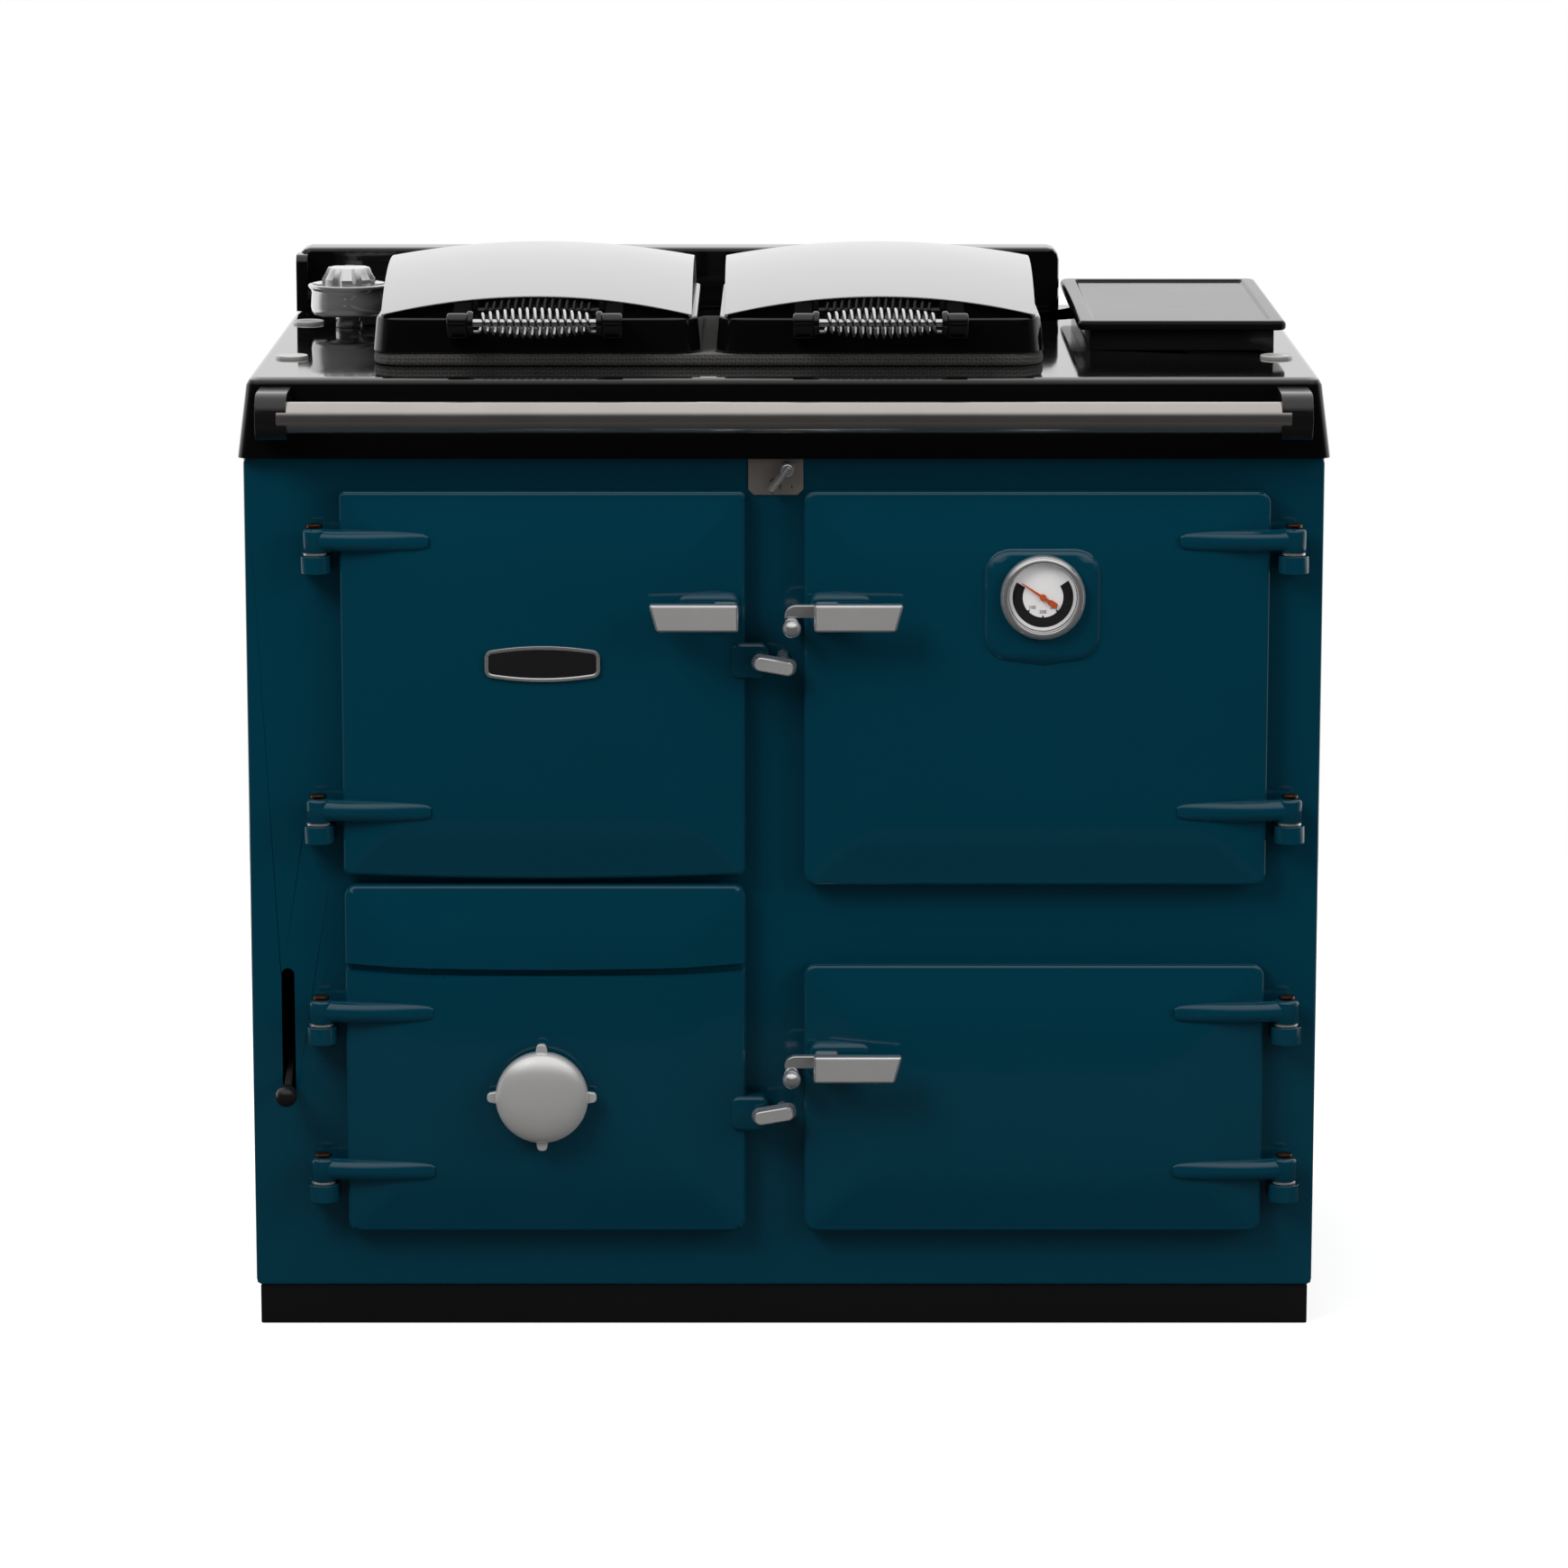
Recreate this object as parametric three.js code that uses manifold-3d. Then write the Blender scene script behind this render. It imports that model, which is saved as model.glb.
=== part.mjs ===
// Cast iron range cooker: firebox and ash door on the left, two ovens on the right,
// a hotplate under two insulated lids, a flue box, and a handrail across the front.
// Millimetres, +Z up, front towards -Y. The origin is on the floor, in the middle of the overall box.

import * as THREE from "three";
import { mergeVertices } from "three/addons/utils/BufferGeometryUtils.js";
import Module from "manifold-3d";

const wasm = await Module();
wasm.setup();

// ---------------------------------------------------------------- overall sizes
const BODY_WIDTH = 981;
const BODY_FRONT = -268;         // outer face of the front plate
const BODY_DEPTH = 598;          // front plate's face to the back panel
const TOP_OVERHANG_BACK = 10.5;  // top plate, splashback and flue spigot behind the back panel
const OVERALL_FRONT = -340.5;    // front of the handrail
const HOB_HEIGHT = 886;
const SKIRT_HEIGHT = 72;
const PLINTH_HEIGHT = 37;
const SEAT_GAP = 0.3;            // between two pieces that rest on or against each other
const RUN_GAP = 0.3;             // radial clearance of a pin or spindle in its bore

// ---------------------------------------------------------------- body shell
const FRONT_PLATE_THICKNESS = 8;
const PANEL_THICKNESS = 4;
const PLINTH_INSET = 3.5;
const PLINTH_WALL = 4;
const TOP_THICKNESS = 8;
const SKIRT_FLARE = 8.7;         // how much wider the skirt's foot is than its top edge
const SKIRT_OVERHANG = 4.2;      // skirt foot beyond the side panels
const SKIRT_RIM = 22;            // inward flange that rests on the body
const SKIRT_FRONT = -283;
const TOP_EDGE_RADIUS = 7;
const COVER_CAP_RADIUS = 14.5;
const COVER_CAP_HEIGHT = 2.5;
const SPLASHBACK_HEIGHT = 61;
const SPLASHBACK_DEPTH = 35.5;
const SPLASHBACK_RIGHT_STOP = 216.5;   // bare stretch between its right end and the body's side

// ---------------------------------------------------------------- doors
const LEFT_DOOR_MARGIN = 87.5;   // body side to the left doors' hinge edge
const RIGHT_DOOR_MARGIN = 49.5;  // body side to the right doors' hinge edge
const LEFT_DOOR_EDGE = -35;      // free edge of the left doors
const RIGHT_DOOR_EDGE = 18;      // free edge of the right doors
const UPPER_DOOR_DROP = 29;      // skirt foot to the upper doors' top edge
const LOWER_DOOR_FOOT = 94;
const ASH_DOOR_TOP = 421.6;
const FIREBOX_DOOR_FOOT = 431;
const FIREBOX_DOOR_BOW = 4;
const MAIN_OVEN_DOOR_FOOT = 421;
const LOWER_OVEN_DOOR_TOP = 347;
const DOOR_CORNER = 9;
const DOOR_PROUD = 32;
const DOOR_EDGE_PROUD = 21;      // height of the rolled edge above the door's back
const DOOR_BEVEL = 48;           // width of the shallow bevel round the middle
const DOOR_CROWN_INSET = 92;
const ASH_GROOVE_HEIGHT = 342;
const ASH_GROOVE_BOW = 4;
const ASH_GROOVE_WIDTH = 9;
const ASH_GROOVE_DEPTH = 7;
const THROAT_INSET = 32;         // door edge to the opening behind it
const THROAT_RADIUS = 12;
const LINER_GAP = 7;             // opening edge to the liner that swings out of it
const LINER_DEPTH = 16;

// ---------------------------------------------------------------- hinges
const HINGE_AXIS_Y = -289;
const LEFT_HINGE_OUT = 22.0;     // hinge axis beyond the left doors' edge
const RIGHT_HINGE_OUT = 20.5;
const HINGE_BARREL_RADIUS = 11.5;
const HINGE_ARM_HEIGHT = 22;
const HINGE_ARM_REACH = 104;
const HINGE_LUG_HEIGHT = 16;
const HINGE_LUG_RADIUS = 14;
const PIN_RADIUS = 5;
const PIN_HEAD_RADIUS = 7.6;
const PIN_HEAD_HEIGHT = 4;
const WASHER_RADIUS = 11;
const WASHER_THICKNESS = 2.5;
const PIN_END_GAP = 1.5;         // pin tip above the bottom of its blind bore
const UPPER_HINGE_DROP = 31;     // door top to the upper pin head
const MIDDLE_HINGE = 505;
const ASH_UPPER_HINGE = 317;
const BOTTOM_HINGE = 168;

// ---------------------------------------------------------------- handles, catches and latches
const HANDLE_FRONT = -338;
const HANDLE_BACK = -325;
const HANDLE_HEIGHT = 25;
const HANDLE_LENGTH = 81;
const HANDLE_SLANT = 7;          // the lower edge is this much shorter at the slanted end
const UPPER_HANDLE_DROP = 109;   // upper doors' top to the handle's middle
const LOWER_HANDLE_HEIGHT = 259;
const HANDLE_PAD_INSET = 4;       // pad under a handle, from the door's free edge
const HANDLE_PAD_LENGTH = 60;
const HANDLE_PAD_HALF_HEIGHT = 18;
const HOOK_RADIUS = 11.5;
const HOOK_FRONT = -322;
const HOOK_THICKNESS = 7;
const BOBBIN_OUT = 11;           // catch bobbin's axis beyond the oven doors' free edge
const BOBBIN_DROP = 10;          // below the handle's middle
const BOBBIN_RADIUS = 8.5;
const BOBBIN_WAIST = 5.2;
const BOBBIN_STUD = 3;
const LATCH_LUG_REACH = 21;
const LATCH_LUG_HEIGHT = 33;
const LATCH_PIVOT_OUT = 13;      // latch pivot beyond the left doors' free edge
const LATCH_HUB_RADIUS = 8;
const LATCH_SPINDLE = 4;
const LATCH_WING = 34;           // pivot to the wing's tip
const LATCH_WING_HEIGHT = 16;
const LATCH_FRONT = -312;
const LATCH_BACK = -300;
const UPPER_LATCH_DROP = 155;    // upper doors' top to the latch pivot
const UPPER_LATCH_TILT = -10;
const LOWER_LATCH_HEIGHT = 207;
const LOWER_LATCH_TILT = 10;

// ---------------------------------------------------------------- fittings on the doors
const BADGE_LENGTH = 105;
const BADGE_HEIGHT = 33;
const BADGE_DROP = 156;          // firebox door's top to the plate's middle
const BADGE_END_HEIGHT = 23;      // its long edges bow out between the ends
const BADGE_CORNER = 6;
const BADGE_THICKNESS = 3;
const GAUGE_DROP = 94;           // main oven door's top to the gauge's middle
const GAUGE_X = 234;
const GAUGE_BEZEL_RADIUS = 38.6;
const GAUGE_DIAL_RADIUS = 30.5;
const GAUGE_BOSS_RISE = 5;       // boss above the door's face
const GAUGE_BOSS_REACH = 55;      // gauge's middle to the boss's sides
const GAUGE_BOSS_BELOW = 57;
const GAUGE_BOSS_ABOVE = 46;
const GAUGE_BOSS_RADIUS = 22;
const GAUGE_BOSS_BOW = 5;
const GAUGE_REST = 56;           // degrees, needle to the left of upright
const SPIN_WHEEL_X = -222;
const SPIN_WHEEL_HEIGHT = 228;
const SPIN_WHEEL_RADIUS = 42.5;
const SPIN_WHEEL_LUG = 50.5;
const SPIN_WHEEL_BACK = -309;
const SPIN_WHEEL_DEPTH = 22;
const SPIN_BUSH_RADIUS = 11;
const SPIN_STEM_RADIUS = 6;
const AIR_HOLE_COUNT = 6;
const AIR_HOLE_RADIUS = 5;
const AIR_HOLE_CIRCLE = 24;

// ---------------------------------------------------------------- riddling lever and damper
const SLOT_MARGIN = 33.5;        // body's side to the lever slot's middle
const SLOT_WIDTH = 12;
const SLOT_FOOT = 210;
const SLOT_TOP = 339;
const LEVER_PIVOT_Y = -112;
const LEVER_PIVOT_Z = 275;
const LEVER_LENGTH = 196;
const LEVER_REST = 14;           // degrees below level, at the slot's foot
const LEVER_THICKNESS = 6;
const LEVER_DEPTH = 13;
const LEVER_KNOB_RADIUS = 10;
const LEVER_STUD = 5;
const CONTROL_PLATE_WIDTH = 50;
const CONTROL_PLATE_X = -7.5;
const CONTROL_PLATE_HEIGHT = 33;
const CONTROL_PLATE_THICKNESS = 1.5;
const DAMPER_X = 3;
const DAMPER_DROP = 11;          // skirt foot to the damper spindle
const DAMPER_HUB = 7.5;
const DAMPER_POINTER = 27;
const DAMPER_TURN = 37;          // degrees, pointer tip away from straight down
const DAMPER_SPINDLE = 3;

// ---------------------------------------------------------------- inside
const CASTING_WALL = 10;
const OVEN_WALL = 4;
const OVEN_BACK_SPACE = 98;      // oven to the casing's back
const FIREBOX_BACK_SPACE = 160;
const FIREBOX_TOP_DROP = 26;     // hob to the firebox's upper edge
const FLUE_PASSAGE_DROP = 10;    // upper door top to the firebox's lower right wall
const CHAMBER_SIDE_GAP = 4;      // throat edge to the inside of the chamber behind it
const GRATE_RISE = 26.4;         // above the ash door's top
const GRATE_THICKNESS = 14;
const GRATE_SIDE_GAP = 6;
const GRATE_BACK_SPACE = 60;     // grate to the firebox's back wall
const GRATE_FRONT = -225;
const GRATE_BARS = 7;
const TRUNNION_RADIUS = 7;
const TRUNNION_SEAT = 6;         // depth of the trunnion's blind bore in the firebox wall
const ASH_PAN_HEIGHT = 90;
const ASH_PAN_WALL = 2;
const SHELF_THICKNESS = 6;
const SHELF_BARS = 8;
const SHELF_RUNNER = 10;
const MAIN_SHELF_RISE = 140;     // above the oven's floor
const LOWER_SHELF_RISE = 78;

// ---------------------------------------------------------------- hotplate and lids
const HOTPLATE_LEFT_MARGIN = 112.5;
const HOTPLATE_RIGHT_MARGIN = 251.7;
const SEAL_FRONT = -183;
const SEAL_DEPTH = 330;
const SEAL_HEIGHT = 10.5;
const SEAL_WIDTH = 15;
const SEAL_CORNER = 30;
const HOTPLATE_THICKNESS = 19;
const HOTPLATE_LEDGE = 10;
const LID_GAP = 14;
const LID_BASE_HEIGHT = 33;
const LID_CORNER = 26;
const LID_TAPER = 3;
const LID_RIM = 16;
const LID_RECESS = 6;
const DOME_SHEET = 3;
const DOME_INSET = 5;            // dome edge inside the base's top edge
const DOME_CORNER_RISE = 3;      // dome edge above the base, at the corners
const DOME_EDGE_ARCH = 17;       // further rise at the middle of the front and back edges
const DOME_SIDE_CROWN = 40;      // rise of the side edges' middle above the base
const DOME_CENTRE_CROWN = 53;    // rise of the middle above the base
const DOME_STEPS = 8;
const CORE_STEPS = 5;
const CORE_SETBACK = 10;         // black core behind the dome's front and back lips
const LID_HINGE_BEHIND = 20;     // lid hinge axis behind the lid
const LID_HINGE_HEIGHT = 13;     // above the lid's foot
const LID_HINGE_INSET = 34;      // lid side to the middle of its hinge
const LID_PIN = 4;
const LID_KNUCKLE = 8.5;
const LID_KNUCKLE_LENGTH = 22;
const LID_EAR = 6;

// ---------------------------------------------------------------- lid handles
const COIL_TURNS = 15;
const COIL_PITCH = 6.8;
const COIL_WIRE = 3;             // diameter
const COIL_END_RADIUS = 8;       // to the wire's middle
const COIL_MID_RADIUS = 13;
const COIL_STEPS = 8;            // per turn
const COIL_SIDES = 5;
const COIL_LEAD = 5;             // last stretch, in which the wire turns along the handle
const COIL_ROD = 3.5;
const COIL_OUT = 30;             // handle axis in front of the lid
const COIL_RISE = 32;            // handle axis above the lid's foot
const COIL_MOUNT = 24;           // width of a handle mount
const COIL_MOUNT_RADIUS = 12;
const COIL_COLLAR = 5;

// ---------------------------------------------------------------- on the hob
const KNOB_LEFT_MARGIN = 68.5;
const KNOB_Y = 143;
const KNOB_RADIUS = 39.5;
const KNOB_STEM_RADIUS = 13;
const KNOB_STEM_HEIGHT = 12;
const KNOB_DISH_HEIGHT = 42;
const KNOB_GRIP_HEIGHT = 16;
const KNOB_GRIP_RADIUS = 26;
const KNOB_SPINDLE = 5;
const FLUE_RIGHT_MARGIN = 30.5;
const FLUE_WIDTH = 173;
const FLUE_FRONT = -52;
const FLUE_BACK_SPACE = 12;      // flue collar to the casing's back
const FLUE_WALL = 5;
const FLUE_RISE = 19;            // collar above the hob
const FLUE_DUCT_BEHIND_OVEN = 8;
const FLUE_DUCT_DROP = 246;      // hob to the duct's foot
const FLUE_SPIGOT_RADIUS = 60;
const FLUE_SPIGOT_DROP = 171;
const FLUE_SPIGOT_WALL = 4;
const COVER_OVERHANG = 11;
const COVER_THICKNESS = 9;
const COVER_BORDER = 13;
const COVER_PANEL_DEPTH = 2;

// ---------------------------------------------------------------- handrail
const RAIL_RADIUS = 14;
const RAIL_DROP = 29;            // hob to the rail's axis
const RAIL_BRACKET_INNER = 45.5; // body side to the bracket's inner face
const RAIL_BRACKET_WIDTH = 28;
const RAIL_BRACKET_HEIGHT = 43;
const RAIL_SOCKET = 10;

// ---------------------------------------------------------------- facets
const ROUND = 10;
const SMALL_ROUND = 8;
const COARSE_ROUND = 6;          // sides of holes that stay out of sight
const BADGE_STEPS = 4;           // along each bowed edge of the badge
const WIDE_ROUND = 16;
const ARM_SIDES = 8;
const CORNER_STEPS = 3;
const BOW_STEPS = 4;
const MERGE_TOLERANCE = 1e-4;
const FLAT_TOLERANCE = 2e-3;

// ---------------------------------------------------------------- derived places
const left = -BODY_WIDTH / 2;
const right = BODY_WIDTH / 2;
const bodyBack = BODY_FRONT + BODY_DEPTH;
const overallBack = bodyBack + TOP_OVERHANG_BACK;
const splashbackFront = overallBack - SPLASHBACK_DEPTH;
const ovenBack = bodyBack - OVEN_BACK_SPACE;
const fireboxBack = bodyBack - FIREBOX_BACK_SPACE;
const fireboxTop = HOB_HEIGHT - FIREBOX_TOP_DROP;
const grateBack = fireboxBack - GRATE_BACK_SPACE;
const grateHeight = ASH_DOOR_TOP + GRATE_RISE;
const flueBack = bodyBack - FLUE_BACK_SPACE;
const flueDuctFront = ovenBack + FLUE_DUCT_BEHIND_OVEN;
const flueDuctFoot = HOB_HEIGHT - FLUE_DUCT_DROP;
const flueSpigotHeight = HOB_HEIGHT - FLUE_SPIGOT_DROP;
const railHeight = HOB_HEIGHT - RAIL_DROP;
const skirtFoot = HOB_HEIGHT - SKIRT_HEIGHT;
const panelFoot = PLINTH_HEIGHT + SEAT_GAP;
const panelTop = skirtFoot - SEAT_GAP;
const plateBack = BODY_FRONT + FRONT_PLATE_THICKNESS;
const innerFront = plateBack + SEAT_GAP;
const doorBack = BODY_FRONT - SEAT_GAP;
const doorFace = doorBack - DOOR_PROUD;
const upperDoorTop = skirtFoot - UPPER_DOOR_DROP;
const upperPinHeight = upperDoorTop - UPPER_HINGE_DROP;
const upperHandleHeight = upperDoorTop - UPPER_HANDLE_DROP;
const upperLatchHeight = upperDoorTop - UPPER_LATCH_DROP;
const gaugeHeight = upperDoorTop - GAUGE_DROP;
const badgeHeight = upperDoorTop - BADGE_DROP;
const leftDoor = [left + LEFT_DOOR_MARGIN, LEFT_DOOR_EDGE];
const rightDoor = [RIGHT_DOOR_EDGE, right - RIGHT_DOOR_MARGIN];
const leftHinge = leftDoor[0] - LEFT_HINGE_OUT;
const rightHinge = rightDoor[1] + RIGHT_HINGE_OUT;
const slotX = left + SLOT_MARGIN;
const bobbinX = RIGHT_DOOR_EDGE - BOBBIN_OUT;
const latchX = LEFT_DOOR_EDGE + LATCH_PIVOT_OUT;
const damperHeight = skirtFoot - DAMPER_DROP;
const sealBox = [left + HOTPLATE_LEFT_MARGIN, right - HOTPLATE_RIGHT_MARGIN,
  SEAL_FRONT, SEAL_FRONT + SEAL_DEPTH];
const sealFoot = HOB_HEIGHT + SEAT_GAP;
const lidFoot = sealFoot + SEAL_HEIGHT + SEAT_GAP;
const lidWidth = (sealBox[1] - sealBox[0] - LID_GAP) / 2;
const lidAxisY = sealBox[3] + LID_HINGE_BEHIND;
const lidAxisZ = lidFoot + LID_HINGE_HEIGHT;
const flueBox = [right - FLUE_RIGHT_MARGIN - FLUE_WIDTH, right - FLUE_RIGHT_MARGIN];
const coverFoot = HOB_HEIGHT + FLUE_RISE + SEAT_GAP;

// Each door: outline, pin heads' heights, and the opening behind it.
const DOORS = {
  firebox: { x: leftDoor, z: [FIREBOX_DOOR_FOOT, upperDoorTop], bow: FIREBOX_DOOR_BOW, side: -1,
    pins: [upperPinHeight, MIDDLE_HINGE] },
  ash: { x: leftDoor, z: [LOWER_DOOR_FOOT, ASH_DOOR_TOP], bow: 0, side: -1,
    pins: [ASH_UPPER_HINGE, BOTTOM_HINGE] },
  mainOven: { x: rightDoor, z: [MAIN_OVEN_DOOR_FOOT, upperDoorTop], bow: 0, side: 1,
    pins: [upperPinHeight, MIDDLE_HINGE] },
  lowerOven: { x: rightDoor, z: [LOWER_DOOR_FOOT, LOWER_OVEN_DOOR_TOP], bow: 0, side: 1,
    pins: [ASH_UPPER_HINGE, BOTTOM_HINGE] },
};

// ---------------------------------------------------------------- finishes
function finish(color, roughness, metalness) {
  return new THREE.MeshStandardMaterial({ color, roughness, metalness });
}

const TEAL_ENAMEL = finish(0x003a49, 0.18, 0);
const BLACK_ENAMEL = finish(0x060606, 0.12, 0);
const CHROME = finish(0xd8d8d8, 0.12, 1);
const BRUSHED_STEEL = finish(0xb4b2ad, 0.35, 1);
const BRONZE = finish(0x7a4a30, 0.35, 1);
const RAW_CASTING = finish(0x2b2a29, 0.7, 0.4);
const SHEET_STEEL = finish(0x3a3b3c, 0.5, 0.6);
const ROPE = finish(0x4a4947, 0.9, 0);
const CLEAR_GLASS = finish(0xe8f0f0, 0.05, 0);
const NEEDLE_RED = finish(0xc8501e, 0.4, 0);
const BLACK_KNOB = finish(0x0a0a0a, 0.3, 0);

// ---------------------------------------------------------------- solids
// Turns a closed geometry into a solid: corners merged, slivers dropped, faces out.
function solid(geometry) {
  const bare = geometry.index ? geometry.toNonIndexed() : geometry.clone();
  for (const name of Object.keys(bare.attributes)) {
    if (name !== "position") bare.deleteAttribute(name);
  }
  const merged = mergeVertices(bare, MERGE_TOLERANCE);
  const at = merged.attributes.position.array;
  const index = merged.index.array;
  const kept = [];
  let volume = 0;
  for (let i = 0; i < index.length; i += 3) {
    const [a, b, c] = [index[i], index[i + 1], index[i + 2]];
    if (a === b || b === c || c === a) continue;
    kept.push(a, b, c);
    const p = new THREE.Vector3().fromArray(at, a * 3);
    const q = new THREE.Vector3().fromArray(at, b * 3);
    const r = new THREE.Vector3().fromArray(at, c * 3);
    volume += p.dot(q.cross(r));
  }
  if (volume < 0) kept.reverse();
  return new wasm.Manifold(new wasm.Mesh({
    numProp: 3,
    vertProperties: new Float32Array(at),
    triVerts: new Uint32Array(kept),
  }));
}

// A named mesh from a finished solid, with flat faces left in one piece.
function part(name, body, material) {
  const mesh = body.asOriginal().simplify(FLAT_TOLERANCE).getMesh();
  const geometry = new THREE.BufferGeometry();
  geometry.setAttribute("position", new THREE.BufferAttribute(new Float32Array(mesh.vertProperties), 3));
  geometry.setIndex(new THREE.BufferAttribute(new Uint32Array(mesh.triVerts), 1));
  geometry.computeVertexNormals();
  const piece = new THREE.Mesh(geometry, material);
  piece.name = name;
  return piece;
}

function join(...bodies) {
  return bodies.reduce((sum, body) => sum.add(body));
}

function cut(body, ...tools) {
  return tools.reduce((rest, tool) => rest.subtract(tool), body);
}

function block(x0, x1, y0, y1, z0, z1) {
  const box = new THREE.BoxGeometry(x1 - x0, y1 - y0, z1 - z0);
  return solid(box.translate((x0 + x1) / 2, (y0 + y1) / 2, (z0 + z1) / 2));
}

// Closed outline through [u, v] points.
function outline(points) {
  return new THREE.Shape(points.map(([u, v]) => new THREE.Vector2(u, v)));
}

function roundedOutline(u0, u1, v0, v1, radius) {
  const shape = new THREE.Shape();
  shape.absarc(u1 - radius, v1 - radius, radius, 0, Math.PI / 2);
  shape.absarc(u0 + radius, v1 - radius, radius, Math.PI / 2, Math.PI);
  shape.absarc(u0 + radius, v0 + radius, radius, Math.PI, 1.5 * Math.PI);
  shape.absarc(u1 - radius, v0 + radius, radius, 1.5 * Math.PI, 2 * Math.PI);
  shape.closePath();
  return shape;
}

function extruded(shape, depth, steps) {
  return new THREE.ExtrudeGeometry(shape, { depth, bevelEnabled: false, curveSegments: steps });
}

// Outline in X and Y, from z0 up to z1.
function prismZ(shape, z0, z1, steps = CORNER_STEPS) {
  return solid(extruded(shape, z1 - z0, steps).translate(0, 0, z0));
}

// Outline in X and Z, from y0 back to y1.
function prismY(shape, y0, y1, steps = CORNER_STEPS) {
  return solid(extruded(shape, y1 - y0, steps).rotateX(Math.PI / 2).translate(0, y1, 0));
}

// Outline in Y and Z, from x0 across to x1.
function prismX(shape, x0, x1, steps = CORNER_STEPS) {
  const turn = new THREE.Matrix4().makeBasis(
    new THREE.Vector3(0, 1, 0), new THREE.Vector3(0, 0, 1), new THREE.Vector3(1, 0, 0));
  return solid(extruded(shape, x1 - x0, steps).applyMatrix4(turn).translate(x0, 0, 0));
}

// Body turned about an axis through `centre`. The profile is [radius, distance along the axis].
function turned(profile, axis, centre, sides = ROUND) {
  const lathe = new THREE.LatheGeometry(profile.map(([r, h]) => new THREE.Vector2(r, h)), sides);
  if (axis === "z") lathe.rotateX(Math.PI / 2);
  if (axis === "x") lathe.rotateZ(-Math.PI / 2);
  return solid(lathe.translate(...centre));
}

// Plain round bar along an axis, from h0 to h1 beside `centre`.
function bar(radius, axis, h0, h1, centre, sides = ROUND) {
  return turned([[0, h0], [radius, h0], [radius, h1], [0, h1]], axis, centre, sides);
}

// Tool for a round hole: its flats lie at `radius`, so a round bar of that size clears them.
function bore(radius, axis, h0, h1, centre, sides = SMALL_ROUND) {
  return bar(radius / Math.cos(Math.PI / sides), axis, h0, h1, centre, sides);
}

// Closed body through a row of rings with the same number of corners.
function loft(rings) {
  const count = rings[0].length;
  const corners = [];
  const faces = [];
  rings.forEach((ring) => ring.forEach((corner) => corners.push(corner.x, corner.y, corner.z)));
  for (let k = 0; k + 1 < rings.length; k += 1) {
    for (let i = 0; i < count; i += 1) {
      const j = (i + 1) % count;
      const [a, b, c, d] = [k * count + i, k * count + j, (k + 1) * count + j, (k + 1) * count + i];
      faces.push(a, b, c, a, c, d);
    }
  }
  [[0, true], [rings.length - 1, false]].forEach(([k, flipped]) => {
    const middle = rings[k].reduce((sum, corner) => sum.add(corner), new THREE.Vector3())
      .divideScalar(count);
    const hub = corners.length / 3;
    corners.push(middle.x, middle.y, middle.z);
    for (let i = 0; i < count; i += 1) {
      const [a, b] = [k * count + i, k * count + (i + 1) % count];
      if (flipped) faces.push(hub, b, a);
      else faces.push(hub, a, b);
    }
  });
  const geometry = new THREE.BufferGeometry();
  geometry.setAttribute("position", new THREE.BufferAttribute(new Float32Array(corners), 3));
  geometry.setIndex(faces);
  return solid(geometry);
}

// Corners of a rounded rectangle, drawn in by `inset`, whose lower edge may bow down.
function panelRing([u0, u1], [v0, v1], radius, inset, bow = 0) {
  const r = Math.max(radius - inset, 0.6);
  const centres = [
    [u1 - inset - r, v1 - inset - r], [u0 + inset + r, v1 - inset - r],
    [u0 + inset + r, v0 + inset + r], [u1 - inset - r, v0 + inset + r]];
  const ring = [];
  centres.forEach(([u, v], quarter) => {
    for (let i = 0; i <= CORNER_STEPS; i += 1) {
      const angle = (quarter + i / CORNER_STEPS) * Math.PI / 2;
      ring.push([u + r * Math.cos(angle), v + r * Math.sin(angle)]);
    }
    if (quarter === 2 && bow > 0) {
      for (let i = 1; i < BOW_STEPS; i += 1) {
        const t = i / BOW_STEPS;
        ring.push([THREE.MathUtils.lerp(u0 + inset + r, u1 - inset - r, t),
          v0 + inset - 4 * bow * t * (1 - t)]);
      }
    }
  });
  return ring;
}

// Body standing on a rounded rectangle in X and Z, rising towards the front.
// The profile is [inset, rise in front of `back`].
function raisedPanel(x, z, radius, back, profile, bow = 0) {
  return loft(profile.map(([inset, rise]) => panelRing(x, z, radius, inset, bow)
    .map(([u, v]) => new THREE.Vector3(u, back - rise, v))));
}

// The same, standing on a rounded rectangle in X and Y and rising upwards.
function raisedSlab(x, y, radius, foot, profile) {
  return loft(profile.map(([inset, rise]) => panelRing(x, y, radius, inset)
    .map(([u, v]) => new THREE.Vector3(u, v, foot + rise))));
}


// ---------------------------------------------------------------- body shell
// Black plinth: four walls under a closed floor plate.
function makePlinth() {
  const [x0, x1] = [left + PLINTH_INSET, right - PLINTH_INSET];
  const [y0, y1] = [BODY_FRONT + PLINTH_INSET, bodyBack - PLINTH_INSET];
  const w = PLINTH_WALL;
  return part("plinth", cut(
    block(x0, x1, y0, y1, 0, PLINTH_HEIGHT),
    block(x0 + w, x1 - w, y0 + w, y1 - w, -1, PLINTH_HEIGHT - w)), BLACK_ENAMEL);
}

function inset([a, b], amount) {
  return [a + amount, b - amount];
}

// The opening in the front plate behind a door.
function throat(door, extra = 0) {
  const x = inset(door.x, THROAT_INSET + extra);
  const z = inset(door.z, THROAT_INSET + extra);
  return { x, z };
}

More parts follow.
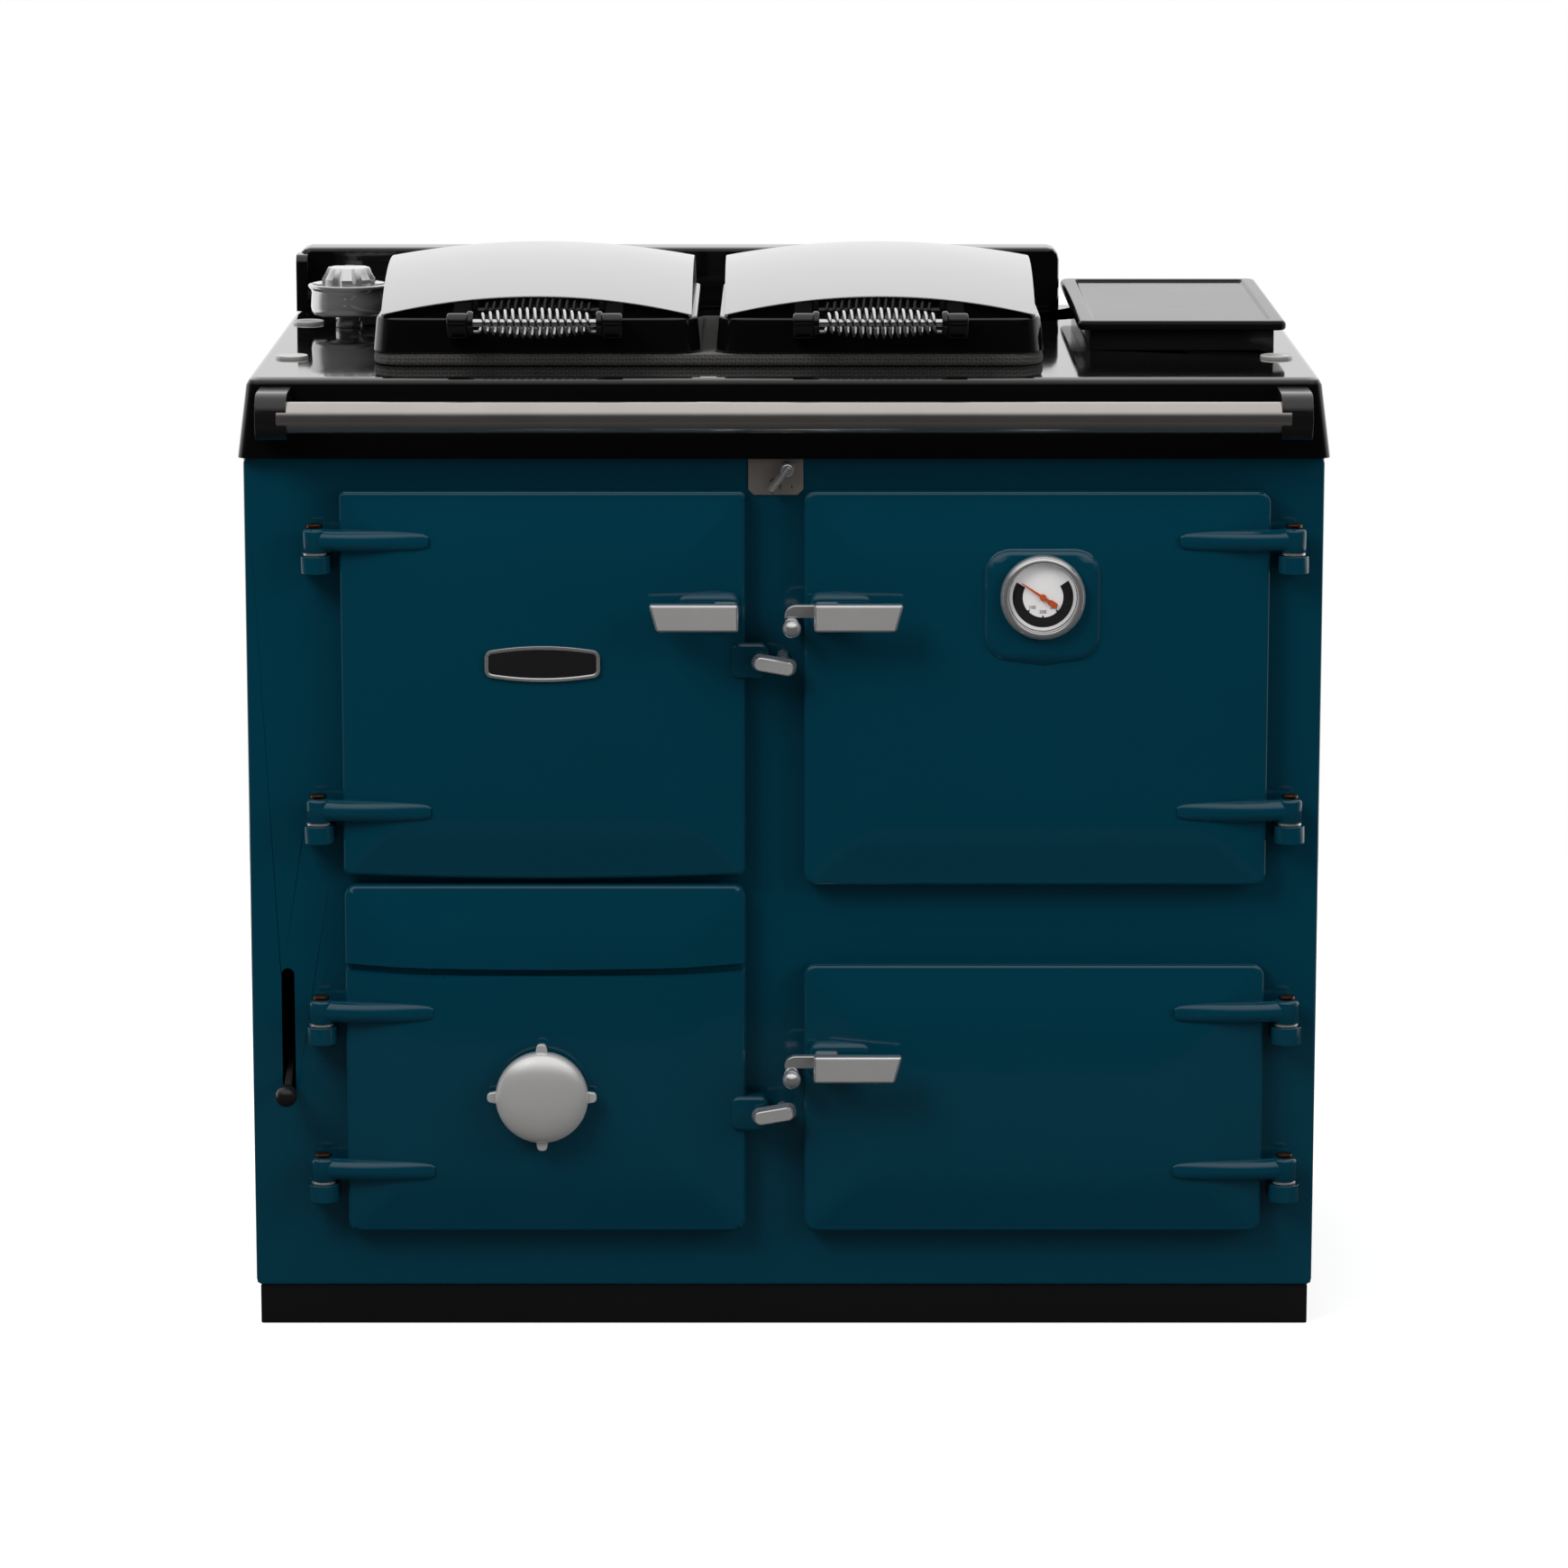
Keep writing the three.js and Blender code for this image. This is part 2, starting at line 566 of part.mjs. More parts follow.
// Lug under a hinge arm, with the pin's blind bore. `head` is the pin head's height.
function hingeLug(axisX, head) {
  const top = lugTop(head);
  const shape = new THREE.Shape();
  shape.moveTo(axisX - HINGE_LUG_RADIUS, BODY_FRONT + 1);
  shape.lineTo(axisX - HINGE_LUG_RADIUS, HINGE_AXIS_Y);
  shape.absarc(axisX, HINGE_AXIS_Y, HINGE_LUG_RADIUS, Math.PI, 2 * Math.PI);
  shape.lineTo(axisX + HINGE_LUG_RADIUS, BODY_FRONT + 1);
  shape.closePath();
  return prismZ(shape, top - HINGE_LUG_HEIGHT, top, 5);
}

function armTop(head) {
  return head - PIN_HEAD_HEIGHT / 2 - SEAT_GAP;
}

function lugTop(head) {
  return armTop(head) - HINGE_ARM_HEIGHT - WASHER_THICKNESS - 2 * SEAT_GAP;
}

function pinBore(axisX, head, foot, top) {
  return bore(PIN_RADIUS + RUN_GAP, "z", foot, top, [axisX, HINGE_AXIS_Y, 0], SMALL_ROUND);
}

// One-piece enamelled front plate: door openings, riddling slot, hinge lugs, catch studs, keepers.
function makeFrontPlate() {
  const edge = 3;
  let body = raisedPanel([left, right], [panelFoot, panelTop], 2 * edge, plateBack,
    [[0, 0], [0, FRONT_PLATE_THICKNESS - edge], [0.9, FRONT_PLATE_THICKNESS - 0.9],
      [edge, FRONT_PLATE_THICKNESS]]);
  for (const door of Object.values(DOORS)) {
    const axisX = door.side < 0 ? leftHinge : rightHinge;
    const { x, z } = throat(door);
    const opening = prismY(roundedOutline(...x, ...z, THROAT_RADIUS), BODY_FRONT - 1, plateBack + 1);
    body = cut(body, opening);
    for (const head of door.pins) {
      const hole = pinBore(axisX, head, lugTop(head) - HINGE_LUG_HEIGHT + 3, lugTop(head) + 1);
      body = cut(join(body, hingeLug(axisX, head)), hole);
    }
  }
  const slot = roundedOutline(slotX - SLOT_WIDTH / 2, slotX + SLOT_WIDTH / 2, SLOT_FOOT, SLOT_TOP,
    SLOT_WIDTH / 2 - 0.01);
  body = cut(body, prismY(slot, BODY_FRONT - 1, plateBack + 1),
    bore(DAMPER_SPINDLE + RUN_GAP, "y", BODY_FRONT - 1, plateBack + 1, [DAMPER_X, 0, damperHeight],
      SMALL_ROUND));
  for (const height of [upperHandleHeight, LOWER_HANDLE_HEIGHT]) {
    body = join(body, bobbinStud(height - BOBBIN_DROP));
  }
  for (const height of [upperLatchHeight, LOWER_LATCH_HEIGHT]) {
    body = join(body, keeper(height));
  }
  return part("front_plate", body, TEAL_ENAMEL);
}

// Stud on which a catch bobbin rolls, with a shoulder behind it.
function bobbinStud(height) {
  const shoulder = HOOK_FRONT + HOOK_THICKNESS + 4;
  return turned([[0, BODY_FRONT + 1], [BOBBIN_STUD + 4, BODY_FRONT + 1], [BOBBIN_STUD + 2.5, shoulder],
    [BOBBIN_STUD, shoulder], [BOBBIN_STUD, OVERALL_FRONT + 9], [0, OVERALL_FRONT + 9]],
  "y", [bobbinX, 0, height], SMALL_ROUND);
}

// Keeper stud behind a door latch's wing.
function keeper(height) {
  const top = LATCH_BACK + 1.5;
  return turned([[0, BODY_FRONT + 1], [6.5, BODY_FRONT + 1], [4.5, top + 2], [3, top], [0, top]],
    "y", [latchX + 21, 0, height], SMALL_ROUND);
}

function makeSidePanel(name, side) {
  const outer = side * BODY_WIDTH / 2;
  const innerX = outer - side * PANEL_THICKNESS;
  const [x0, x1] = [Math.min(outer, innerX), Math.max(outer, innerX)];
  const lip = 14;
  const lipX = outer - side * lip;
  const body = join(
    block(x0, x1, innerFront, bodyBack, panelFoot, panelTop),
    block(Math.min(innerX, lipX) - 0.5, Math.max(innerX, lipX) + 0.5, innerFront,
      innerFront + PANEL_THICKNESS, panelFoot, panelTop));
  return part(name, body, TEAL_ENAMEL);
}

// Sheet back with the flue outlet's hole and a row of cooling slots.
function makeBackPanel() {
  const [x0, x1] = inset([left, right], PANEL_THICKNESS + SEAT_GAP);
  const centre = (flueBox[0] + flueBox[1]) / 2;
  let body = cut(block(x0, x1, bodyBack - PANEL_THICKNESS, bodyBack, panelFoot, panelTop),
    bore(FLUE_SPIGOT_RADIUS + 1, "y", bodyBack - PANEL_THICKNESS - 1, bodyBack + 1,
      [centre, 0, flueSpigotHeight], ROUND));
  const slotCount = 4;
  const slotPitch = 30;
  const slotFoot = 110;
  const slotHeight = 60;
  for (let i = 0; i < slotCount; i += 1) {
    const middle = (i - (slotCount - 1) / 2) * slotPitch;
    body = cut(body, block(middle - 4, middle + 4, bodyBack - PANEL_THICKNESS - 1, bodyBack + 1,
      slotFoot, slotFoot + slotHeight));
  }
  return part("back_panel", body, SHEET_STEEL);
}

// Enamelled top casting: hollow, with a flared skirt, a rim that rests on the body, the hotplate's
// ledge, the flue box's hole, three cover caps and the lids' hinge ears and pins.
function makeTopPlate() {
  const ring = (outward, height, lean, radius) => {
    const x = [left - SKIRT_OVERHANG + outward, right + SKIRT_OVERHANG - outward];
    const y = [SKIRT_FRONT + lean, overallBack];
    return panelRing(x, y, radius, 0).map(([u, v]) => new THREE.Vector3(u, v, height));
  };
  const lean = SKIRT_FLARE;
  const r = TOP_EDGE_RADIUS;
  const outer = loft([ring(0, skirtFoot, 0, 12), ring(lean * 0.9, HOB_HEIGHT - r, lean * 0.9, 12),
    ring(lean + r * 0.25, HOB_HEIGHT - r * 0.35, lean + r * 0.25, 11),
    ring(lean + r, HOB_HEIGHT, lean + r, 8)]);
  const hollowX = inset([left - SKIRT_OVERHANG, right + SKIRT_OVERHANG], TOP_THICKNESS + lean);
  const hollowY = [SKIRT_FRONT + TOP_THICKNESS + lean, overallBack - TOP_THICKNESS];
  const rimX = inset([left - SKIRT_OVERHANG, right + SKIRT_OVERHANG], SKIRT_RIM);
  const rimY = [SKIRT_FRONT + SKIRT_RIM, overallBack - SKIRT_RIM];
  let body = cut(outer,
    block(...hollowX, ...hollowY, skirtFoot + TOP_THICKNESS, HOB_HEIGHT - TOP_THICKNESS),
    block(...rimX, ...rimY, skirtFoot - 1, skirtFoot + TOP_THICKNESS + 1));
  const plate = hotplateOpening();
  const ledge = cut(
    block(plate[0] - 12, plate[1] + 12, plate[2] - 12, plate[3] + 12, HOB_HEIGHT - HOTPLATE_THICKNESS - 5,
      HOB_HEIGHT - TOP_THICKNESS + 1),
    block(plate[0] + HOTPLATE_LEDGE, plate[1] - HOTPLATE_LEDGE, plate[2] + HOTPLATE_LEDGE,
      plate[3] - HOTPLATE_LEDGE, 0, HOB_HEIGHT));
  body = cut(join(body, ledge),
    prismZ(roundedOutline(...plate, SEAL_CORNER - SEAL_WIDTH / 2),
      HOB_HEIGHT - HOTPLATE_THICKNESS, HOB_HEIGHT + 1));
  const gap = SEAT_GAP;
  body = cut(body,
    block(flueBox[0] - gap, flueBox[1] + gap, FLUE_FRONT - gap, flueBack + gap, 0, HOB_HEIGHT + 1),
    bore(KNOB_SPINDLE + RUN_GAP, "z", skirtFoot, HOB_HEIGHT + 1, [left + KNOB_LEFT_MARGIN, KNOB_Y, 0],
      SMALL_ROUND));
  for (const [x, y] of coverCapPlaces()) {
    body = join(body, turned([[0, HOB_HEIGHT - 1], [COVER_CAP_RADIUS, HOB_HEIGHT - 1],
      [COVER_CAP_RADIUS, HOB_HEIGHT + COVER_CAP_HEIGHT - 1],
      [COVER_CAP_RADIUS - 1.5, HOB_HEIGHT + COVER_CAP_HEIGHT], [0, HOB_HEIGHT + COVER_CAP_HEIGHT]],
    "z", [x, y, 0]));
  }
  for (const x of lidHingePlaces()) body = join(body, lidHingeEars(x));
  return part("top_plate", body, BLACK_ENAMEL);
}

// Opening for the hotplate, under the middle of the seal.
function hotplateOpening() {
  return [sealBox[0] + SEAL_WIDTH / 2, sealBox[1] - SEAL_WIDTH / 2,
    sealBox[2] + SEAL_WIDTH / 2, sealBox[3] - SEAL_WIDTH / 2];
}

function coverCapPlaces() {
  const side = 33.5;
  const front = SKIRT_FRONT + SKIRT_FLARE;
  return [[left + side, front + 158], [right - side, front + 158], [left + side - 7, front + 449]];
}

// Middles of the four lid hinges, two to a lid.
function lidHingePlaces() {
  const reach = LID_HINGE_INSET;
  return [sealBox[0] + reach, sealBox[0] + lidWidth - reach,
    sealBox[1] - lidWidth + reach, sealBox[1] - reach];
}

// Two ears and a pin standing on the top plate.
function lidHingeEars(x) {
  const half = LID_KNUCKLE_LENGTH / 2 + SEAT_GAP;
  const ear = new THREE.Shape();
  ear.moveTo(lidAxisY - LID_KNUCKLE, HOB_HEIGHT - 1);
  ear.lineTo(lidAxisY + LID_KNUCKLE + 6, HOB_HEIGHT - 1);
  ear.lineTo(lidAxisY + LID_KNUCKLE, lidAxisZ);
  ear.absarc(lidAxisY, lidAxisZ, LID_KNUCKLE, 0, Math.PI);
  ear.closePath();
  return join(
    prismX(ear, x - half - LID_EAR, x - half, 4),
    prismX(ear, x + half, x + half + LID_EAR, 4),
    bar(LID_PIN, "x", x - half - LID_EAR - 2, x + half + LID_EAR + 2, [0, lidAxisY, lidAxisZ], SMALL_ROUND));
}

// Low splashback with rounded upper corners and a short return at its left end.
function makeSplashback() {
  const foot = HOB_HEIGHT + SEAT_GAP;
  const x = [left + 6.5, right - SPLASHBACK_RIGHT_STOP];
  const depth = overallBack - splashbackFront;
  const wall = raisedPanel(x, [foot, HOB_HEIGHT + SPLASHBACK_HEIGHT], 12, overallBack,
    [[0, 0], [0, depth - 4], [1.2, depth - 1.2], [4, depth]]);
  const squareFoot = block(...x, splashbackFront + 4, overallBack, foot, foot + 14);
  const end = prismX(roundedOutline(splashbackFront - 26, splashbackFront + 12, foot,
    HOB_HEIGHT + SPLASHBACK_HEIGHT - 5, 9), x[0], x[0] + 11);
  const endFoot = block(x[0], x[0] + 11, splashbackFront - 26, splashbackFront + 12, foot, foot + 12);
  const rim = bar(3, "x", x[0] + 12, x[1] - 12,
    [0, splashbackFront + 3, HOB_HEIGHT + SPLASHBACK_HEIGHT - 3.5], SMALL_ROUND);
  return part("splashback", join(wall, squareFoot, end, endFoot, rim), BLACK_ENAMEL);
}

// Machined hotplate with cooling ribs underneath.
function makeHotplate() {
  const [x0, x1, y0, y1] = hotplateOpening();
  const foot = HOB_HEIGHT - HOTPLATE_THICKNESS + SEAT_GAP;
  const corner = SEAL_CORNER - SEAL_WIDTH / 2 - SEAT_GAP;
  const shape = roundedOutline(x0 + SEAT_GAP, x1 - SEAT_GAP, y0 + SEAT_GAP, y1 - SEAT_GAP, corner);
  let body = prismZ(shape, foot, HOB_HEIGHT);
  const ribs = 4;
  const inner = inset([x0, x1], HOTPLATE_LEDGE + 20);
  for (let i = 0; i < ribs; i += 1) {
    const x = THREE.MathUtils.lerp(...inner, i / (ribs - 1));
    body = join(body, block(x - 3, x + 3, y0 + HOTPLATE_LEDGE + 20, y1 - HOTPLATE_LEDGE - 60, foot - 5,
      foot + 1));
  }
  return part("hotplate", body, RAW_CASTING);
}

// Rope seal round the hotplate, with a bar where the lids meet.
function makeSeal() {
  const [x0, x1, y0, y1] = sealBox;
  const shape = roundedOutline(x0, x1, y0, y1, SEAL_CORNER);
  const middle = (x0 + x1) / 2;
  const w = SEAL_WIDTH;
  const hole = (a, b) => prismZ(roundedOutline(a, b, y0 + w, y1 - w, SEAL_CORNER - w),
    sealFoot - 1, sealFoot + SEAL_HEIGHT + 1, 2);
  return part("hotplate_seal", cut(prismZ(shape, sealFoot, sealFoot + SEAL_HEIGHT),
    hole(x0 + w, middle - w / 2), hole(middle + w / 2, x1 - w)), ROPE);
}

// Collar on the hob, duct down the back of the casing, and a round outlet through the back panel.
function makeFlueBox() {
  const [x0, x1] = flueBox;
  const w = FLUE_WALL;
  const ductBack = bodyBack - PANEL_THICKNESS - SEAT_GAP;
  const rim = HOB_HEIGHT + FLUE_RISE;
  const centre = [(x0 + x1) / 2, 0, flueSpigotHeight];
  const foot = HOB_HEIGHT - 40;
  const outer = join(
    prismZ(roundedOutline(x0, x1, FLUE_FRONT, flueBack, 1.5), foot, rim),
    block(x0 + 8, x1 - 8, flueDuctFront, flueBack, flueDuctFoot, foot + 1),
    bar(FLUE_SPIGOT_RADIUS, "y", flueBack - 2, overallBack, centre));
  return part("flue_box", cut(outer,
    block(x0 + w, x1 - w, FLUE_FRONT + w, flueDuctFront, foot - 1, rim + 1),
    block(x0 + w, x1 - w, flueDuctFront - 1, flueBack - w, foot + w, rim + 1),
    block(x0 + 8 + w, x1 - 8 - w, flueDuctFront + w, flueBack - w, flueDuctFoot + w, rim + 1),
    bar(FLUE_SPIGOT_RADIUS - FLUE_SPIGOT_WALL, "y", flueBack - w - 1, overallBack + 1, centre)),
  BLACK_ENAMEL);
}

// Lift-off cover plate: raised border round a sunk panel, with a locating rib inside the collar.
function makeFlueCover() {
  const x = [flueBox[0] - COVER_OVERHANG, flueBox[1] + COVER_OVERHANG];
  const y = [FLUE_FRONT - COVER_OVERHANG, flueBack + COVER_OVERHANG];
  const plate = raisedSlab(x, y, 10, coverFoot,
    [[1.5, 0], [0, 1.5], [0, COVER_THICKNESS - 3], [2, COVER_THICKNESS - 0.6], [5, COVER_THICKNESS]]);
  const panel = raisedSlab(inset(x, COVER_BORDER), inset(y, COVER_BORDER), 6,
    coverFoot + COVER_THICKNESS + 1, [[0, 0], [3, -1 - COVER_PANEL_DEPTH]]);
  const play = FLUE_WALL + 3;
  const rib = cut(
    block(...inset(flueBox, play), FLUE_FRONT + play, flueBack - play, coverFoot - 8, coverFoot + 1),
    block(...inset(flueBox, play + 4), FLUE_FRONT + play + 4, flueBack - play - 4, coverFoot - 9,
      coverFoot));
  return part("flue_cover", join(cut(plate, panel), rib), BLACK_ENAMEL);
}

// Stainless plate behind the damper's pointer knob.
function makeControlPlate() {
  const half = CONTROL_PLATE_WIDTH / 2;
  const [x0, x1] = [CONTROL_PLATE_X - half, CONTROL_PLATE_X + half];
  const top = skirtFoot - 2;
  const foot = top - CONTROL_PLATE_HEIGHT;
  const chamfer = 5;
  const shape = outline([[x0, top], [x0, foot + chamfer], [x0 + chamfer, foot], [x1 - chamfer, foot],
    [x1, foot + chamfer], [x1, top]]);
  return part("control_plate", cut(prismY(shape, doorBack - CONTROL_PLATE_THICKNESS, doorBack),
    bore(DAMPER_SPINDLE + RUN_GAP, "y", doorBack - 5, doorBack + 5, [DAMPER_X, 0, damperHeight],
      SMALL_ROUND)), BRUSHED_STEEL);
}

// Front handrail: a round bar whose ends sit in the brackets' sockets.
function railAxis() {
  return [0, OVERALL_FRONT + RAIL_RADIUS, railHeight];
}

function makeHandrail() {
  const reach = BODY_WIDTH / 2 - RAIL_BRACKET_INNER + RAIL_SOCKET - SEAT_GAP;
  return part("handrail", bar(RAIL_RADIUS, "x", -reach, reach, railAxis(), WIDE_ROUND), CHROME);
}

// Cast end bracket, seated on the leaning skirt.
function makeRailBracket(name, side) {
  const innerX = BODY_WIDTH / 2 - RAIL_BRACKET_INNER;
  const outerX = innerX + RAIL_BRACKET_WIDTH;
  const lean = (z) => SKIRT_FRONT - SEAT_GAP
    + SKIRT_FLARE * 0.9 * (z - skirtFoot) / (SKIRT_HEIGHT - TOP_EDGE_RADIUS);
  const low = railHeight - RAIL_BRACKET_HEIGHT / 2;
  const high = railHeight + RAIL_BRACKET_HEIGHT / 2;
  const nose = 15;
  const shape = new THREE.Shape();
  shape.moveTo(lean(low), low);
  shape.lineTo(lean(high), high);
  shape.lineTo(OVERALL_FRONT + nose + 8, high);
  shape.quadraticCurveTo(OVERALL_FRONT, high, OVERALL_FRONT, railHeight);
  shape.quadraticCurveTo(OVERALL_FRONT, low, OVERALL_FRONT + nose + 8, low);
  shape.closePath();
  const [a, b] = side < 0 ? [-outerX, -innerX] : [innerX, outerX];
  const socketEnd = innerX + RAIL_SOCKET;
  const socket = side < 0 ? [-socketEnd, -innerX + 1] : [innerX - 1, socketEnd];
  return part(name, cut(prismX(shape, a, b, 5),
    bore(RAIL_RADIUS + SEAT_GAP, "x", ...socket, railAxis(), WIDE_ROUND)), BLACK_ENAMEL);
}

// ---------------------------------------------------------------- inside the casing
// Chamber behind a door: where its inner faces lie.
function chamber(door) {
  const opening = throat(door);
  return { x: inset(opening.x, -CHAMBER_SIDE_GAP), z: inset(opening.z, -CHAMBER_SIDE_GAP) };
}

// Firebox casting: fire chamber above, ash pit below, grate bearings, and the riddling lever's stud.
function makeFirebox() {
  const fire = chamber(DOORS.firebox);
  const pit = chamber(DOORS.ash);
  const w = CASTING_WALL;
  const foot = pit.z[0] - w;
  const [x0, x1] = fire.x;
  const stepZ = pit.z[1] + 12;
  let body = cut(
    block(x0 - w, x1 + w, innerFront, fireboxBack + w, foot, fireboxTop),
    block(x0, x1, innerFront - 1, fireboxBack, pit.z[0], pit.z[1]),
    block(x0, x1, innerFront - 1, fireboxBack, stepZ, fire.z[1]),
    block(x0, x1, innerFront + w, fireboxBack, stepZ, fireboxTop + 1),
    block(x0 + 14, x1 - 14, GRATE_FRONT - 14, grateBack + 14, pit.z[1] - 1, stepZ + 1),
    block(x1 - 1, x1 + w + 1, innerFront + w, fireboxBack, upperDoorTop - FLUE_PASSAGE_DROP,
      fireboxTop + 1));
  const trunnionY = (GRATE_FRONT + grateBack) / 2;
  body = cut(body, bore(TRUNNION_RADIUS + RUN_GAP, "x", x0 - TRUNNION_SEAT, x1 + TRUNNION_SEAT,
    [0, trunnionY, grateHeight], SMALL_ROUND));
  const stud = turned([[0, slotX - LEVER_THICKNESS / 2 - 2], [LEVER_STUD, slotX - LEVER_THICKNESS / 2 - 2],
    [LEVER_STUD, slotX + LEVER_THICKNESS / 2 + SEAT_GAP], [LEVER_STUD + 4, slotX + LEVER_THICKNESS / 2
    + SEAT_GAP], [LEVER_STUD + 4, x0 - w + 1], [0, x0 - w + 1]],
  "x", [0, LEVER_PIVOT_Y, LEVER_PIVOT_Z], SMALL_ROUND);
  return part("firebox", join(body, stud), RAW_CASTING);
}

// Bottom grate: a frame with bars and two trunnions on which it rocks.
function makeGrate() {
  const fire = chamber(DOORS.firebox);
  const x = inset(fire.x, GRATE_SIDE_GAP);
  const z0 = grateHeight - GRATE_THICKNESS / 2;
  const middleY = (GRATE_FRONT + grateBack) / 2;
  const frame = 14;
  let body = prismZ(roundedOutline(...x, GRATE_FRONT, grateBack, 6), z0, z0 + GRATE_THICKNESS, 2);
  const pitch = (x[1] - x[0] - frame) / GRATE_BARS;
  for (let i = 0; i < GRATE_BARS; i += 1) {
    const x0 = x[0] + frame + i * pitch;
    const slots = [[GRATE_FRONT + frame, middleY - frame / 2], [middleY + frame / 2, grateBack - frame]];
    for (const [y0, y1] of slots) {
      body = cut(body, block(x0, x0 + pitch - frame, y0, y1, z0 - 1, z0 + GRATE_THICKNESS + 1));
    }
  }
  const reach = TRUNNION_SEAT - SEAT_GAP;
  return part("grate", join(body, bar(TRUNNION_RADIUS, "x", fire.x[0] - reach, x[0] + 8,
    [0, middleY, grateHeight], SMALL_ROUND), bar(TRUNNION_RADIUS, "x", x[1] - 8, fire.x[1] + reach,
    [0, middleY, grateHeight], SMALL_ROUND)), RAW_CASTING);
}

// Pressed ash pan with flared walls and a lip to pull it by.
function makeAshPan() {
  const pit = chamber(DOORS.ash);
  const foot = pit.z[0] + SEAT_GAP;
  const x = inset(pit.x, 12);
  const y = [innerFront + LINER_DEPTH + 12, fireboxBack - 25];
  const w = ASH_PAN_WALL;
  const outer = raisedSlab(x, y, 14, foot, [[8, 0], [4, ASH_PAN_HEIGHT - 2], [0, ASH_PAN_HEIGHT - 2],
    [0, ASH_PAN_HEIGHT]]);
  const inner = raisedSlab(inset(x, 4 + w), inset(y, 4 + w), 12, foot + w,
    [[4, 0], [0, ASH_PAN_HEIGHT]]);
  return part("ash_pan", cut(outer, inner), SHEET_STEEL);
}

// Oven: a sheet box open at the front, with a flange behind the front plate and shelf runners.
function makeOvenBox(name, door, shelfHeight) {
  const space = chamber(door);
  const w = OVEN_WALL;
  const flange = 8;
  const [x0, x1] = space.x;
  const [z0, z1] = space.z;
  let body = join(
    block(x0 - w, x1 + w, innerFront, ovenBack + w, z0 - w, z1 + w),
    block(x0 - w - flange, x1 + w + flange, innerFront, innerFront + w, z0 - w - flange, z1 + w + flange));
  body = cut(body, block(x0, x1, innerFront - 1, ovenBack, z0, z1));
  const depth = [innerFront + 25, ovenBack - 20];
  for (const [a, b] of [[x0 - 1, x0 + SHELF_RUNNER], [x1 - SHELF_RUNNER, x1 + 1]]) {
    body = join(body, block(a, b, ...depth, shelfHeight - w, shelfHeight));
  }
  return part(name, body, SHEET_STEEL);
}

// Grid shelf resting on the oven's runners.
function makeShelf(name, door, height) {
  const space = chamber(door);
  const x = inset(space.x, 3);
  const y = [innerFront + LINER_DEPTH + 14, ovenBack - 12];
  const z0 = height + SEAT_GAP;
  const frame = 6;
  let body = prismZ(roundedOutline(...x, ...y, 8), z0, z0 + SHELF_THICKNESS, 2);
  const pitch = (x[1] - x[0] - frame) / SHELF_BARS;
  for (let i = 0; i < SHELF_BARS; i += 1) {
    const x0 = x[0] + frame + i * pitch;
    body = cut(body, block(x0, x0 + pitch - frame, y[0] + frame, y[1] - frame, z0 - 1,
      z0 + SHELF_THICKNESS + 1));
  }
  return part(name, body, CHROME);
}

// Hinge pin with its bronze head and the bright washer under the arm.
function makeHingePin(name, axisX, head) {
  const top = head + PIN_HEAD_HEIGHT / 2;
  const under = head - PIN_HEAD_HEIGHT / 2;
  const washerFoot = lugTop(head) + SEAT_GAP;
  const tip = lugTop(head) - HINGE_LUG_HEIGHT + 3 + PIN_END_GAP;
  return part(name, turned([[0, tip], [PIN_RADIUS, tip], [PIN_RADIUS, washerFoot],
    [WASHER_RADIUS, washerFoot], [WASHER_RADIUS, washerFoot + WASHER_THICKNESS],
    [PIN_RADIUS, washerFoot + WASHER_THICKNESS], [PIN_RADIUS, under], [PIN_HEAD_RADIUS, under],
    [PIN_HEAD_RADIUS, top - 1.4], [0, top]],
  "z", [axisX, HINGE_AXIS_Y, 0], SMALL_ROUND), BRONZE);
}

// ---------------------------------------------------------------- doors
function doorCasting(door) {
  const shortSide = Math.min(door.x[1] - door.x[0], door.z[1] - door.z[0]);
  const crown = Math.min(DOOR_CROWN_INSET, shortSide * 0.4);
  const rise = DOOR_EDGE_PROUD;
  return raisedPanel(door.x, door.z, DOOR_CORNER, doorBack, [[1.2, 0], [0, 1.2], [0, rise - 6],
    [2, rise - 1.8], [7, rise], [DOOR_BEVEL, rise + 8.8], [crown, DOOR_PROUD]],
  door.bow);
}

// Hinge arm: a barrel round the pin that tapers off over the door's face.
function hingeArm(door, head) {
  const axisX = door.side < 0 ? leftHinge : rightHinge;
  const inward = -door.side;
  const top = armTop(head);
  const middle = top - HINGE_ARM_HEIGHT / 2;
  const half = HINGE_ARM_HEIGHT / 2;
  const stations = [[0, HINGE_AXIS_Y, 10, half], [30, HINGE_AXIS_Y - 2.5, 9.5, half - 1],
    [62, doorFace + 8, 7, half - 2.5],
    [HINGE_ARM_REACH, doorFace + 6.5, 2.5, 3]];
  const rings = stations.map(([out, y, ry, rz]) => Array.from({ length: ARM_SIDES }, (_, i) => {
    const angle = i * 2 * Math.PI / ARM_SIDES;
    return new THREE.Vector3(axisX + inward * out, y + ry * Math.cos(angle), middle + rz * Math.sin(angle));
  }));
  const barrel = turned([[0, top - HINGE_ARM_HEIGHT], [HINGE_BARREL_RADIUS, top - HINGE_ARM_HEIGHT],
    [HINGE_BARREL_RADIUS, top - 1.5],
    [HINGE_BARREL_RADIUS - 1.5, top], [0, top]], "z", [axisX, HINGE_AXIS_Y, 0]);
  return join(loft(rings), barrel);
}

function withHinges(door, body) {
  const axisX = door.side < 0 ? leftHinge : rightHinge;
  let hinged = body;
  for (const head of door.pins) {
    hinged = cut(join(hinged, hingeArm(door, head)), pinBore(axisX, head,
      armTop(head) - HINGE_ARM_HEIGHT - 1, armTop(head) + 1));
  }
  return hinged;
}

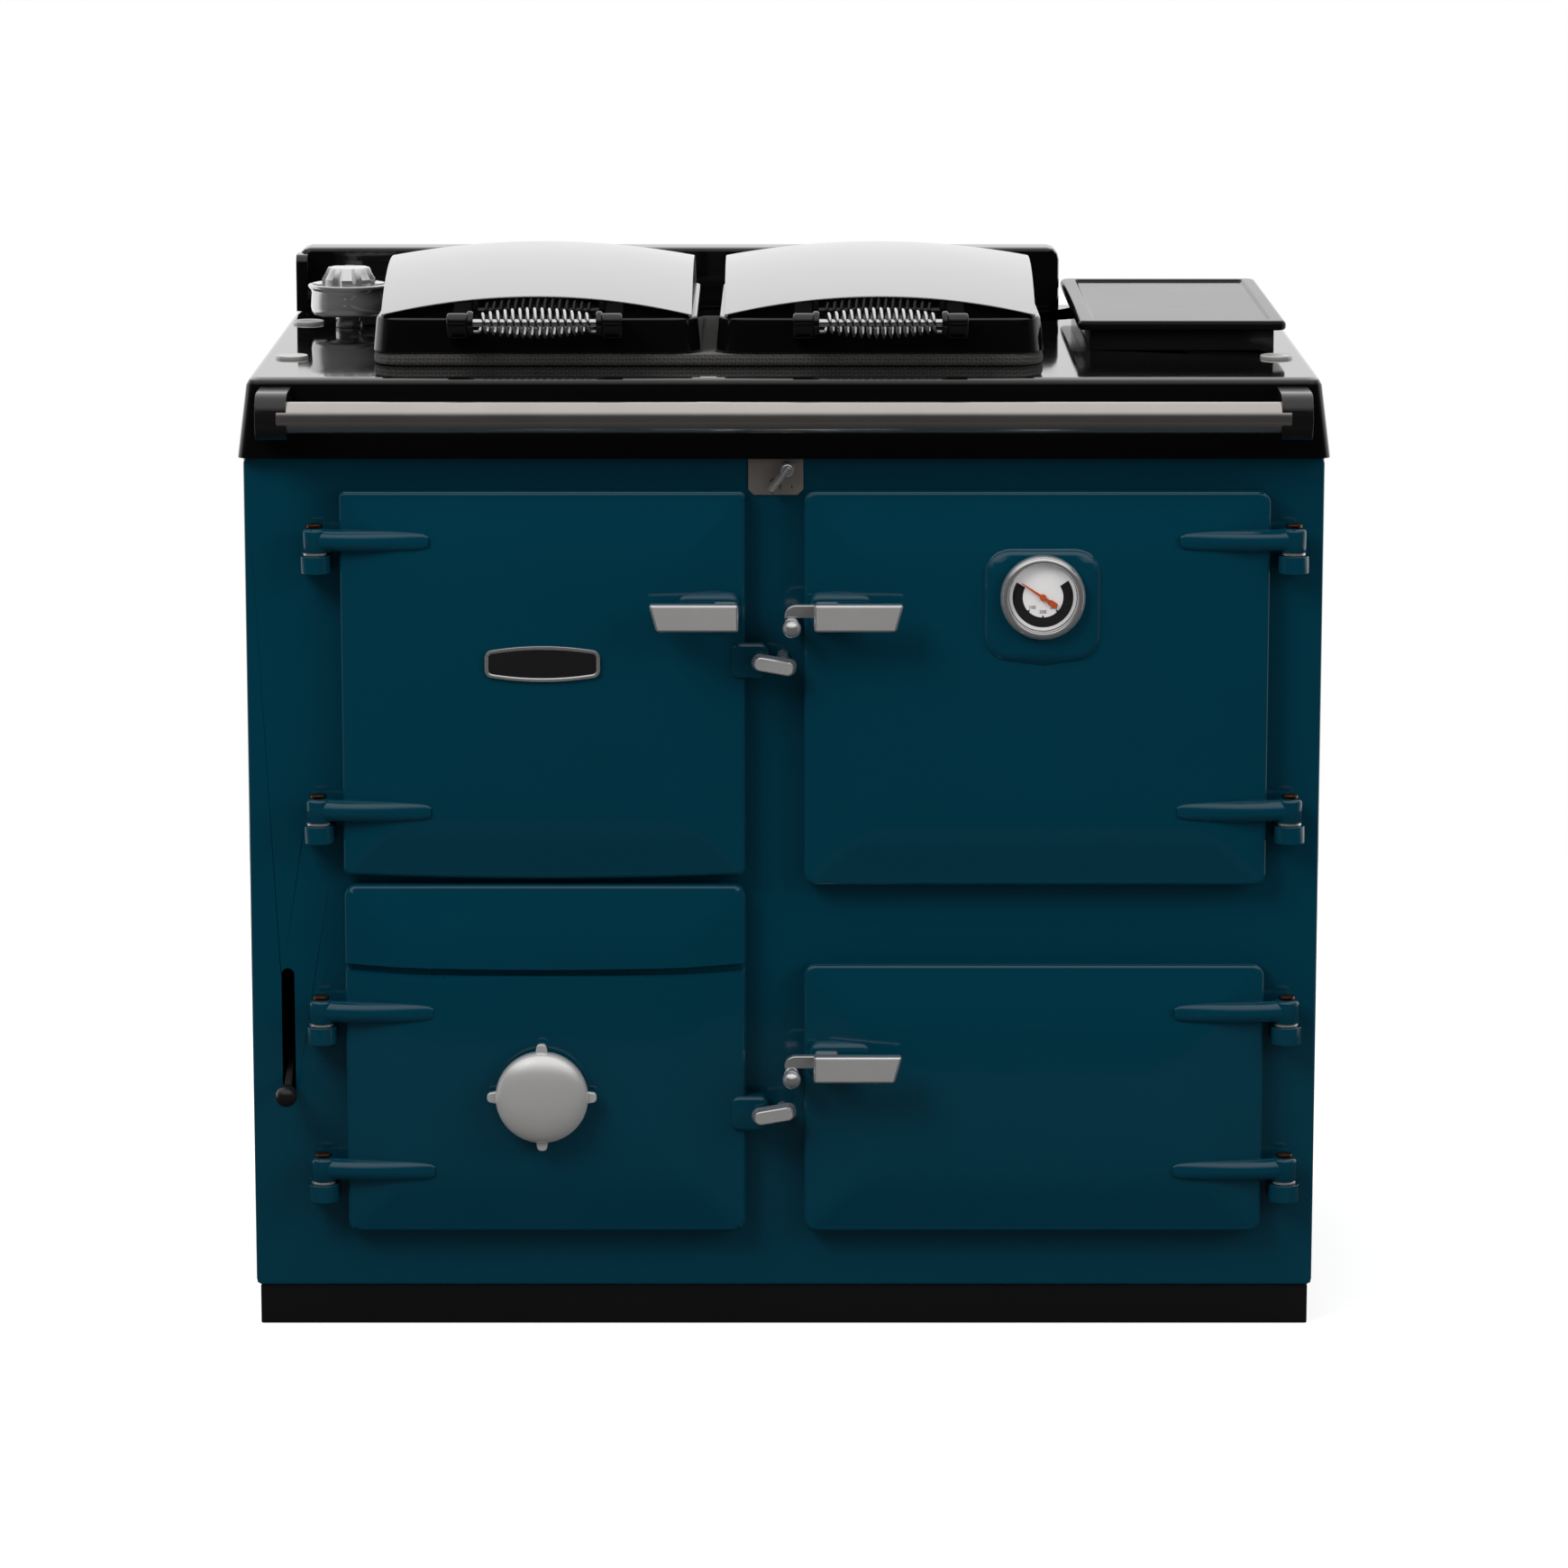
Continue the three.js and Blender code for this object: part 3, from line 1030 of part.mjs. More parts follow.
// Soft pad on a door's face, under a handle's foot.
function handlePad(edge, side, middleZ) {
  const near = edge + side * HANDLE_PAD_INSET;
  const x = [near, near + side * HANDLE_PAD_LENGTH].sort((a, b) => a - b);
  const z = [middleZ - HANDLE_PAD_HALF_HEIGHT, middleZ + HANDLE_PAD_HALF_HEIGHT];
  const foot = doorBack - DOOR_EDGE_PROUD + 4;
  return raisedPanel(x, z, 10, foot,
    [[0, 0], [2, 8], [7, 14.5], [11, 15.5]]);
}

// Lug that carries a door's latch, reaching out past its free edge.
function latchLug(height) {
  const x = [LEFT_DOOR_EDGE - 14, LEFT_DOOR_EDGE + LATCH_LUG_REACH];
  const z = [height - LATCH_LUG_HEIGHT / 2, height + LATCH_LUG_HEIGHT / 2];
  const lug = raisedPanel(x, z, 8, doorBack - 6,
    [[1, 0], [0, 1], [0, 15], [1, 17.5], [4, 19]]);
  return cut(lug, bore(LATCH_SPINDLE + RUN_GAP, "y", LATCH_FRONT - 1, doorBack + 1, [latchX, 0, height],
    SMALL_ROUND));
}

// Firebox door: bowed foot, handle pad and latch lug.
function makeFireboxDoor() {
  const door = DOORS.firebox;
  const pad = handlePad(LEFT_DOOR_EDGE, -1, upperHandleHeight);
  return part("firebox_door", withHinges(door, join(doorCasting(door), pad, latchLug(upperLatchHeight))),
    TEAL_ENAMEL);
}

// Ash door: a curved groove across it, the spin valve's bore and its ring of air holes.
function makeAshDoor() {
  const door = DOORS.ash;
  const [x0, x1] = [door.x[0] - 2, door.x[1] + 2];
  const steps = 10;
  const groove = (side) => Array.from({ length: steps + 1 }, (_, i) => {
    const t = i / steps;
    const drop = 4 * ASH_GROOVE_BOW * t * (1 - t);
    const half = side * ASH_GROOVE_WIDTH / 2;
    return [THREE.MathUtils.lerp(x0, x1, t), ASH_GROOVE_HEIGHT + ASH_GROOVE_BOW / 2 - drop + half];
  });
  const ring = (depth, widen) => [...groove(-widen), ...groove(widen).reverse()]
    .map(([x, z]) => new THREE.Vector3(x, doorFace - 1 + depth, z));
  const tool = loftStrip(ring(0, 1.2), ring(DOOR_PROUD - DOOR_EDGE_PROUD + ASH_GROOVE_DEPTH, 0.15));
  let body = cut(join(doorCasting(door), latchLug(LOWER_LATCH_HEIGHT)), tool,
    bore(SPIN_BUSH_RADIUS + RUN_GAP, "y", doorFace - 1, doorBack + 1, [SPIN_WHEEL_X, 0, SPIN_WHEEL_HEIGHT],
      ROUND));
  for (let i = 0; i < AIR_HOLE_COUNT; i += 1) {
    const angle = (i + 0.5) * 2 * Math.PI / AIR_HOLE_COUNT;
    body = cut(body, bar(AIR_HOLE_RADIUS, "y", doorFace - 1, doorBack + 1,
      [SPIN_WHEEL_X + AIR_HOLE_CIRCLE * Math.cos(angle), 0,
        SPIN_WHEEL_HEIGHT + AIR_HOLE_CIRCLE * Math.sin(angle)], COARSE_ROUND));
  }
  return part("ash_door", withHinges(door, body), TEAL_ENAMEL);
}

// Closed body between two long outlines whose two sides run in step.
function loftStrip(front, back) {
  const count = front.length;
  const half = count / 2;
  const corners = [...front, ...back].flatMap((corner) => [corner.x, corner.y, corner.z]);
  const faces = [];
  for (let i = 0; i < count; i += 1) {
    const j = (i + 1) % count;
    faces.push(i, j, count + j, i, count + j, count + i);
  }
  for (let i = 0; i + 1 < half; i += 1) {
    const [a, b, c, d] = [i, i + 1, count - 2 - i, count - 1 - i];
    faces.push(c, b, a, d, c, a);
    faces.push(count + a, count + b, count + c, count + a, count + c, count + d);
  }
  const geometry = new THREE.BufferGeometry();
  geometry.setAttribute("position", new THREE.BufferAttribute(new Float32Array(corners), 3));
  geometry.setIndex(faces);
  return solid(geometry);
}

// Main oven door: handle pad and the gauge's boss with its curved foot.
function makeMainOvenDoor() {
  const door = DOORS.mainOven;
  const pad = handlePad(RIGHT_DOOR_EDGE, 1, upperHandleHeight);
  const boss = raisedPanel([GAUGE_X - GAUGE_BOSS_REACH, GAUGE_X + GAUGE_BOSS_REACH],
    [gaugeHeight - GAUGE_BOSS_BELOW, gaugeHeight + GAUGE_BOSS_ABOVE], GAUGE_BOSS_RADIUS,
    doorBack - DOOR_EDGE_PROUD, [[0, 0], [2, 9], [6, 13.5],
      [11, DOOR_PROUD + GAUGE_BOSS_RISE - DOOR_EDGE_PROUD]], GAUGE_BOSS_BOW);
  const well = bore(GAUGE_DIAL_RADIUS + 4 + RUN_GAP, "y", doorFace - 10, doorBack - 12,
    [GAUGE_X, 0, gaugeHeight], WIDE_ROUND);
  return part("main_oven_door", withHinges(door, cut(join(doorCasting(door), pad, boss), well)),
    TEAL_ENAMEL);
}

function makeLowerOvenDoor() {
  const door = DOORS.lowerOven;
  const pad = handlePad(RIGHT_DOOR_EDGE, 1, LOWER_HANDLE_HEIGHT);
  return part("lower_oven_door", withHinges(door, join(doorCasting(door), pad)), TEAL_ENAMEL);
}

// Dished plate on the back of a door, which swings out of the opening with it.
function makeLiner(name, door, hole = null) {
  const { x, z } = throat(door, LINER_GAP);
  const front = doorBack + SEAT_GAP;
  const plate = raisedPanel(x, z, THROAT_RADIUS, front, [[0, 0], [0, -LINER_DEPTH + 4],
    [4, -LINER_DEPTH], [22, -LINER_DEPTH], [26, -LINER_DEPTH + 3]]);
  return part(name, hole ? cut(plate, hole) : plate, SHEET_STEEL);
}

// The spin valve's way through the ash door's liner.
function spinBore() {
  return bar(AIR_HOLE_CIRCLE + AIR_HOLE_RADIUS + 3, "y", doorBack - 1, doorBack + LINER_DEPTH + 2,
    [SPIN_WHEEL_X, 0, SPIN_WHEEL_HEIGHT], ROUND);
}

// Trapezoid chrome bar whose lower edge is shorter at the `slant` end, on a foot by the door's edge.
function makeHandle(name, edgeX, slant, height, hooked) {
  const x0 = slant > 0 ? edgeX + 9 : edgeX - 6 - HANDLE_LENGTH;
  const x1 = x0 + HANDLE_LENGTH;
  const half = HANDLE_HEIGHT / 2;
  const ring = (inner, y) => {
    const low = [x0 + inner + (slant < 0 ? HANDLE_SLANT : 0), x1 - inner - (slant > 0 ? HANDLE_SLANT : 0)];
    return [[low[0], height - half + inner], [low[1], height - half + inner],
      [x1 - inner, height + half - inner], [x0 + inner, height + half - inner]]
      .map(([x, z]) => new THREE.Vector3(x, y, z));
  };
  const grip = loft([ring(3, HANDLE_BACK), ring(0.8, HANDLE_BACK - 2.5), ring(0, HANDLE_BACK - 6),
    ring(0, HANDLE_FRONT + 3), ring(1.6, HANDLE_FRONT + 0.6), ring(3.2, HANDLE_FRONT)]);
  const footX = slant > 0 ? [x0 + 3, x0 + 21] : [x1 - 21, x1 - 3];
  const padTop = doorBack - DOOR_EDGE_PROUD + 4 - 15.5;
  const foot = raisedPanel(footX, inset([height - half, height + half], 4), 4, padTop - SEAT_GAP,
    [[-2, 0], [0, 2], [0, padTop - HANDLE_BACK]]);
  if (!hooked) return part(name, join(grip, foot), CHROME);
  const hookFoot = height - BOBBIN_DROP + BOBBIN_RADIUS + SEAT_GAP;
  const middle = bobbinX + 4;
  const shape = new THREE.Shape();
  shape.moveTo(x0 + 10, hookFoot);
  shape.lineTo(x0 + 10, height + half - 4);
  shape.lineTo(middle, height + half - 2);
  shape.absarc(middle, height + half - 2 - HOOK_RADIUS + 1, HOOK_RADIUS - 1, Math.PI / 2, Math.PI);
  shape.lineTo(middle - HOOK_RADIUS + 1, hookFoot);
  shape.closePath();
  return part(name, join(grip, foot, prismY(shape, HOOK_FRONT - 4, HOOK_FRONT + HOOK_THICKNESS, 5)),
    CHROME);
}

// Polished bobbin on its stud: ball in front, waist, and a small flange behind.
function makeBobbin(name, height) {
  const back = HOOK_FRONT + HOOK_THICKNESS + 3.5;
  const ball = OVERALL_FRONT + BOBBIN_RADIUS + 0.5;
  const arc = Array.from({ length: 5 }, (_, i) => {
    const angle = Math.PI * (0.25 + 0.75 * i / 4);
    return [BOBBIN_RADIUS * Math.sin(angle), ball + BOBBIN_RADIUS * Math.cos(angle)];
  });
  arc[4][0] = 0;
  const hole = (BOBBIN_STUD + RUN_GAP) / Math.cos(Math.PI / SMALL_ROUND);
  const end = OVERALL_FRONT + 9 - SEAT_GAP;
  return part(name, turned([[0, end], [hole, end], [hole, back], [7, back], [7, back - 2.5],
    [BOBBIN_WAIST, back - 4], [BOBBIN_WAIST, ball + 9], ...arc],
  "y", [bobbinX, 0, height], SMALL_ROUND), CHROME);
}

// Wing latch: hub, tapered wing and the spindle through its lug.
function makeLatch(name, height, tilt) {
  const wing = new THREE.Shape();
  wing.absarc(0, 0, LATCH_HUB_RADIUS, Math.PI / 2, 1.5 * Math.PI);
  wing.lineTo(LATCH_WING - 6, -LATCH_WING_HEIGHT / 2);
  wing.quadraticCurveTo(LATCH_WING, -LATCH_WING_HEIGHT / 2, LATCH_WING, 0);
  wing.quadraticCurveTo(LATCH_WING, LATCH_WING_HEIGHT / 2 + 1, LATCH_WING - 8, LATCH_WING_HEIGHT / 2 + 1);
  wing.closePath();
  const blade = prismY(wing, LATCH_FRONT + 2, LATCH_BACK, 4);
  const crest = prismY(wing, LATCH_FRONT, LATCH_FRONT + 3, 4).translate([-5, 0, 0]).scale([0.82, 1, 0.72])
    .translate([6, 0, 0]);
  const spindle = bar(LATCH_SPINDLE, "y", LATCH_BACK - 1, doorBack - 4, [0, 0, 0], SMALL_ROUND);
  const collar = bar(LATCH_SPINDLE + 2.5, "y", LATCH_BACK - 1, latchLugFace() - SEAT_GAP, [0, 0, 0],
    SMALL_ROUND);
  return part(name, join(blade, crest, spindle, collar).rotate([0, -tilt, 0]).translate([latchX, 0, height]),
    CHROME);
}

function latchLugFace() {
  return doorBack - 6 - 19;
}

// ---------------------------------------------------------------- fittings on the doors
// Blank barrel-shaped plate with a raised rim.
function makeBadge() {
  const middleX = (leftDoor[0] + leftDoor[1]) / 2;
  const back = doorFace - SEAT_GAP;
  const profile = [[1, 0], [0, 1], [0, BADGE_THICKNESS - 1], [1.2, BADGE_THICKNESS],
    [3.4, BADGE_THICKNESS], [4.2, BADGE_THICKNESS - 0.8]];
  const rings = profile.map(([inset, rise]) => badgeRing(inset)
    .map(([u, v]) => new THREE.Vector3(middleX + u, back - rise, badgeHeight + v)));
  return part("badge_plate", loft(rings), CHROME);
}

// Outline of the badge, drawn in by an inset: rounded corners and bowed long edges.
function badgeRing(inset) {
  const swell = (BADGE_HEIGHT - BADGE_END_HEIGHT) / 2;
  const half = BADGE_LENGTH / 2 - inset;
  const ring = panelRing([-half, half], [-BADGE_END_HEIGHT / 2 + inset, BADGE_END_HEIGHT / 2 - inset],
    BADGE_CORNER - Math.min(inset, BADGE_CORNER - 1), 0);
  const edge = BADGE_LENGTH / 2 - BADGE_CORNER;
  const along = Array.from({ length: BADGE_STEPS - 1 }, (_, i) => edge - 2 * edge * (i + 1) / BADGE_STEPS);
  const corner = (quarter) => ring.slice(quarter * (CORNER_STEPS + 1), (quarter + 1) * (CORNER_STEPS + 1));
  const level = BADGE_END_HEIGHT / 2 - inset;
  const outline = [...corner(0), ...along.map((u) => [u, level]), ...corner(1), ...corner(2),
    ...along.map((u) => [-u, -level]), ...corner(3)];
  return outline.map(([u, v]) => [u, v + Math.sign(v) * swell * Math.max(1 - (u / edge) ** 2, 0)]);
}

// Gauge case: cup in the door's well, bezel with a sloping inner wall, dial face and centre post.
function makeGaugeCase() {
  const face = doorFace - GAUGE_BOSS_RISE;
  const seat = face - SEAT_GAP;
  const dial = seat - 2;
  const back = doorBack - 12 - SEAT_GAP;
  return part("gauge_case", turned([[0, back], [GAUGE_DIAL_RADIUS + 4, back], [GAUGE_DIAL_RADIUS + 4, seat],
    [GAUGE_BEZEL_RADIUS, seat], [GAUGE_BEZEL_RADIUS, seat - 5], [GAUGE_BEZEL_RADIUS - 2.5, seat - 9.5],
    [GAUGE_BEZEL_RADIUS - 6, seat - 10.5], [GAUGE_DIAL_RADIUS + 1, seat - 8.5],
    [GAUGE_DIAL_RADIUS + 0.5, dial], [3.5, dial], [3.5, dial - 1], [0, dial - 1]],
  "y", [GAUGE_X, 0, gaugeHeight], WIDE_ROUND), CHROME);
}

function makeGaugeNeedle() {
  const dial = doorFace - GAUGE_BOSS_RISE - SEAT_GAP - 2;
  const reach = GAUGE_DIAL_RADIUS - 6;
  const shape = outline([[-1.6, 0], [-1.1, -7], [-2.8, -10], [-2.2, -15], [2.2, -15], [2.8, -10], [1.1, -7],
    [1.6, 0], [0.5, reach], [-0.5, reach]]);
  const hub = bar(3.2, "y", dial - 3, dial - 1.3, [0, 0, 0], SMALL_ROUND);
  return part("gauge_needle", join(prismY(shape, dial - 2.6, dial - 1.6), hub)
    .rotate([0, -GAUGE_REST, 0]).translate([GAUGE_X, 0, gaugeHeight]), NEEDLE_RED);
}

function makeGaugeGlass() {
  const seat = doorFace - GAUGE_BOSS_RISE - SEAT_GAP;
  return part("gauge_glass", bar(GAUGE_DIAL_RADIUS + 0.4, "y", seat - 8, seat - 6.4,
    [GAUGE_X, 0, gaugeHeight], WIDE_ROUND), CLEAR_GLASS);
}

// Domed spin wheel with four lugs, bored for its bush.
function makeSpinWheel() {
  const front = SPIN_WHEEL_BACK - SPIN_WHEEL_DEPTH;
  const dome = Array.from({ length: 5 }, (_, i) => {
    const angle = i / 4 * Math.PI / 2;
    return [SPIN_WHEEL_RADIUS * Math.cos(angle), SPIN_WHEEL_BACK - 5
      - (SPIN_WHEEL_DEPTH - 5) * Math.sin(angle)];
  });
  dome[4][0] = 0;
  const hole = (SPIN_STEM_RADIUS + RUN_GAP) / Math.cos(Math.PI / WIDE_ROUND);
  const bottom = front + 9;
  let body = turned([[0, bottom], [hole, bottom], [hole, SPIN_WHEEL_BACK], [16, SPIN_WHEEL_BACK],
    [20, SPIN_WHEEL_BACK - 4], [SPIN_WHEEL_RADIUS - 5, SPIN_WHEEL_BACK - 4],
    [SPIN_WHEEL_RADIUS - 3, SPIN_WHEEL_BACK], [SPIN_WHEEL_RADIUS, SPIN_WHEEL_BACK], ...dome],
  "y", [0, 0, 0], WIDE_ROUND);
  for (let i = 0; i < 4; i += 1) {
    const lug = outline([[-7, SPIN_WHEEL_RADIUS - 6], [7, SPIN_WHEEL_RADIUS - 6], [5, SPIN_WHEEL_LUG - 2],
      [2.5, SPIN_WHEEL_LUG], [-2.5, SPIN_WHEEL_LUG], [-5, SPIN_WHEEL_LUG - 2]]);
    body = join(body, prismY(lug, SPIN_WHEEL_BACK - 6, SPIN_WHEEL_BACK).rotate([0, 90 * i, 0]));
  }
  return part("spin_wheel", body.translate([SPIN_WHEEL_X, 0, SPIN_WHEEL_HEIGHT]), CHROME);
}

// Bush that slides in the ash door, with the stem the wheel turns on and a valve disc inside.
function makeSpinBush() {
  const front = SPIN_WHEEL_BACK - SPIN_WHEEL_DEPTH + 9 + SEAT_GAP;
  const shoulder = SPIN_WHEEL_BACK + SEAT_GAP;
  return part("spin_bush", turned([[0, front], [SPIN_STEM_RADIUS, front], [SPIN_STEM_RADIUS, shoulder],
    [SPIN_BUSH_RADIUS, shoulder], [SPIN_BUSH_RADIUS, doorBack + LINER_DEPTH], [0, doorBack + LINER_DEPTH]],
  "y", [SPIN_WHEEL_X, 0, SPIN_WHEEL_HEIGHT]), BRUSHED_STEEL);
}

// ---------------------------------------------------------------- lever and damper
// Riddling lever: flat bar on the firebox's stud, through the slot to its knob.
function makeRiddlingLever() {
  const t = LEVER_THICKNESS / 2;
  const d = LEVER_DEPTH / 2;
  const hub = 11;
  const shape = new THREE.Shape();
  shape.moveTo(-LEVER_LENGTH + 14, -d * 0.6);
  shape.lineTo(-hub, -d);
  shape.absarc(0, 0, hub, Math.PI + 0.6, 3 * Math.PI - 0.6);
  shape.lineTo(-LEVER_LENGTH + 14, d * 0.6);
  shape.closePath();
  const flat = cut(prismX(shape, -t, t, 7), bore(LEVER_STUD + RUN_GAP, "x", -t - 1, t + 1, [0, 0, 0],
    SMALL_ROUND));
  const k = LEVER_KNOB_RADIUS;
  const tip = -LEVER_LENGTH - 12;
  const knob = turned([[0, tip], [k * 0.6, tip + 1.5], [k, tip + 7], [k, tip + 13], [k * 0.55, tip + 22],
    [3.2, tip + 28], [0, tip + 28]], "y", [0, 0, 0], ROUND);
  return part("riddling_lever", join(flat, knob).rotate([LEVER_REST, 0, 0])
    .translate([slotX, LEVER_PIVOT_Y, LEVER_PIVOT_Z]), BLACK_KNOB);
}

// Damper: pointer knob in front of the control plate, spindle, and the flap inside.
function makeDamper() {
  const back = doorBack - CONTROL_PLATE_THICKNESS - SEAT_GAP;
  const hub = turned([[0, back - 14], [DAMPER_HUB - 2.5, back - 14], [DAMPER_HUB - 1, back - 12],
    [DAMPER_HUB, back], [0, back]], "y", [0, 0, 0], ROUND);
  const ring = (half, reach, y) => [[-half, -reach], [half, -reach], [half + 2, 0], [half, 5], [-half, 5],
    [-half - 2, 0]].map(([x, z]) => new THREE.Vector3(x, y, z));
  const pointer = loft([ring(4, DAMPER_POINTER, back - 3), ring(3.6, DAMPER_POINTER, back - 8),
    ring(1.8, DAMPER_POINTER - 3, back - 14), ring(1.2, DAMPER_POINTER - 6, back - 16)]);
  const spindle = bar(DAMPER_SPINDLE, "y", back - 1, plateBack + 26, [0, 0, 0], SMALL_ROUND);
  const flap = block(-15, 15, plateBack + 8, plateBack + 10.5, -20, 8);
  return part("damper_knob", join(hub, pointer, spindle, flap).rotate([0, DAMPER_TURN, 0])
    .translate([DAMPER_X, 0, damperHeight]), CHROME);
}

// ---------------------------------------------------------------- lids
// Extent of lid `index`, 0 on the left.
function lidSpan(index) {
  return index === 0 ? [sealBox[0], sealBox[0] + lidWidth] : [sealBox[1] - lidWidth, sealBox[1]];
}

// Height of the dome's outer surface above the lid base's top, at u and v from -1 to 1.
function domeHeight(u, v) {
  const edge = DOME_CORNER_RISE + DOME_EDGE_ARCH * (1 - u * u);
  const crown = DOME_SIDE_CROWN + (DOME_CENTRE_CROWN - DOME_SIDE_CROWN) * (1 - u * u);
  return edge + (crown - edge) * (1 - v * v);
}

// Solid under the dome's surface, lowered by `drop`, over part of the lid, standing at `foot`.
function domeSolid(span, drop, foot, insetX, insetY, steps = DOME_STEPS) {
  const base = lidFoot + LID_BASE_HEIGHT;
  const [cx, cy] = [(span[0] + span[1]) / 2, (sealBox[2] + sealBox[3]) / 2];
  const [hx, hy] = [lidWidth / 2 - DOME_INSET - LID_TAPER, SEAL_DEPTH / 2 - DOME_INSET - LID_TAPER];
  const n = steps;
  const corners = [];
  const faces = [];
  for (const lower of [true, false]) {
    for (let j = 0; j <= n; j += 1) {
      for (let i = 0; i <= n; i += 1) {
        const [x, y] = [(2 * i / n - 1) * (hx - insetX), (2 * j / n - 1) * (hy - insetY)];
        const [u, v] = [Math.max(-1, Math.min(1, x / hx)), Math.max(-1, Math.min(1, y / hy))];
        const z = lower ? foot : Math.max(base + domeHeight(u, v) - drop, foot + 0.4);
        corners.push(cx + x, cy + y, z);
      }
    }
  }
  const at = (i, j, layer) => layer * (n + 1) * (n + 1) + j * (n + 1) + i;
  for (let j = 0; j < n; j += 1) {
    for (let i = 0; i < n; i += 1) {
      for (const layer of [0, 1]) {
        const [a, b, c, d] = [at(i, j, layer), at(i + 1, j, layer), at(i + 1, j + 1, layer),
          at(i, j + 1, layer)];
        if (layer === 1) faces.push(a, b, c, a, c, d);
        else faces.push(a, c, b, a, d, c);
      }
    }
  }
  for (let k = 0; k < n; k += 1) {
    for (const [p, q] of [[[k, 0], [k + 1, 0]], [[n, k], [n, k + 1]], [[n - k, n], [n - k - 1, n]],
      [[0, n - k], [0, n - k - 1]]]) {
      faces.push(at(...p, 0), at(...q, 0), at(...q, 1), at(...p, 0), at(...q, 1), at(...p, 1));
    }
  }
  const geometry = new THREE.BufferGeometry();
  geometry.setAttribute("position", new THREE.BufferAttribute(new Float32Array(corners), 3));
  geometry.setIndex(faces);
  return solid(geometry);
}

// Polished dome: a sheet that arches both ways, with a skirt down each side.
function makeDome(name, span) {
  const foot = lidFoot + LID_BASE_HEIGHT + SEAT_GAP;
  const t = DOME_SHEET;
  return part(name, cut(domeSolid(span, 0, foot, 0, 0), domeSolid(span, t, foot - 2, t, -5)), CHROME);
}

// Handle axis of a lid, and the inner faces of its two mounts.
function coilPlace(span) {
  const length = COIL_TURNS * COIL_PITCH + 2 * COIL_LEAD;
  const middle = (span[0] + span[1]) / 2;
  return { y: SEAL_FRONT - COIL_OUT, z: lidFoot + COIL_RISE, x: [middle - length / 2, middle + length / 2] };
}

// Cast lid base: tray with a recess for the insulation, the dome's core, handle mounts and knuckles.
function makeLidBase(name, span) {
  const y = [sealBox[2], sealBox[3]];
  const top = LID_BASE_HEIGHT;
  let body = raisedSlab(span, y, LID_CORNER, lidFoot, [[0, 0], [0, 6], [1.2, 8],
    [LID_TAPER, top - 3], [LID_TAPER + 3, top]]);
  body = cut(body, prismZ(roundedOutline(...inset(span, LID_RIM), ...inset(y, LID_RIM), 14), lidFoot - 1,
    lidFoot + LID_RECESS));
  const core = domeSolid(span, DOME_SHEET + 1.2, lidFoot + top - 1, DOME_SHEET + 0.5, CORE_SETBACK,
    CORE_STEPS);
  body = join(body, core);
  const place = coilPlace(span);
  for (const [x, inward] of [[place.x[0], -1], [place.x[1], 1]]) {
    body = join(body, coilMount(x, inward, place));
  }
  body = join(body, bar(COIL_ROD, "x", place.x[0] - 2, place.x[1] + 2, [0, place.y, place.z], SMALL_ROUND));
  for (const x of lidHingePlaces().filter((at) => at > span[0] && at < span[1])) {
    body = join(body, knuckle(x, y[1]));
  }
  for (const x of lidHingePlaces().filter((at) => at > span[0] && at < span[1])) {
    body = cut(body, bore(LID_PIN + RUN_GAP, "x", x - LID_KNUCKLE_LENGTH, x + LID_KNUCKLE_LENGTH,
      [0, lidAxisY, lidAxisZ], SMALL_ROUND));
  }
  return part(name, body, BLACK_ENAMEL);
}

// Stubby cast mount with a thin collar that the wire enters.
function coilMount(x, outward, place) {
  const far = x + outward * COIL_MOUNT;
  const [x0, x1] = [Math.min(x + outward * COIL_COLLAR, far), Math.max(x + outward * COIL_COLLAR, far)];
  const r = COIL_MOUNT_RADIUS;
  const base = lidFoot + 9;
  const shape = new THREE.Shape();
  shape.moveTo(sealBox[2] + LID_TAPER + 5, base);
  shape.lineTo(sealBox[2] + LID_TAPER + 5, place.z - 1);
  shape.lineTo(place.y + 3, place.z + r);
  shape.absarc(place.y, place.z, r, Math.PI / 2, 1.25 * Math.PI);
  shape.closePath();
  const collar = [Math.min(x, x + outward * (COIL_COLLAR + 1)), Math.max(x, x + outward * (COIL_COLLAR + 1))];
  return join(prismX(shape, x0, x1, 5), bar(r - 1, "x", ...collar, [0, place.y, place.z], ROUND));
}

// Hinge knuckle behind a lid, between the top plate's ears.
function knuckle(x, back) {
  const half = LID_KNUCKLE_LENGTH / 2;
  const shape = new THREE.Shape();
  shape.moveTo(back - 8, lidFoot + 2);
  shape.lineTo(lidAxisY, lidAxisZ - LID_KNUCKLE);
  shape.absarc(lidAxisY, lidAxisZ, LID_KNUCKLE, -Math.PI / 2, Math.PI / 2);
  shape.lineTo(back - 8, lidFoot + 24);
  shape.closePath();
  return prismX(shape, x - half, x + half, 4);
}

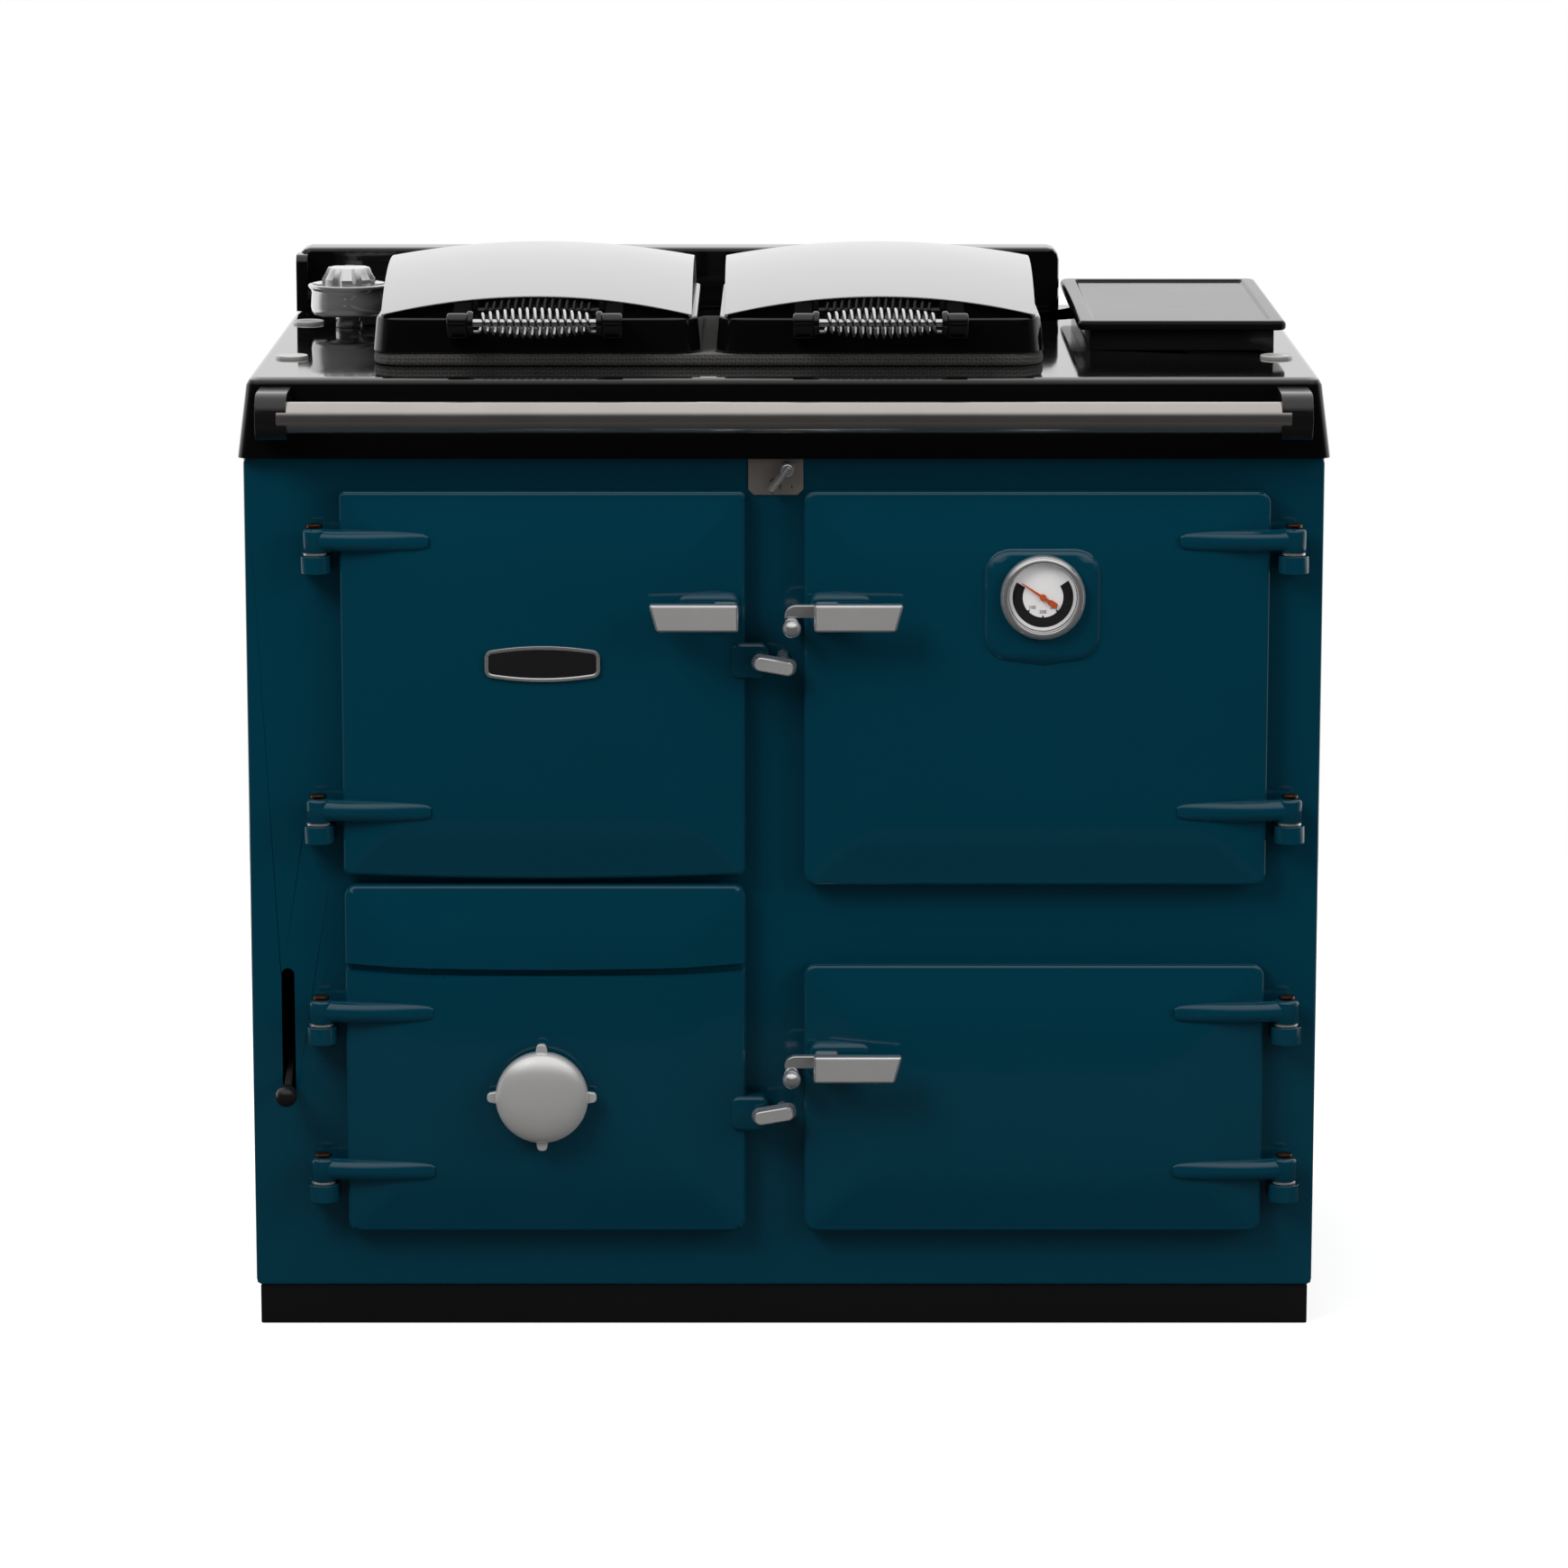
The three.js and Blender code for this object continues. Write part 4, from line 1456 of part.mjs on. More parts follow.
// Wire handle: one barrel-shaped helix whose ends turn along the axis and run into the collars.
function coilPath(span) {
  const place = coilPlace(span);
  const steps = COIL_TURNS * COIL_STEPS;
  const length = place.x[1] - place.x[0] - 2 * SEAT_GAP - 2 * COIL_LEAD;
  const start = place.x[0] + SEAT_GAP + COIL_LEAD;
  const points = [];
  for (let k = 0; k <= steps; k += 1) {
    const t = k / steps;
    const radius = COIL_END_RADIUS + (COIL_MID_RADIUS - COIL_END_RADIUS) * Math.sin(Math.PI * t);
    const angle = 2 * Math.PI * COIL_TURNS * t;
    points.push(new THREE.Vector3(start + length * t, place.y + radius * Math.sin(angle),
      place.z - radius * Math.cos(angle)));
  }
  const lead = (corner, sign) => {
    const ease = new THREE.Vector3(corner.x + sign * COIL_LEAD * 0.3, corner.y, corner.z);
    const end = new THREE.Vector3(corner.x + sign * COIL_LEAD, corner.y, corner.z);
    return [ease, end];
  };
  return [...lead(points[0], -1).reverse(), ...points, ...lead(points[steps], 1)];
}

function makeCoil(name, span) {
  const place = coilPlace(span);
  const points = coilPath(span);
  const rings = points.map((point, k) => {
    const before = points[Math.max(k - 1, 0)];
    const after = points[Math.min(k + 1, points.length - 1)];
    const along = after.clone().sub(before).normalize();
    const outward = new THREE.Vector3(0, point.y - place.y, point.z - place.z).normalize();
    const across = along.clone().cross(outward).normalize();
    return Array.from({ length: COIL_SIDES }, (_, i) => {
      const angle = 2 * Math.PI * i / COIL_SIDES;
      return point.clone().addScaledVector(outward, COIL_WIRE / 2 * Math.cos(angle))
        .addScaledVector(across, COIL_WIRE / 2 * Math.sin(angle));
    });
  });
  let least = Infinity;
  for (let i = 0; i < points.length; i += 1) {
    for (let j = i + COIL_STEPS / 2; j < points.length; j += 1) {
      least = Math.min(least, points[i].distanceTo(points[j]) - COIL_WIRE);
    }
  }
  console.log(`${name}: least gap of the wire to itself ${least.toFixed(2)} mm`);
  return part(name, loft(rings), CHROME);
}

// Thermostat knob: collar, bright dish, and a faceted grip that narrows upwards.
function makeThermostatKnob() {
  const foot = HOB_HEIGHT + SEAT_GAP;
  const dish = foot + KNOB_STEM_HEIGHT;
  const rim = foot + KNOB_DISH_HEIGHT;
  const top = rim + KNOB_GRIP_HEIGHT;
  const r = KNOB_RADIUS;
  const body = turned([[0, foot - 20], [KNOB_SPINDLE, foot - 20], [KNOB_SPINDLE, foot],
    [KNOB_STEM_RADIUS, foot], [KNOB_STEM_RADIUS, dish], [r - 8, dish], [r - 4, dish + 2],
    [r - 2.5, dish + 8], [r - 3.5, rim - 7], [r - 0.6, rim - 4], [r, rim - 1.5], [r - 1.6, rim],
    [r - 8, rim + 0.5], [KNOB_GRIP_RADIUS - 2, rim - 1], [0, rim - 1]], "z", [0, 0, 0], WIDE_ROUND);
  const flats = 8;
  const ring = (radius, z) => Array.from({ length: 2 * flats }, (_, i) => {
    const angle = Math.PI * i / flats;
    const reach = i % 2 ? radius : radius * 0.9;
    return new THREE.Vector3(reach * Math.cos(angle), reach * Math.sin(angle), z);
  });
  const grip = loft([ring(KNOB_GRIP_RADIUS, rim - 2), ring(KNOB_GRIP_RADIUS, rim + 5),
    ring(KNOB_GRIP_RADIUS * 0.8, top - 2), ring(KNOB_GRIP_RADIUS * 0.7, top)]);
  return part("thermostat_knob", join(body, grip).translate([left + KNOB_LEFT_MARGIN, KNOB_Y, 0]), CHROME);
}

// ---------------------------------------------------------------- the whole cooker
const cooker = new THREE.Group();
cooker.name = "cooker";

function add(...pieces) {
  cooker.add(...pieces);
}

function addBody() {
  add(makePlinth(), makeFrontPlate(), makeSidePanel("left_side_panel", -1),
    makeSidePanel("right_side_panel", 1), makeBackPanel(), makeTopPlate(), makeSplashback(), makeHotplate(),
    makeSeal(), makeControlPlate(), makeFlueBox(), makeFlueCover(), makeHandrail(),
    makeRailBracket("left_rail_bracket", -1), makeRailBracket("right_rail_bracket", 1));
}

function addInside() {
  const mainShelf = chamber(DOORS.mainOven).z[0] + MAIN_SHELF_RISE;
  const lowerShelf = chamber(DOORS.lowerOven).z[0] + LOWER_SHELF_RISE;
  add(makeFirebox(), makeGrate(), makeAshPan(),
    makeOvenBox("main_oven_box", DOORS.mainOven, mainShelf),
    makeShelf("main_oven_shelf", DOORS.mainOven, mainShelf),
    makeOvenBox("lower_oven_box", DOORS.lowerOven, lowerShelf),
    makeShelf("lower_oven_shelf", DOORS.lowerOven, lowerShelf));
}

function addDoors() {
  add(makeFireboxDoor(), makeAshDoor(), makeMainOvenDoor(), makeLowerOvenDoor(),
    makeLiner("firebox_door_baffle", DOORS.firebox), makeLiner("ash_door_baffle", DOORS.ash, spinBore()),
    makeLiner("main_oven_door_liner", DOORS.mainOven), makeLiner("lower_oven_door_liner", DOORS.lowerOven));
  const names = { firebox: "firebox_pin", ash: "ash_pin", mainOven: "main_oven_pin",
    lowerOven: "lower_oven_pin" };
  for (const [key, door] of Object.entries(DOORS)) {
    const axisX = door.side < 0 ? leftHinge : rightHinge;
    door.pins.forEach((head, i) => add(makeHingePin(`${names[key]}_${i ? "lower" : "upper"}`, axisX, head)));
  }
}

function addDoorFittings() {
  add(makeHandle("firebox_door_handle", LEFT_DOOR_EDGE, -1, upperHandleHeight, false),
    makeHandle("main_oven_handle", RIGHT_DOOR_EDGE, 1, upperHandleHeight, true),
    makeHandle("lower_oven_handle", RIGHT_DOOR_EDGE, 1, LOWER_HANDLE_HEIGHT, true),
    makeBobbin("main_oven_bobbin", upperHandleHeight - BOBBIN_DROP),
    makeBobbin("lower_oven_bobbin", LOWER_HANDLE_HEIGHT - BOBBIN_DROP),
    makeLatch("firebox_latch", upperLatchHeight, UPPER_LATCH_TILT),
    makeLatch("ash_latch", LOWER_LATCH_HEIGHT, LOWER_LATCH_TILT),
    makeBadge(), makeGaugeCase(), makeGaugeNeedle(), makeGaugeGlass(), makeSpinWheel(), makeSpinBush());
}

function addControls() {
  add(makeThermostatKnob(), makeDamper(), makeRiddlingLever());
}

function addLids() {
  ["left_lid", "right_lid"].forEach((name, index) => {
    const span = lidSpan(index);
    add(makeLidBase(`${name}_base`, span), makeDome(`${name}_dome`, span), makeCoil(`${name}_coil`, span));
  });
}

addBody();
addInside();
addDoors();
addDoorFittings();
addControls();
addLids();

export default cooker;
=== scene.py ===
"""Looks of a cast iron range cooker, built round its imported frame.

The frame gives every named node and moving body.  Each sub-assembly of the
cooker is a class below: its sizes are dataclass fields in millimetres, and its
methods model the pieces, dress them and fasten them to the bodies.
"""

from __future__ import annotations

import logging
import math
from collections.abc import Callable, Sequence
from dataclasses import dataclass
from enum import Enum

import bpy
from bpy.types import Material, Node, NodeSocket, NodeTree, Object
from mathutils import Matrix, Vector


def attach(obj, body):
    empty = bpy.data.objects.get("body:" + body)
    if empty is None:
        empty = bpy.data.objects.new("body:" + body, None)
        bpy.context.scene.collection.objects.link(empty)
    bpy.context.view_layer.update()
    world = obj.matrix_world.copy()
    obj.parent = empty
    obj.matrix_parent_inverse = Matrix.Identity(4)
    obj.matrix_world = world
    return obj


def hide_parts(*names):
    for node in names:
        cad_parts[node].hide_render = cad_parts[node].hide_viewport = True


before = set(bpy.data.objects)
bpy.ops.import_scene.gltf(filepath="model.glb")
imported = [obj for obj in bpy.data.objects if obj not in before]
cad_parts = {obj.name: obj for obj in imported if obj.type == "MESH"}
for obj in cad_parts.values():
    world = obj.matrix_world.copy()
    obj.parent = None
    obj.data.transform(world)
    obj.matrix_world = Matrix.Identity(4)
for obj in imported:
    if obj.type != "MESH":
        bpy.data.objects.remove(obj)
LOG = logging.getLogger("range_cooker")
MM = 0.001
Point = tuple[float, float, float]
Colour = tuple[float, float, float, float]

# Places that pieces of different castings share, in millimetres.
DOOR_BACK = -268.3
HINGE_Y = -289.0
CATCH_X = 7.0
KEEPER_X = -1.0
LATCH_X = -22.0
UPPER_HANDLE, LOWER_HANDLE = 676.0, 259.0
UPPER_CATCH, LOWER_CATCH = 666.0, 249.0
UPPER_LATCH, LOWER_LATCH = 630.0, 207.0
UPPER_PINS = (754.0, 505.0)
LOWER_PINS = (317.0, 168.0)
LEFT_DOORS = (-403.0, -35.0)
RIGHT_DOORS = (18.0, 441.0)
HOB = 886.0
LID_Y = (-183.0, 147.0)


# ------------------------------------------------------------------ shader nodes
class NodeBench:
    """Adds and joins nodes in one shader tree."""

    def __init__(self, tree: NodeTree) -> None:
        """Takes the tree that the nodes go into.

        Args:
            tree: An empty material, world or group tree.
        """
        self.tree = tree
        tree.nodes.clear()

    def add(self, kind: str, inputs: dict[str | int, object] | None = None, **settings: object) -> Node:
        """Adds one node.

        Args:
            kind: Blender's name of the node type.
            inputs: A value, or the socket that feeds it, for each named input.
            **settings: Properties of the node itself.

        Returns:
            The new node.
        """
        node = self.tree.nodes.new(kind)
        for name, value in settings.items():
            setattr(node, name, value)
        for name, value in (inputs or {}).items():
            if isinstance(value, NodeSocket):
                self.tree.links.new(value, node.inputs[name])
            else:
                node.inputs[name].default_value = value
        return node

    def sum(self, operation: str, a: object, b: object = 0.0, c: object = 0.0) -> NodeSocket:
        """A Math node's result."""
        node = self.add("ShaderNodeMath", {0: a, 1: b, 2: c}, operation=operation)
        return node.outputs[0]

    def blend(self, factor: object, a: object, b: object) -> NodeSocket:
        """A colour between two colours.

        Args:
            factor: Share of the second colour.
            a: First colour.
            b: Second colour.

        Returns:
            The blended colour.
        """
        node = self.tree.nodes.new("ShaderNodeMix")
        node.data_type = "RGBA"
        for index, value in ((0, factor), (6, a), (7, b)):
            if isinstance(value, NodeSocket):
                self.tree.links.new(value, node.inputs[index])
            else:
                node.inputs[index].default_value = value
        return node.outputs[2]

    def spread(self, factor: object, low: float, high: float) -> NodeSocket:
        """A value from 0 to 1 laid out between two numbers."""
        node = self.add("ShaderNodeMapRange", {0: factor, 3: low, 4: high})
        return node.outputs[0]

    def place(self, scale: Point = (1.0, 1.0, 1.0)) -> NodeSocket:
        """Object coordinates, stretched by `scale`.

        Args:
            scale: Stretch along each axis.

        Returns:
            The coordinates.
        """
        here = self.add("ShaderNodeTexCoord").outputs["Object"]
        if scale == (1.0, 1.0, 1.0):
            return here
        return self.add("ShaderNodeMapping", {"Vector": here, "Scale": scale}).outputs[0]

    def noise(self, scale: object, detail: float, place: NodeSocket | None = None,
              roughness: float = 0.5) -> NodeSocket:
        """The value of a noise texture in object space.

        Args:
            scale: How fine the pattern is.
            detail: Number of finer layers.
            place: Where to read it; object coordinates if left out.
            roughness: Strength of the finer layers.

        Returns:
            The noise, from 0 to 1.
        """
        node = self.add("ShaderNodeTexNoise", {"Vector": place or self.place(), "Scale": scale,
                                               "Detail": detail, "Roughness": roughness})
        return node.outputs[0]


def node_group(name: str, inputs: dict[str, float], outputs: dict[str, str]) -> NodeBench:
    """Starts a shared effect as a node group.

    Args:
        name: The group's name.
        inputs: Its number inputs with their first values.
        outputs: Its outputs with their socket types.

    Returns:
        A bench for the group's own tree.
    """
    tree = bpy.data.node_groups.new(name, "ShaderNodeTree")
    for label, value in inputs.items():
        socket = tree.interface.new_socket(name=label, in_out="INPUT", socket_type="NodeSocketFloat")
        socket.default_value = value
    for label, kind in outputs.items():
        tree.interface.new_socket(name=label, in_out="OUTPUT", socket_type=kind)
    return NodeBench(tree)


class Effect(Enum):
    """Shared surface effects, each a node group built once."""

    FIRED_GLAZE = "fired glaze"
    HANDLING = "handling marks"
    CASTING_GRAIN = "casting grain"
    BRUSHING = "brushed lines"
    BRAID = "braided rope"
    DUST = "settled dust"

    def tree(self) -> NodeTree:
        """The effect's node group, made at its first use."""
        known = bpy.data.node_groups.get(self.value)
        return known or EFFECT_MAKERS[self]()


def fired_glaze() -> NodeTree:
    """Slow tone changes and the faint ripple of a fired enamel.

    Returns:
        Its node group.
    """
    bench = node_group(Effect.FIRED_GLAZE.value, {"Ripple": 30.0, "Cloud": 2.2},
                       {"Tone": "NodeSocketFloat", "Height": "NodeSocketFloat", "Gloss": "NodeSocketFloat"})
    given = bench.add("NodeGroupInput")
    ripple = bench.noise(given.outputs["Ripple"], 1.0, roughness=0.3)
    speck = bench.noise(900.0, 1.0)
    height = bench.sum("MULTIPLY_ADD", speck, 0.03, ripple)
    cloud = bench.noise(given.outputs["Cloud"], 3.0)
    gloss = bench.noise(7.0, 4.0)
    bench.add("NodeGroupOutput", {"Tone": cloud, "Height": height, "Gloss": gloss})
    return bench.tree


def handling_marks() -> NodeTree:
    """Smears and fine scratches that wiping leaves on polished metal.

    Returns:
        Its node group.
    """
    bench = node_group(Effect.HANDLING.value, {"Size": 14.0},
                       {"Smear": "NodeSocketFloat", "Scratch": "NodeSocketFloat"})
    given = bench.add("NodeGroupInput")
    smear = bench.noise(given.outputs["Size"], 5.0, roughness=0.62)
    scratch = bench.noise(120.0, 2.0, bench.place((1.0, 9.0, 0.6)), 0.7)
    bench.add("NodeGroupOutput", {"Smear": smear, "Scratch": scratch})
    return bench.tree


def casting_grain() -> NodeTree:
    """Sand-cast skin: grains and shallow pits.

    Returns:
        Its node group.
    """
    bench = node_group(Effect.CASTING_GRAIN.value, {"Grain": 420.0},
                       {"Height": "NodeSocketFloat", "Pits": "NodeSocketFloat"})
    given = bench.add("NodeGroupInput")
    grain = bench.noise(given.outputs["Grain"], 3.0, roughness=0.7)
    pits = bench.add("ShaderNodeTexVoronoi", {"Vector": bench.place(), "Scale": 160.0}).outputs[0]
    height = bench.sum("MULTIPLY_ADD", pits, 0.4, grain)
    bench.add("NodeGroupOutput", {"Height": height, "Pits": pits})
    return bench.tree


def brushed_lines() -> NodeTree:
    """Long fine lines left by a polishing belt that ran across the piece.

    Returns:
        Its node group.
    """
    bench = node_group(Effect.BRUSHING.value, {"Fineness": 60.0},
                       {"Line": "NodeSocketFloat", "Tone": "NodeSocketFloat"})
    given = bench.add("NodeGroupInput")
    line = bench.noise(given.outputs["Fineness"], 4.0, bench.place((0.35, 40.0, 40.0)), 0.75)
    tone = bench.noise(9.0, 3.0)
    bench.add("NodeGroupOutput", {"Line": line, "Tone": tone})
    return bench.tree


def braided_rope() -> NodeTree:
    """Diamond braid that follows a level rope, whichever way it runs.

    Returns:
        Its node group.
    """
    bench = node_group(Effect.BRAID.value, {"Strands": 900.0},
                       {"Height": "NodeSocketFloat", "Tone": "NodeSocketFloat"})
    given = bench.add("NodeGroupInput")
    axes = bench.add("ShaderNodeSeparateXYZ", {0: bench.place()}).outputs
    along = bench.sum("ADD", axes["X"], axes["Y"])
    across = bench.sum("ADD", bench.sum("SUBTRACT", axes["X"], axes["Y"]),
                       bench.sum("MULTIPLY", axes["Z"], 1.7))
    size = given.outputs["Strands"]
    rising = bench.sum("SINE", bench.sum("MULTIPLY", bench.sum("ADD", along, axes["Z"]), size))
    falling = bench.sum("SINE", bench.sum("MULTIPLY", bench.sum("SUBTRACT", along, axes["Z"]), size))
    cross = bench.sum("SINE", bench.sum("MULTIPLY", across, size))
    weave = bench.sum("ADD", bench.sum("MULTIPLY", rising, falling), bench.sum("MULTIPLY", cross, 0.35))
    height = bench.sum("MULTIPLY_ADD", weave, 0.35, 0.5)
    tone = bench.noise(70.0, 4.0)
    bench.add("NodeGroupOutput", {"Height": height, "Tone": tone})
    return bench.tree


def settled_dust() -> NodeTree:
    """A thin film that is a little thicker on faces that look up.

    Returns:
        Its node group.
    """
    bench = node_group(Effect.DUST.value, {"Amount": 0.3}, {"Film": "NodeSocketFloat"})
    given = bench.add("NodeGroupInput")
    normal = bench.add("ShaderNodeNewGeometry").outputs["Normal"]
    upward = bench.add("ShaderNodeSeparateXYZ", {0: normal}).outputs["Z"]
    level = bench.add("ShaderNodeMapRange", {0: upward, 1: 0.2, 2: 1.0}).outputs[0]
    patch = bench.noise(11.0, 6.0, roughness=0.6)
    film = bench.sum("MULTIPLY", bench.sum("MULTIPLY", level, patch), given.outputs["Amount"])
    bench.add("NodeGroupOutput", {"Film": film})
    return bench.tree


EFFECT_MAKERS: dict[Effect, Callable[[], NodeTree]] = {
    Effect.FIRED_GLAZE: fired_glaze,
    Effect.HANDLING: handling_marks,
    Effect.CASTING_GRAIN: casting_grain,
    Effect.BRUSHING: brushed_lines,
    Effect.BRAID: braided_rope,
    Effect.DUST: settled_dust,
}


# ---------------------------------------------------------------------- finishes
class Finish:
    """A surface finish.  Each kind builds its own material once."""

    name: str

    def material(self) -> Material:
        """The finish as a material, made at its first use.

        Returns:
            The material that every piece of this finish shares.
        """
        title = f"{self.name}_look"
        known = bpy.data.materials.get(title)
        if known:
            return known
        made = bpy.data.materials.new(title)
        made.use_nodes = True
        bench = NodeBench(made.node_tree)
        shader = bench.add("ShaderNodeBsdfPrincipled")
        bench.add("ShaderNodeOutputMaterial", {"Surface": shader.outputs[0]})
        self.paint(bench, shader)
        return made

    def paint(self, bench: NodeBench, shader: Node) -> None:
        """Feeds the shader.

        Args:
            bench: The material's tree.
            shader: Its Principled node.
        """
        raise NotImplementedError

    @staticmethod
    def feed(bench: NodeBench, shader: Node, **sockets: object) -> None:
        """Sets or links the shader's inputs; an underscore in a name is a space.

        Args:
            bench: The material's nodes.
            shader: Its Principled shader.
            **sockets: Values or sockets, by input name.
        """
        for label, value in sockets.items():
            target = shader.inputs[label.replace("_", " ")]
            if isinstance(value, NodeSocket):
                bench.tree.links.new(value, target)
            else:
                target.default_value = value

    @staticmethod
    def effect(bench: NodeBench, kind: Effect, **values: float) -> Node:
        """Places a shared effect in the material with its own values.

        Args:
            bench: The material's nodes.
            kind: Which effect.
            **values: Its inputs, by name.

        Returns:
            The placed group.
        """
        node = bench.add("ShaderNodeGroup", node_tree=kind.tree())
        for label, value in values.items():
            node.inputs[label].default_value = value
        return node

    @staticmethod
    def bump(bench: NodeBench, height: NodeSocket, strength: float, distance: float) -> NodeSocket:
        """The normal that a height map gives."""
        return bench.add("ShaderNodeBump", {"Height": height, "Strength": strength,
                                            "Distance": distance}).outputs[0]


@dataclass(frozen=True)
class Enamel(Finish):
    """Vitreous enamel fired over cast iron."""

    name: str
    colour: Colour
    shade: Colour
    roughness: float = 0.09
    ripple: float = 0.16
    dust: float = 0.0
    coat: float = 0.35
    index: float = 1.52

    def paint(self, bench: NodeBench, shader: Node) -> None:
        """Deep glossy colour with slow changes of tone and a faint ripple.

        Args:
            bench: The material's nodes.
            shader: Its Principled shader.
        """
        glaze = self.effect(bench, Effect.FIRED_GLAZE).outputs
        colour = bench.blend(glaze["Tone"], self.shade, self.colour)
        roughness = bench.spread(glaze["Gloss"], self.roughness * 0.6, self.roughness * 1.5)
        if self.dust > 0.0:
            film = self.effect(bench, Effect.DUST, Amount=self.dust).outputs["Film"]
            colour = bench.blend(film, colour, (0.45, 0.43, 0.40, 1.0))
            roughness = bench.sum("MULTIPLY_ADD", film, 0.4, roughness)
        self.feed(bench, shader, Base_Color=colour, Roughness=roughness, Coat_Weight=self.coat,
                  Coat_Roughness=0.04, IOR=self.index,
                  Normal=self.bump(bench, glaze["Height"], self.ripple, 0.0012))


@dataclass(frozen=True)
class Polished(Finish):
    """Plated, polished or satin metal, wiped by hand."""

    name: str
    colour: Colour
    shade: Colour
    roughness: float = 0.10
    marks: float = 0.04
    metallic: float = 1.0

    def paint(self, bench: NodeBench, shader: Node) -> None:
        """Bright metal whose gloss varies where hands and cloths go.

        Args:
            bench: The material's nodes.
            shader: Its Principled shader.
        """
        marks = self.effect(bench, Effect.HANDLING).outputs
        colour = bench.blend(marks["Smear"], self.shade, self.colour)
        roughness = bench.spread(marks["Smear"], self.roughness * 0.55, self.roughness * 1.6)
        self.feed(bench, shader, Base_Color=colour, Roughness=roughness, Metallic=self.metallic,
                  Normal=self.bump(bench, marks["Scratch"], self.marks, 0.0004))


@dataclass(frozen=True)
class Brushed(Finish):
    """Stainless sheet with its belt lines left in."""

    name: str
    colour: Colour
    shade: Colour
    roughness: float = 0.26
    metallic: float = 0.55

    def paint(self, bench: NodeBench, shader: Node) -> None:
        """Lines in the gloss, the tone and the relief.

        Args:
            bench: The material's nodes.
            shader: Its Principled shader.
        """
        lines = self.effect(bench, Effect.BRUSHING).outputs
        tone = bench.sum("MULTIPLY_ADD", lines["Line"], 0.6, bench.sum("MULTIPLY", lines["Tone"], 0.4))
        self.feed(bench, shader, Base_Color=bench.blend(tone, self.shade, self.colour),
                  Metallic=self.metallic,
                  Roughness=bench.spread(lines["Line"], self.roughness * 0.7, self.roughness * 1.4),
                  Normal=self.bump(bench, lines["Line"], 0.12, 0.0003))


@dataclass(frozen=True)
class Casting(Finish):
    """Bare or blackened iron and heat-darkened sheet."""

    name: str
    colour: Colour
    shade: Colour
    roughness: float = 0.6
    metallic: float = 0.6
    relief: float = 0.35

    def paint(self, bench: NodeBench, shader: Node) -> None:
        """Grainy skin with patchy tone.

        Args:
            bench: The material's nodes.
            shader: Its Principled shader.
        """
        grain = self.effect(bench, Effect.CASTING_GRAIN).outputs
        patch = bench.noise(13.0, 5.0, roughness=0.6)
        self.feed(bench, shader, Base_Color=bench.blend(patch, self.shade, self.colour),
                  Metallic=self.metallic,
                  Roughness=bench.spread(grain["Pits"], self.roughness * 0.8, self.roughness * 1.2),
                  Normal=self.bump(bench, grain["Height"], self.relief, 0.0008))


@dataclass(frozen=True)
class Rope(Finish):
    """Braided heat-proof rope."""

    name: str
    colour: Colour
    shade: Colour

    def paint(self, bench: NodeBench, shader: Node) -> None:
        """Matt strands, with painted shade in the valleys between them.

        Args:
            bench: The material's nodes.
            shader: Its Principled shader.
        """
        braid = self.effect(bench, Effect.BRAID).outputs
        fibre = bench.noise(1500.0, 2.0, roughness=0.7)
        height = bench.sum("MULTIPLY_ADD", fibre, 0.18, braid["Height"])
        # Painted shade: the braid's valleys take the darker second colour, its crests the rope's own colour.
        colour = bench.blend(braid["Height"], self.shade, self.colour)
        colour = bench.blend(bench.sum("MULTIPLY", braid["Tone"], 0.3), colour, (0.09, 0.085, 0.08, 1.0))
        self.feed(bench, shader, Base_Color=colour, Roughness=0.92, Sheen_Weight=0.2,
                  Normal=self.bump(bench, height, 0.8, 0.0014))


@dataclass(frozen=True)
class Pane(Finish):
    """Clear glass over the dial."""

    name: str = "dial_glass"

    def paint(self, bench: NodeBench, shader: Node) -> None:
        """Thin clear glass with a trace of wiping in its gloss.

        Args:
            bench: The material's nodes.
            shader: Its Principled shader.
        """
        smear = self.effect(bench, Effect.HANDLING).outputs["Smear"]
        self.feed(bench, shader, Base_Color=(0.02, 0.02, 0.02, 1.0), Alpha=bench.spread(smear, 0.02, 0.07),
                  IOR=1.45, Roughness=bench.spread(smear, 0.02, 0.08))


@dataclass(frozen=True)
class Painted(Finish):
    """Opaque paint or moulded plastic on small parts."""

    name: str
    colour: Colour
    shade: Colour
    roughness: float = 0.35
    grain: float = 0.05

    def paint(self, bench: NodeBench, shader: Node) -> None:
        """Even colour with a fine skin.

        Args:
            bench: The material's nodes.
            shader: Its Principled shader.
        """
        skin = bench.noise(650.0, 2.0)
        cloud = bench.noise(26.0, 3.0)
        self.feed(bench, shader, Base_Color=bench.blend(cloud, self.shade, self.colour),
                  Roughness=bench.spread(cloud, self.roughness * 0.75, self.roughness * 1.25),
                  Normal=self.bump(bench, skin, self.grain, 0.0003))


TEAL = Enamel("teal_enamel", (0.0006, 0.0400, 0.0660, 1.0), (0.0004, 0.0340, 0.0570, 1.0),
              roughness=0.10, ripple=0.12)
TEAL_SIDE = Enamel("teal_side_enamel", (0.0006, 0.0390, 0.0640, 1.0), (0.0004, 0.0330, 0.0550, 1.0),
                   roughness=0.13, ripple=0.10)
BLACK = Enamel("black_enamel", (0.0030, 0.0030, 0.0032, 1.0), (0.0018, 0.0018, 0.0020, 1.0),
               roughness=0.05, ripple=0.03, dust=0.008)
BLACK_CASTING = Enamel("black_casting_enamel", (0.0075, 0.0075, 0.0080, 1.0),
                       (0.0045, 0.0045, 0.0050, 1.0), roughness=0.20, ripple=0.35)
BLACK_COVER = Enamel("black_cover_enamel", (0.0040, 0.0040, 0.0043, 1.0), (0.0030, 0.0030, 0.0033, 1.0),
                     roughness=0.10, ripple=0.05, coat=0.0, index=1.22)
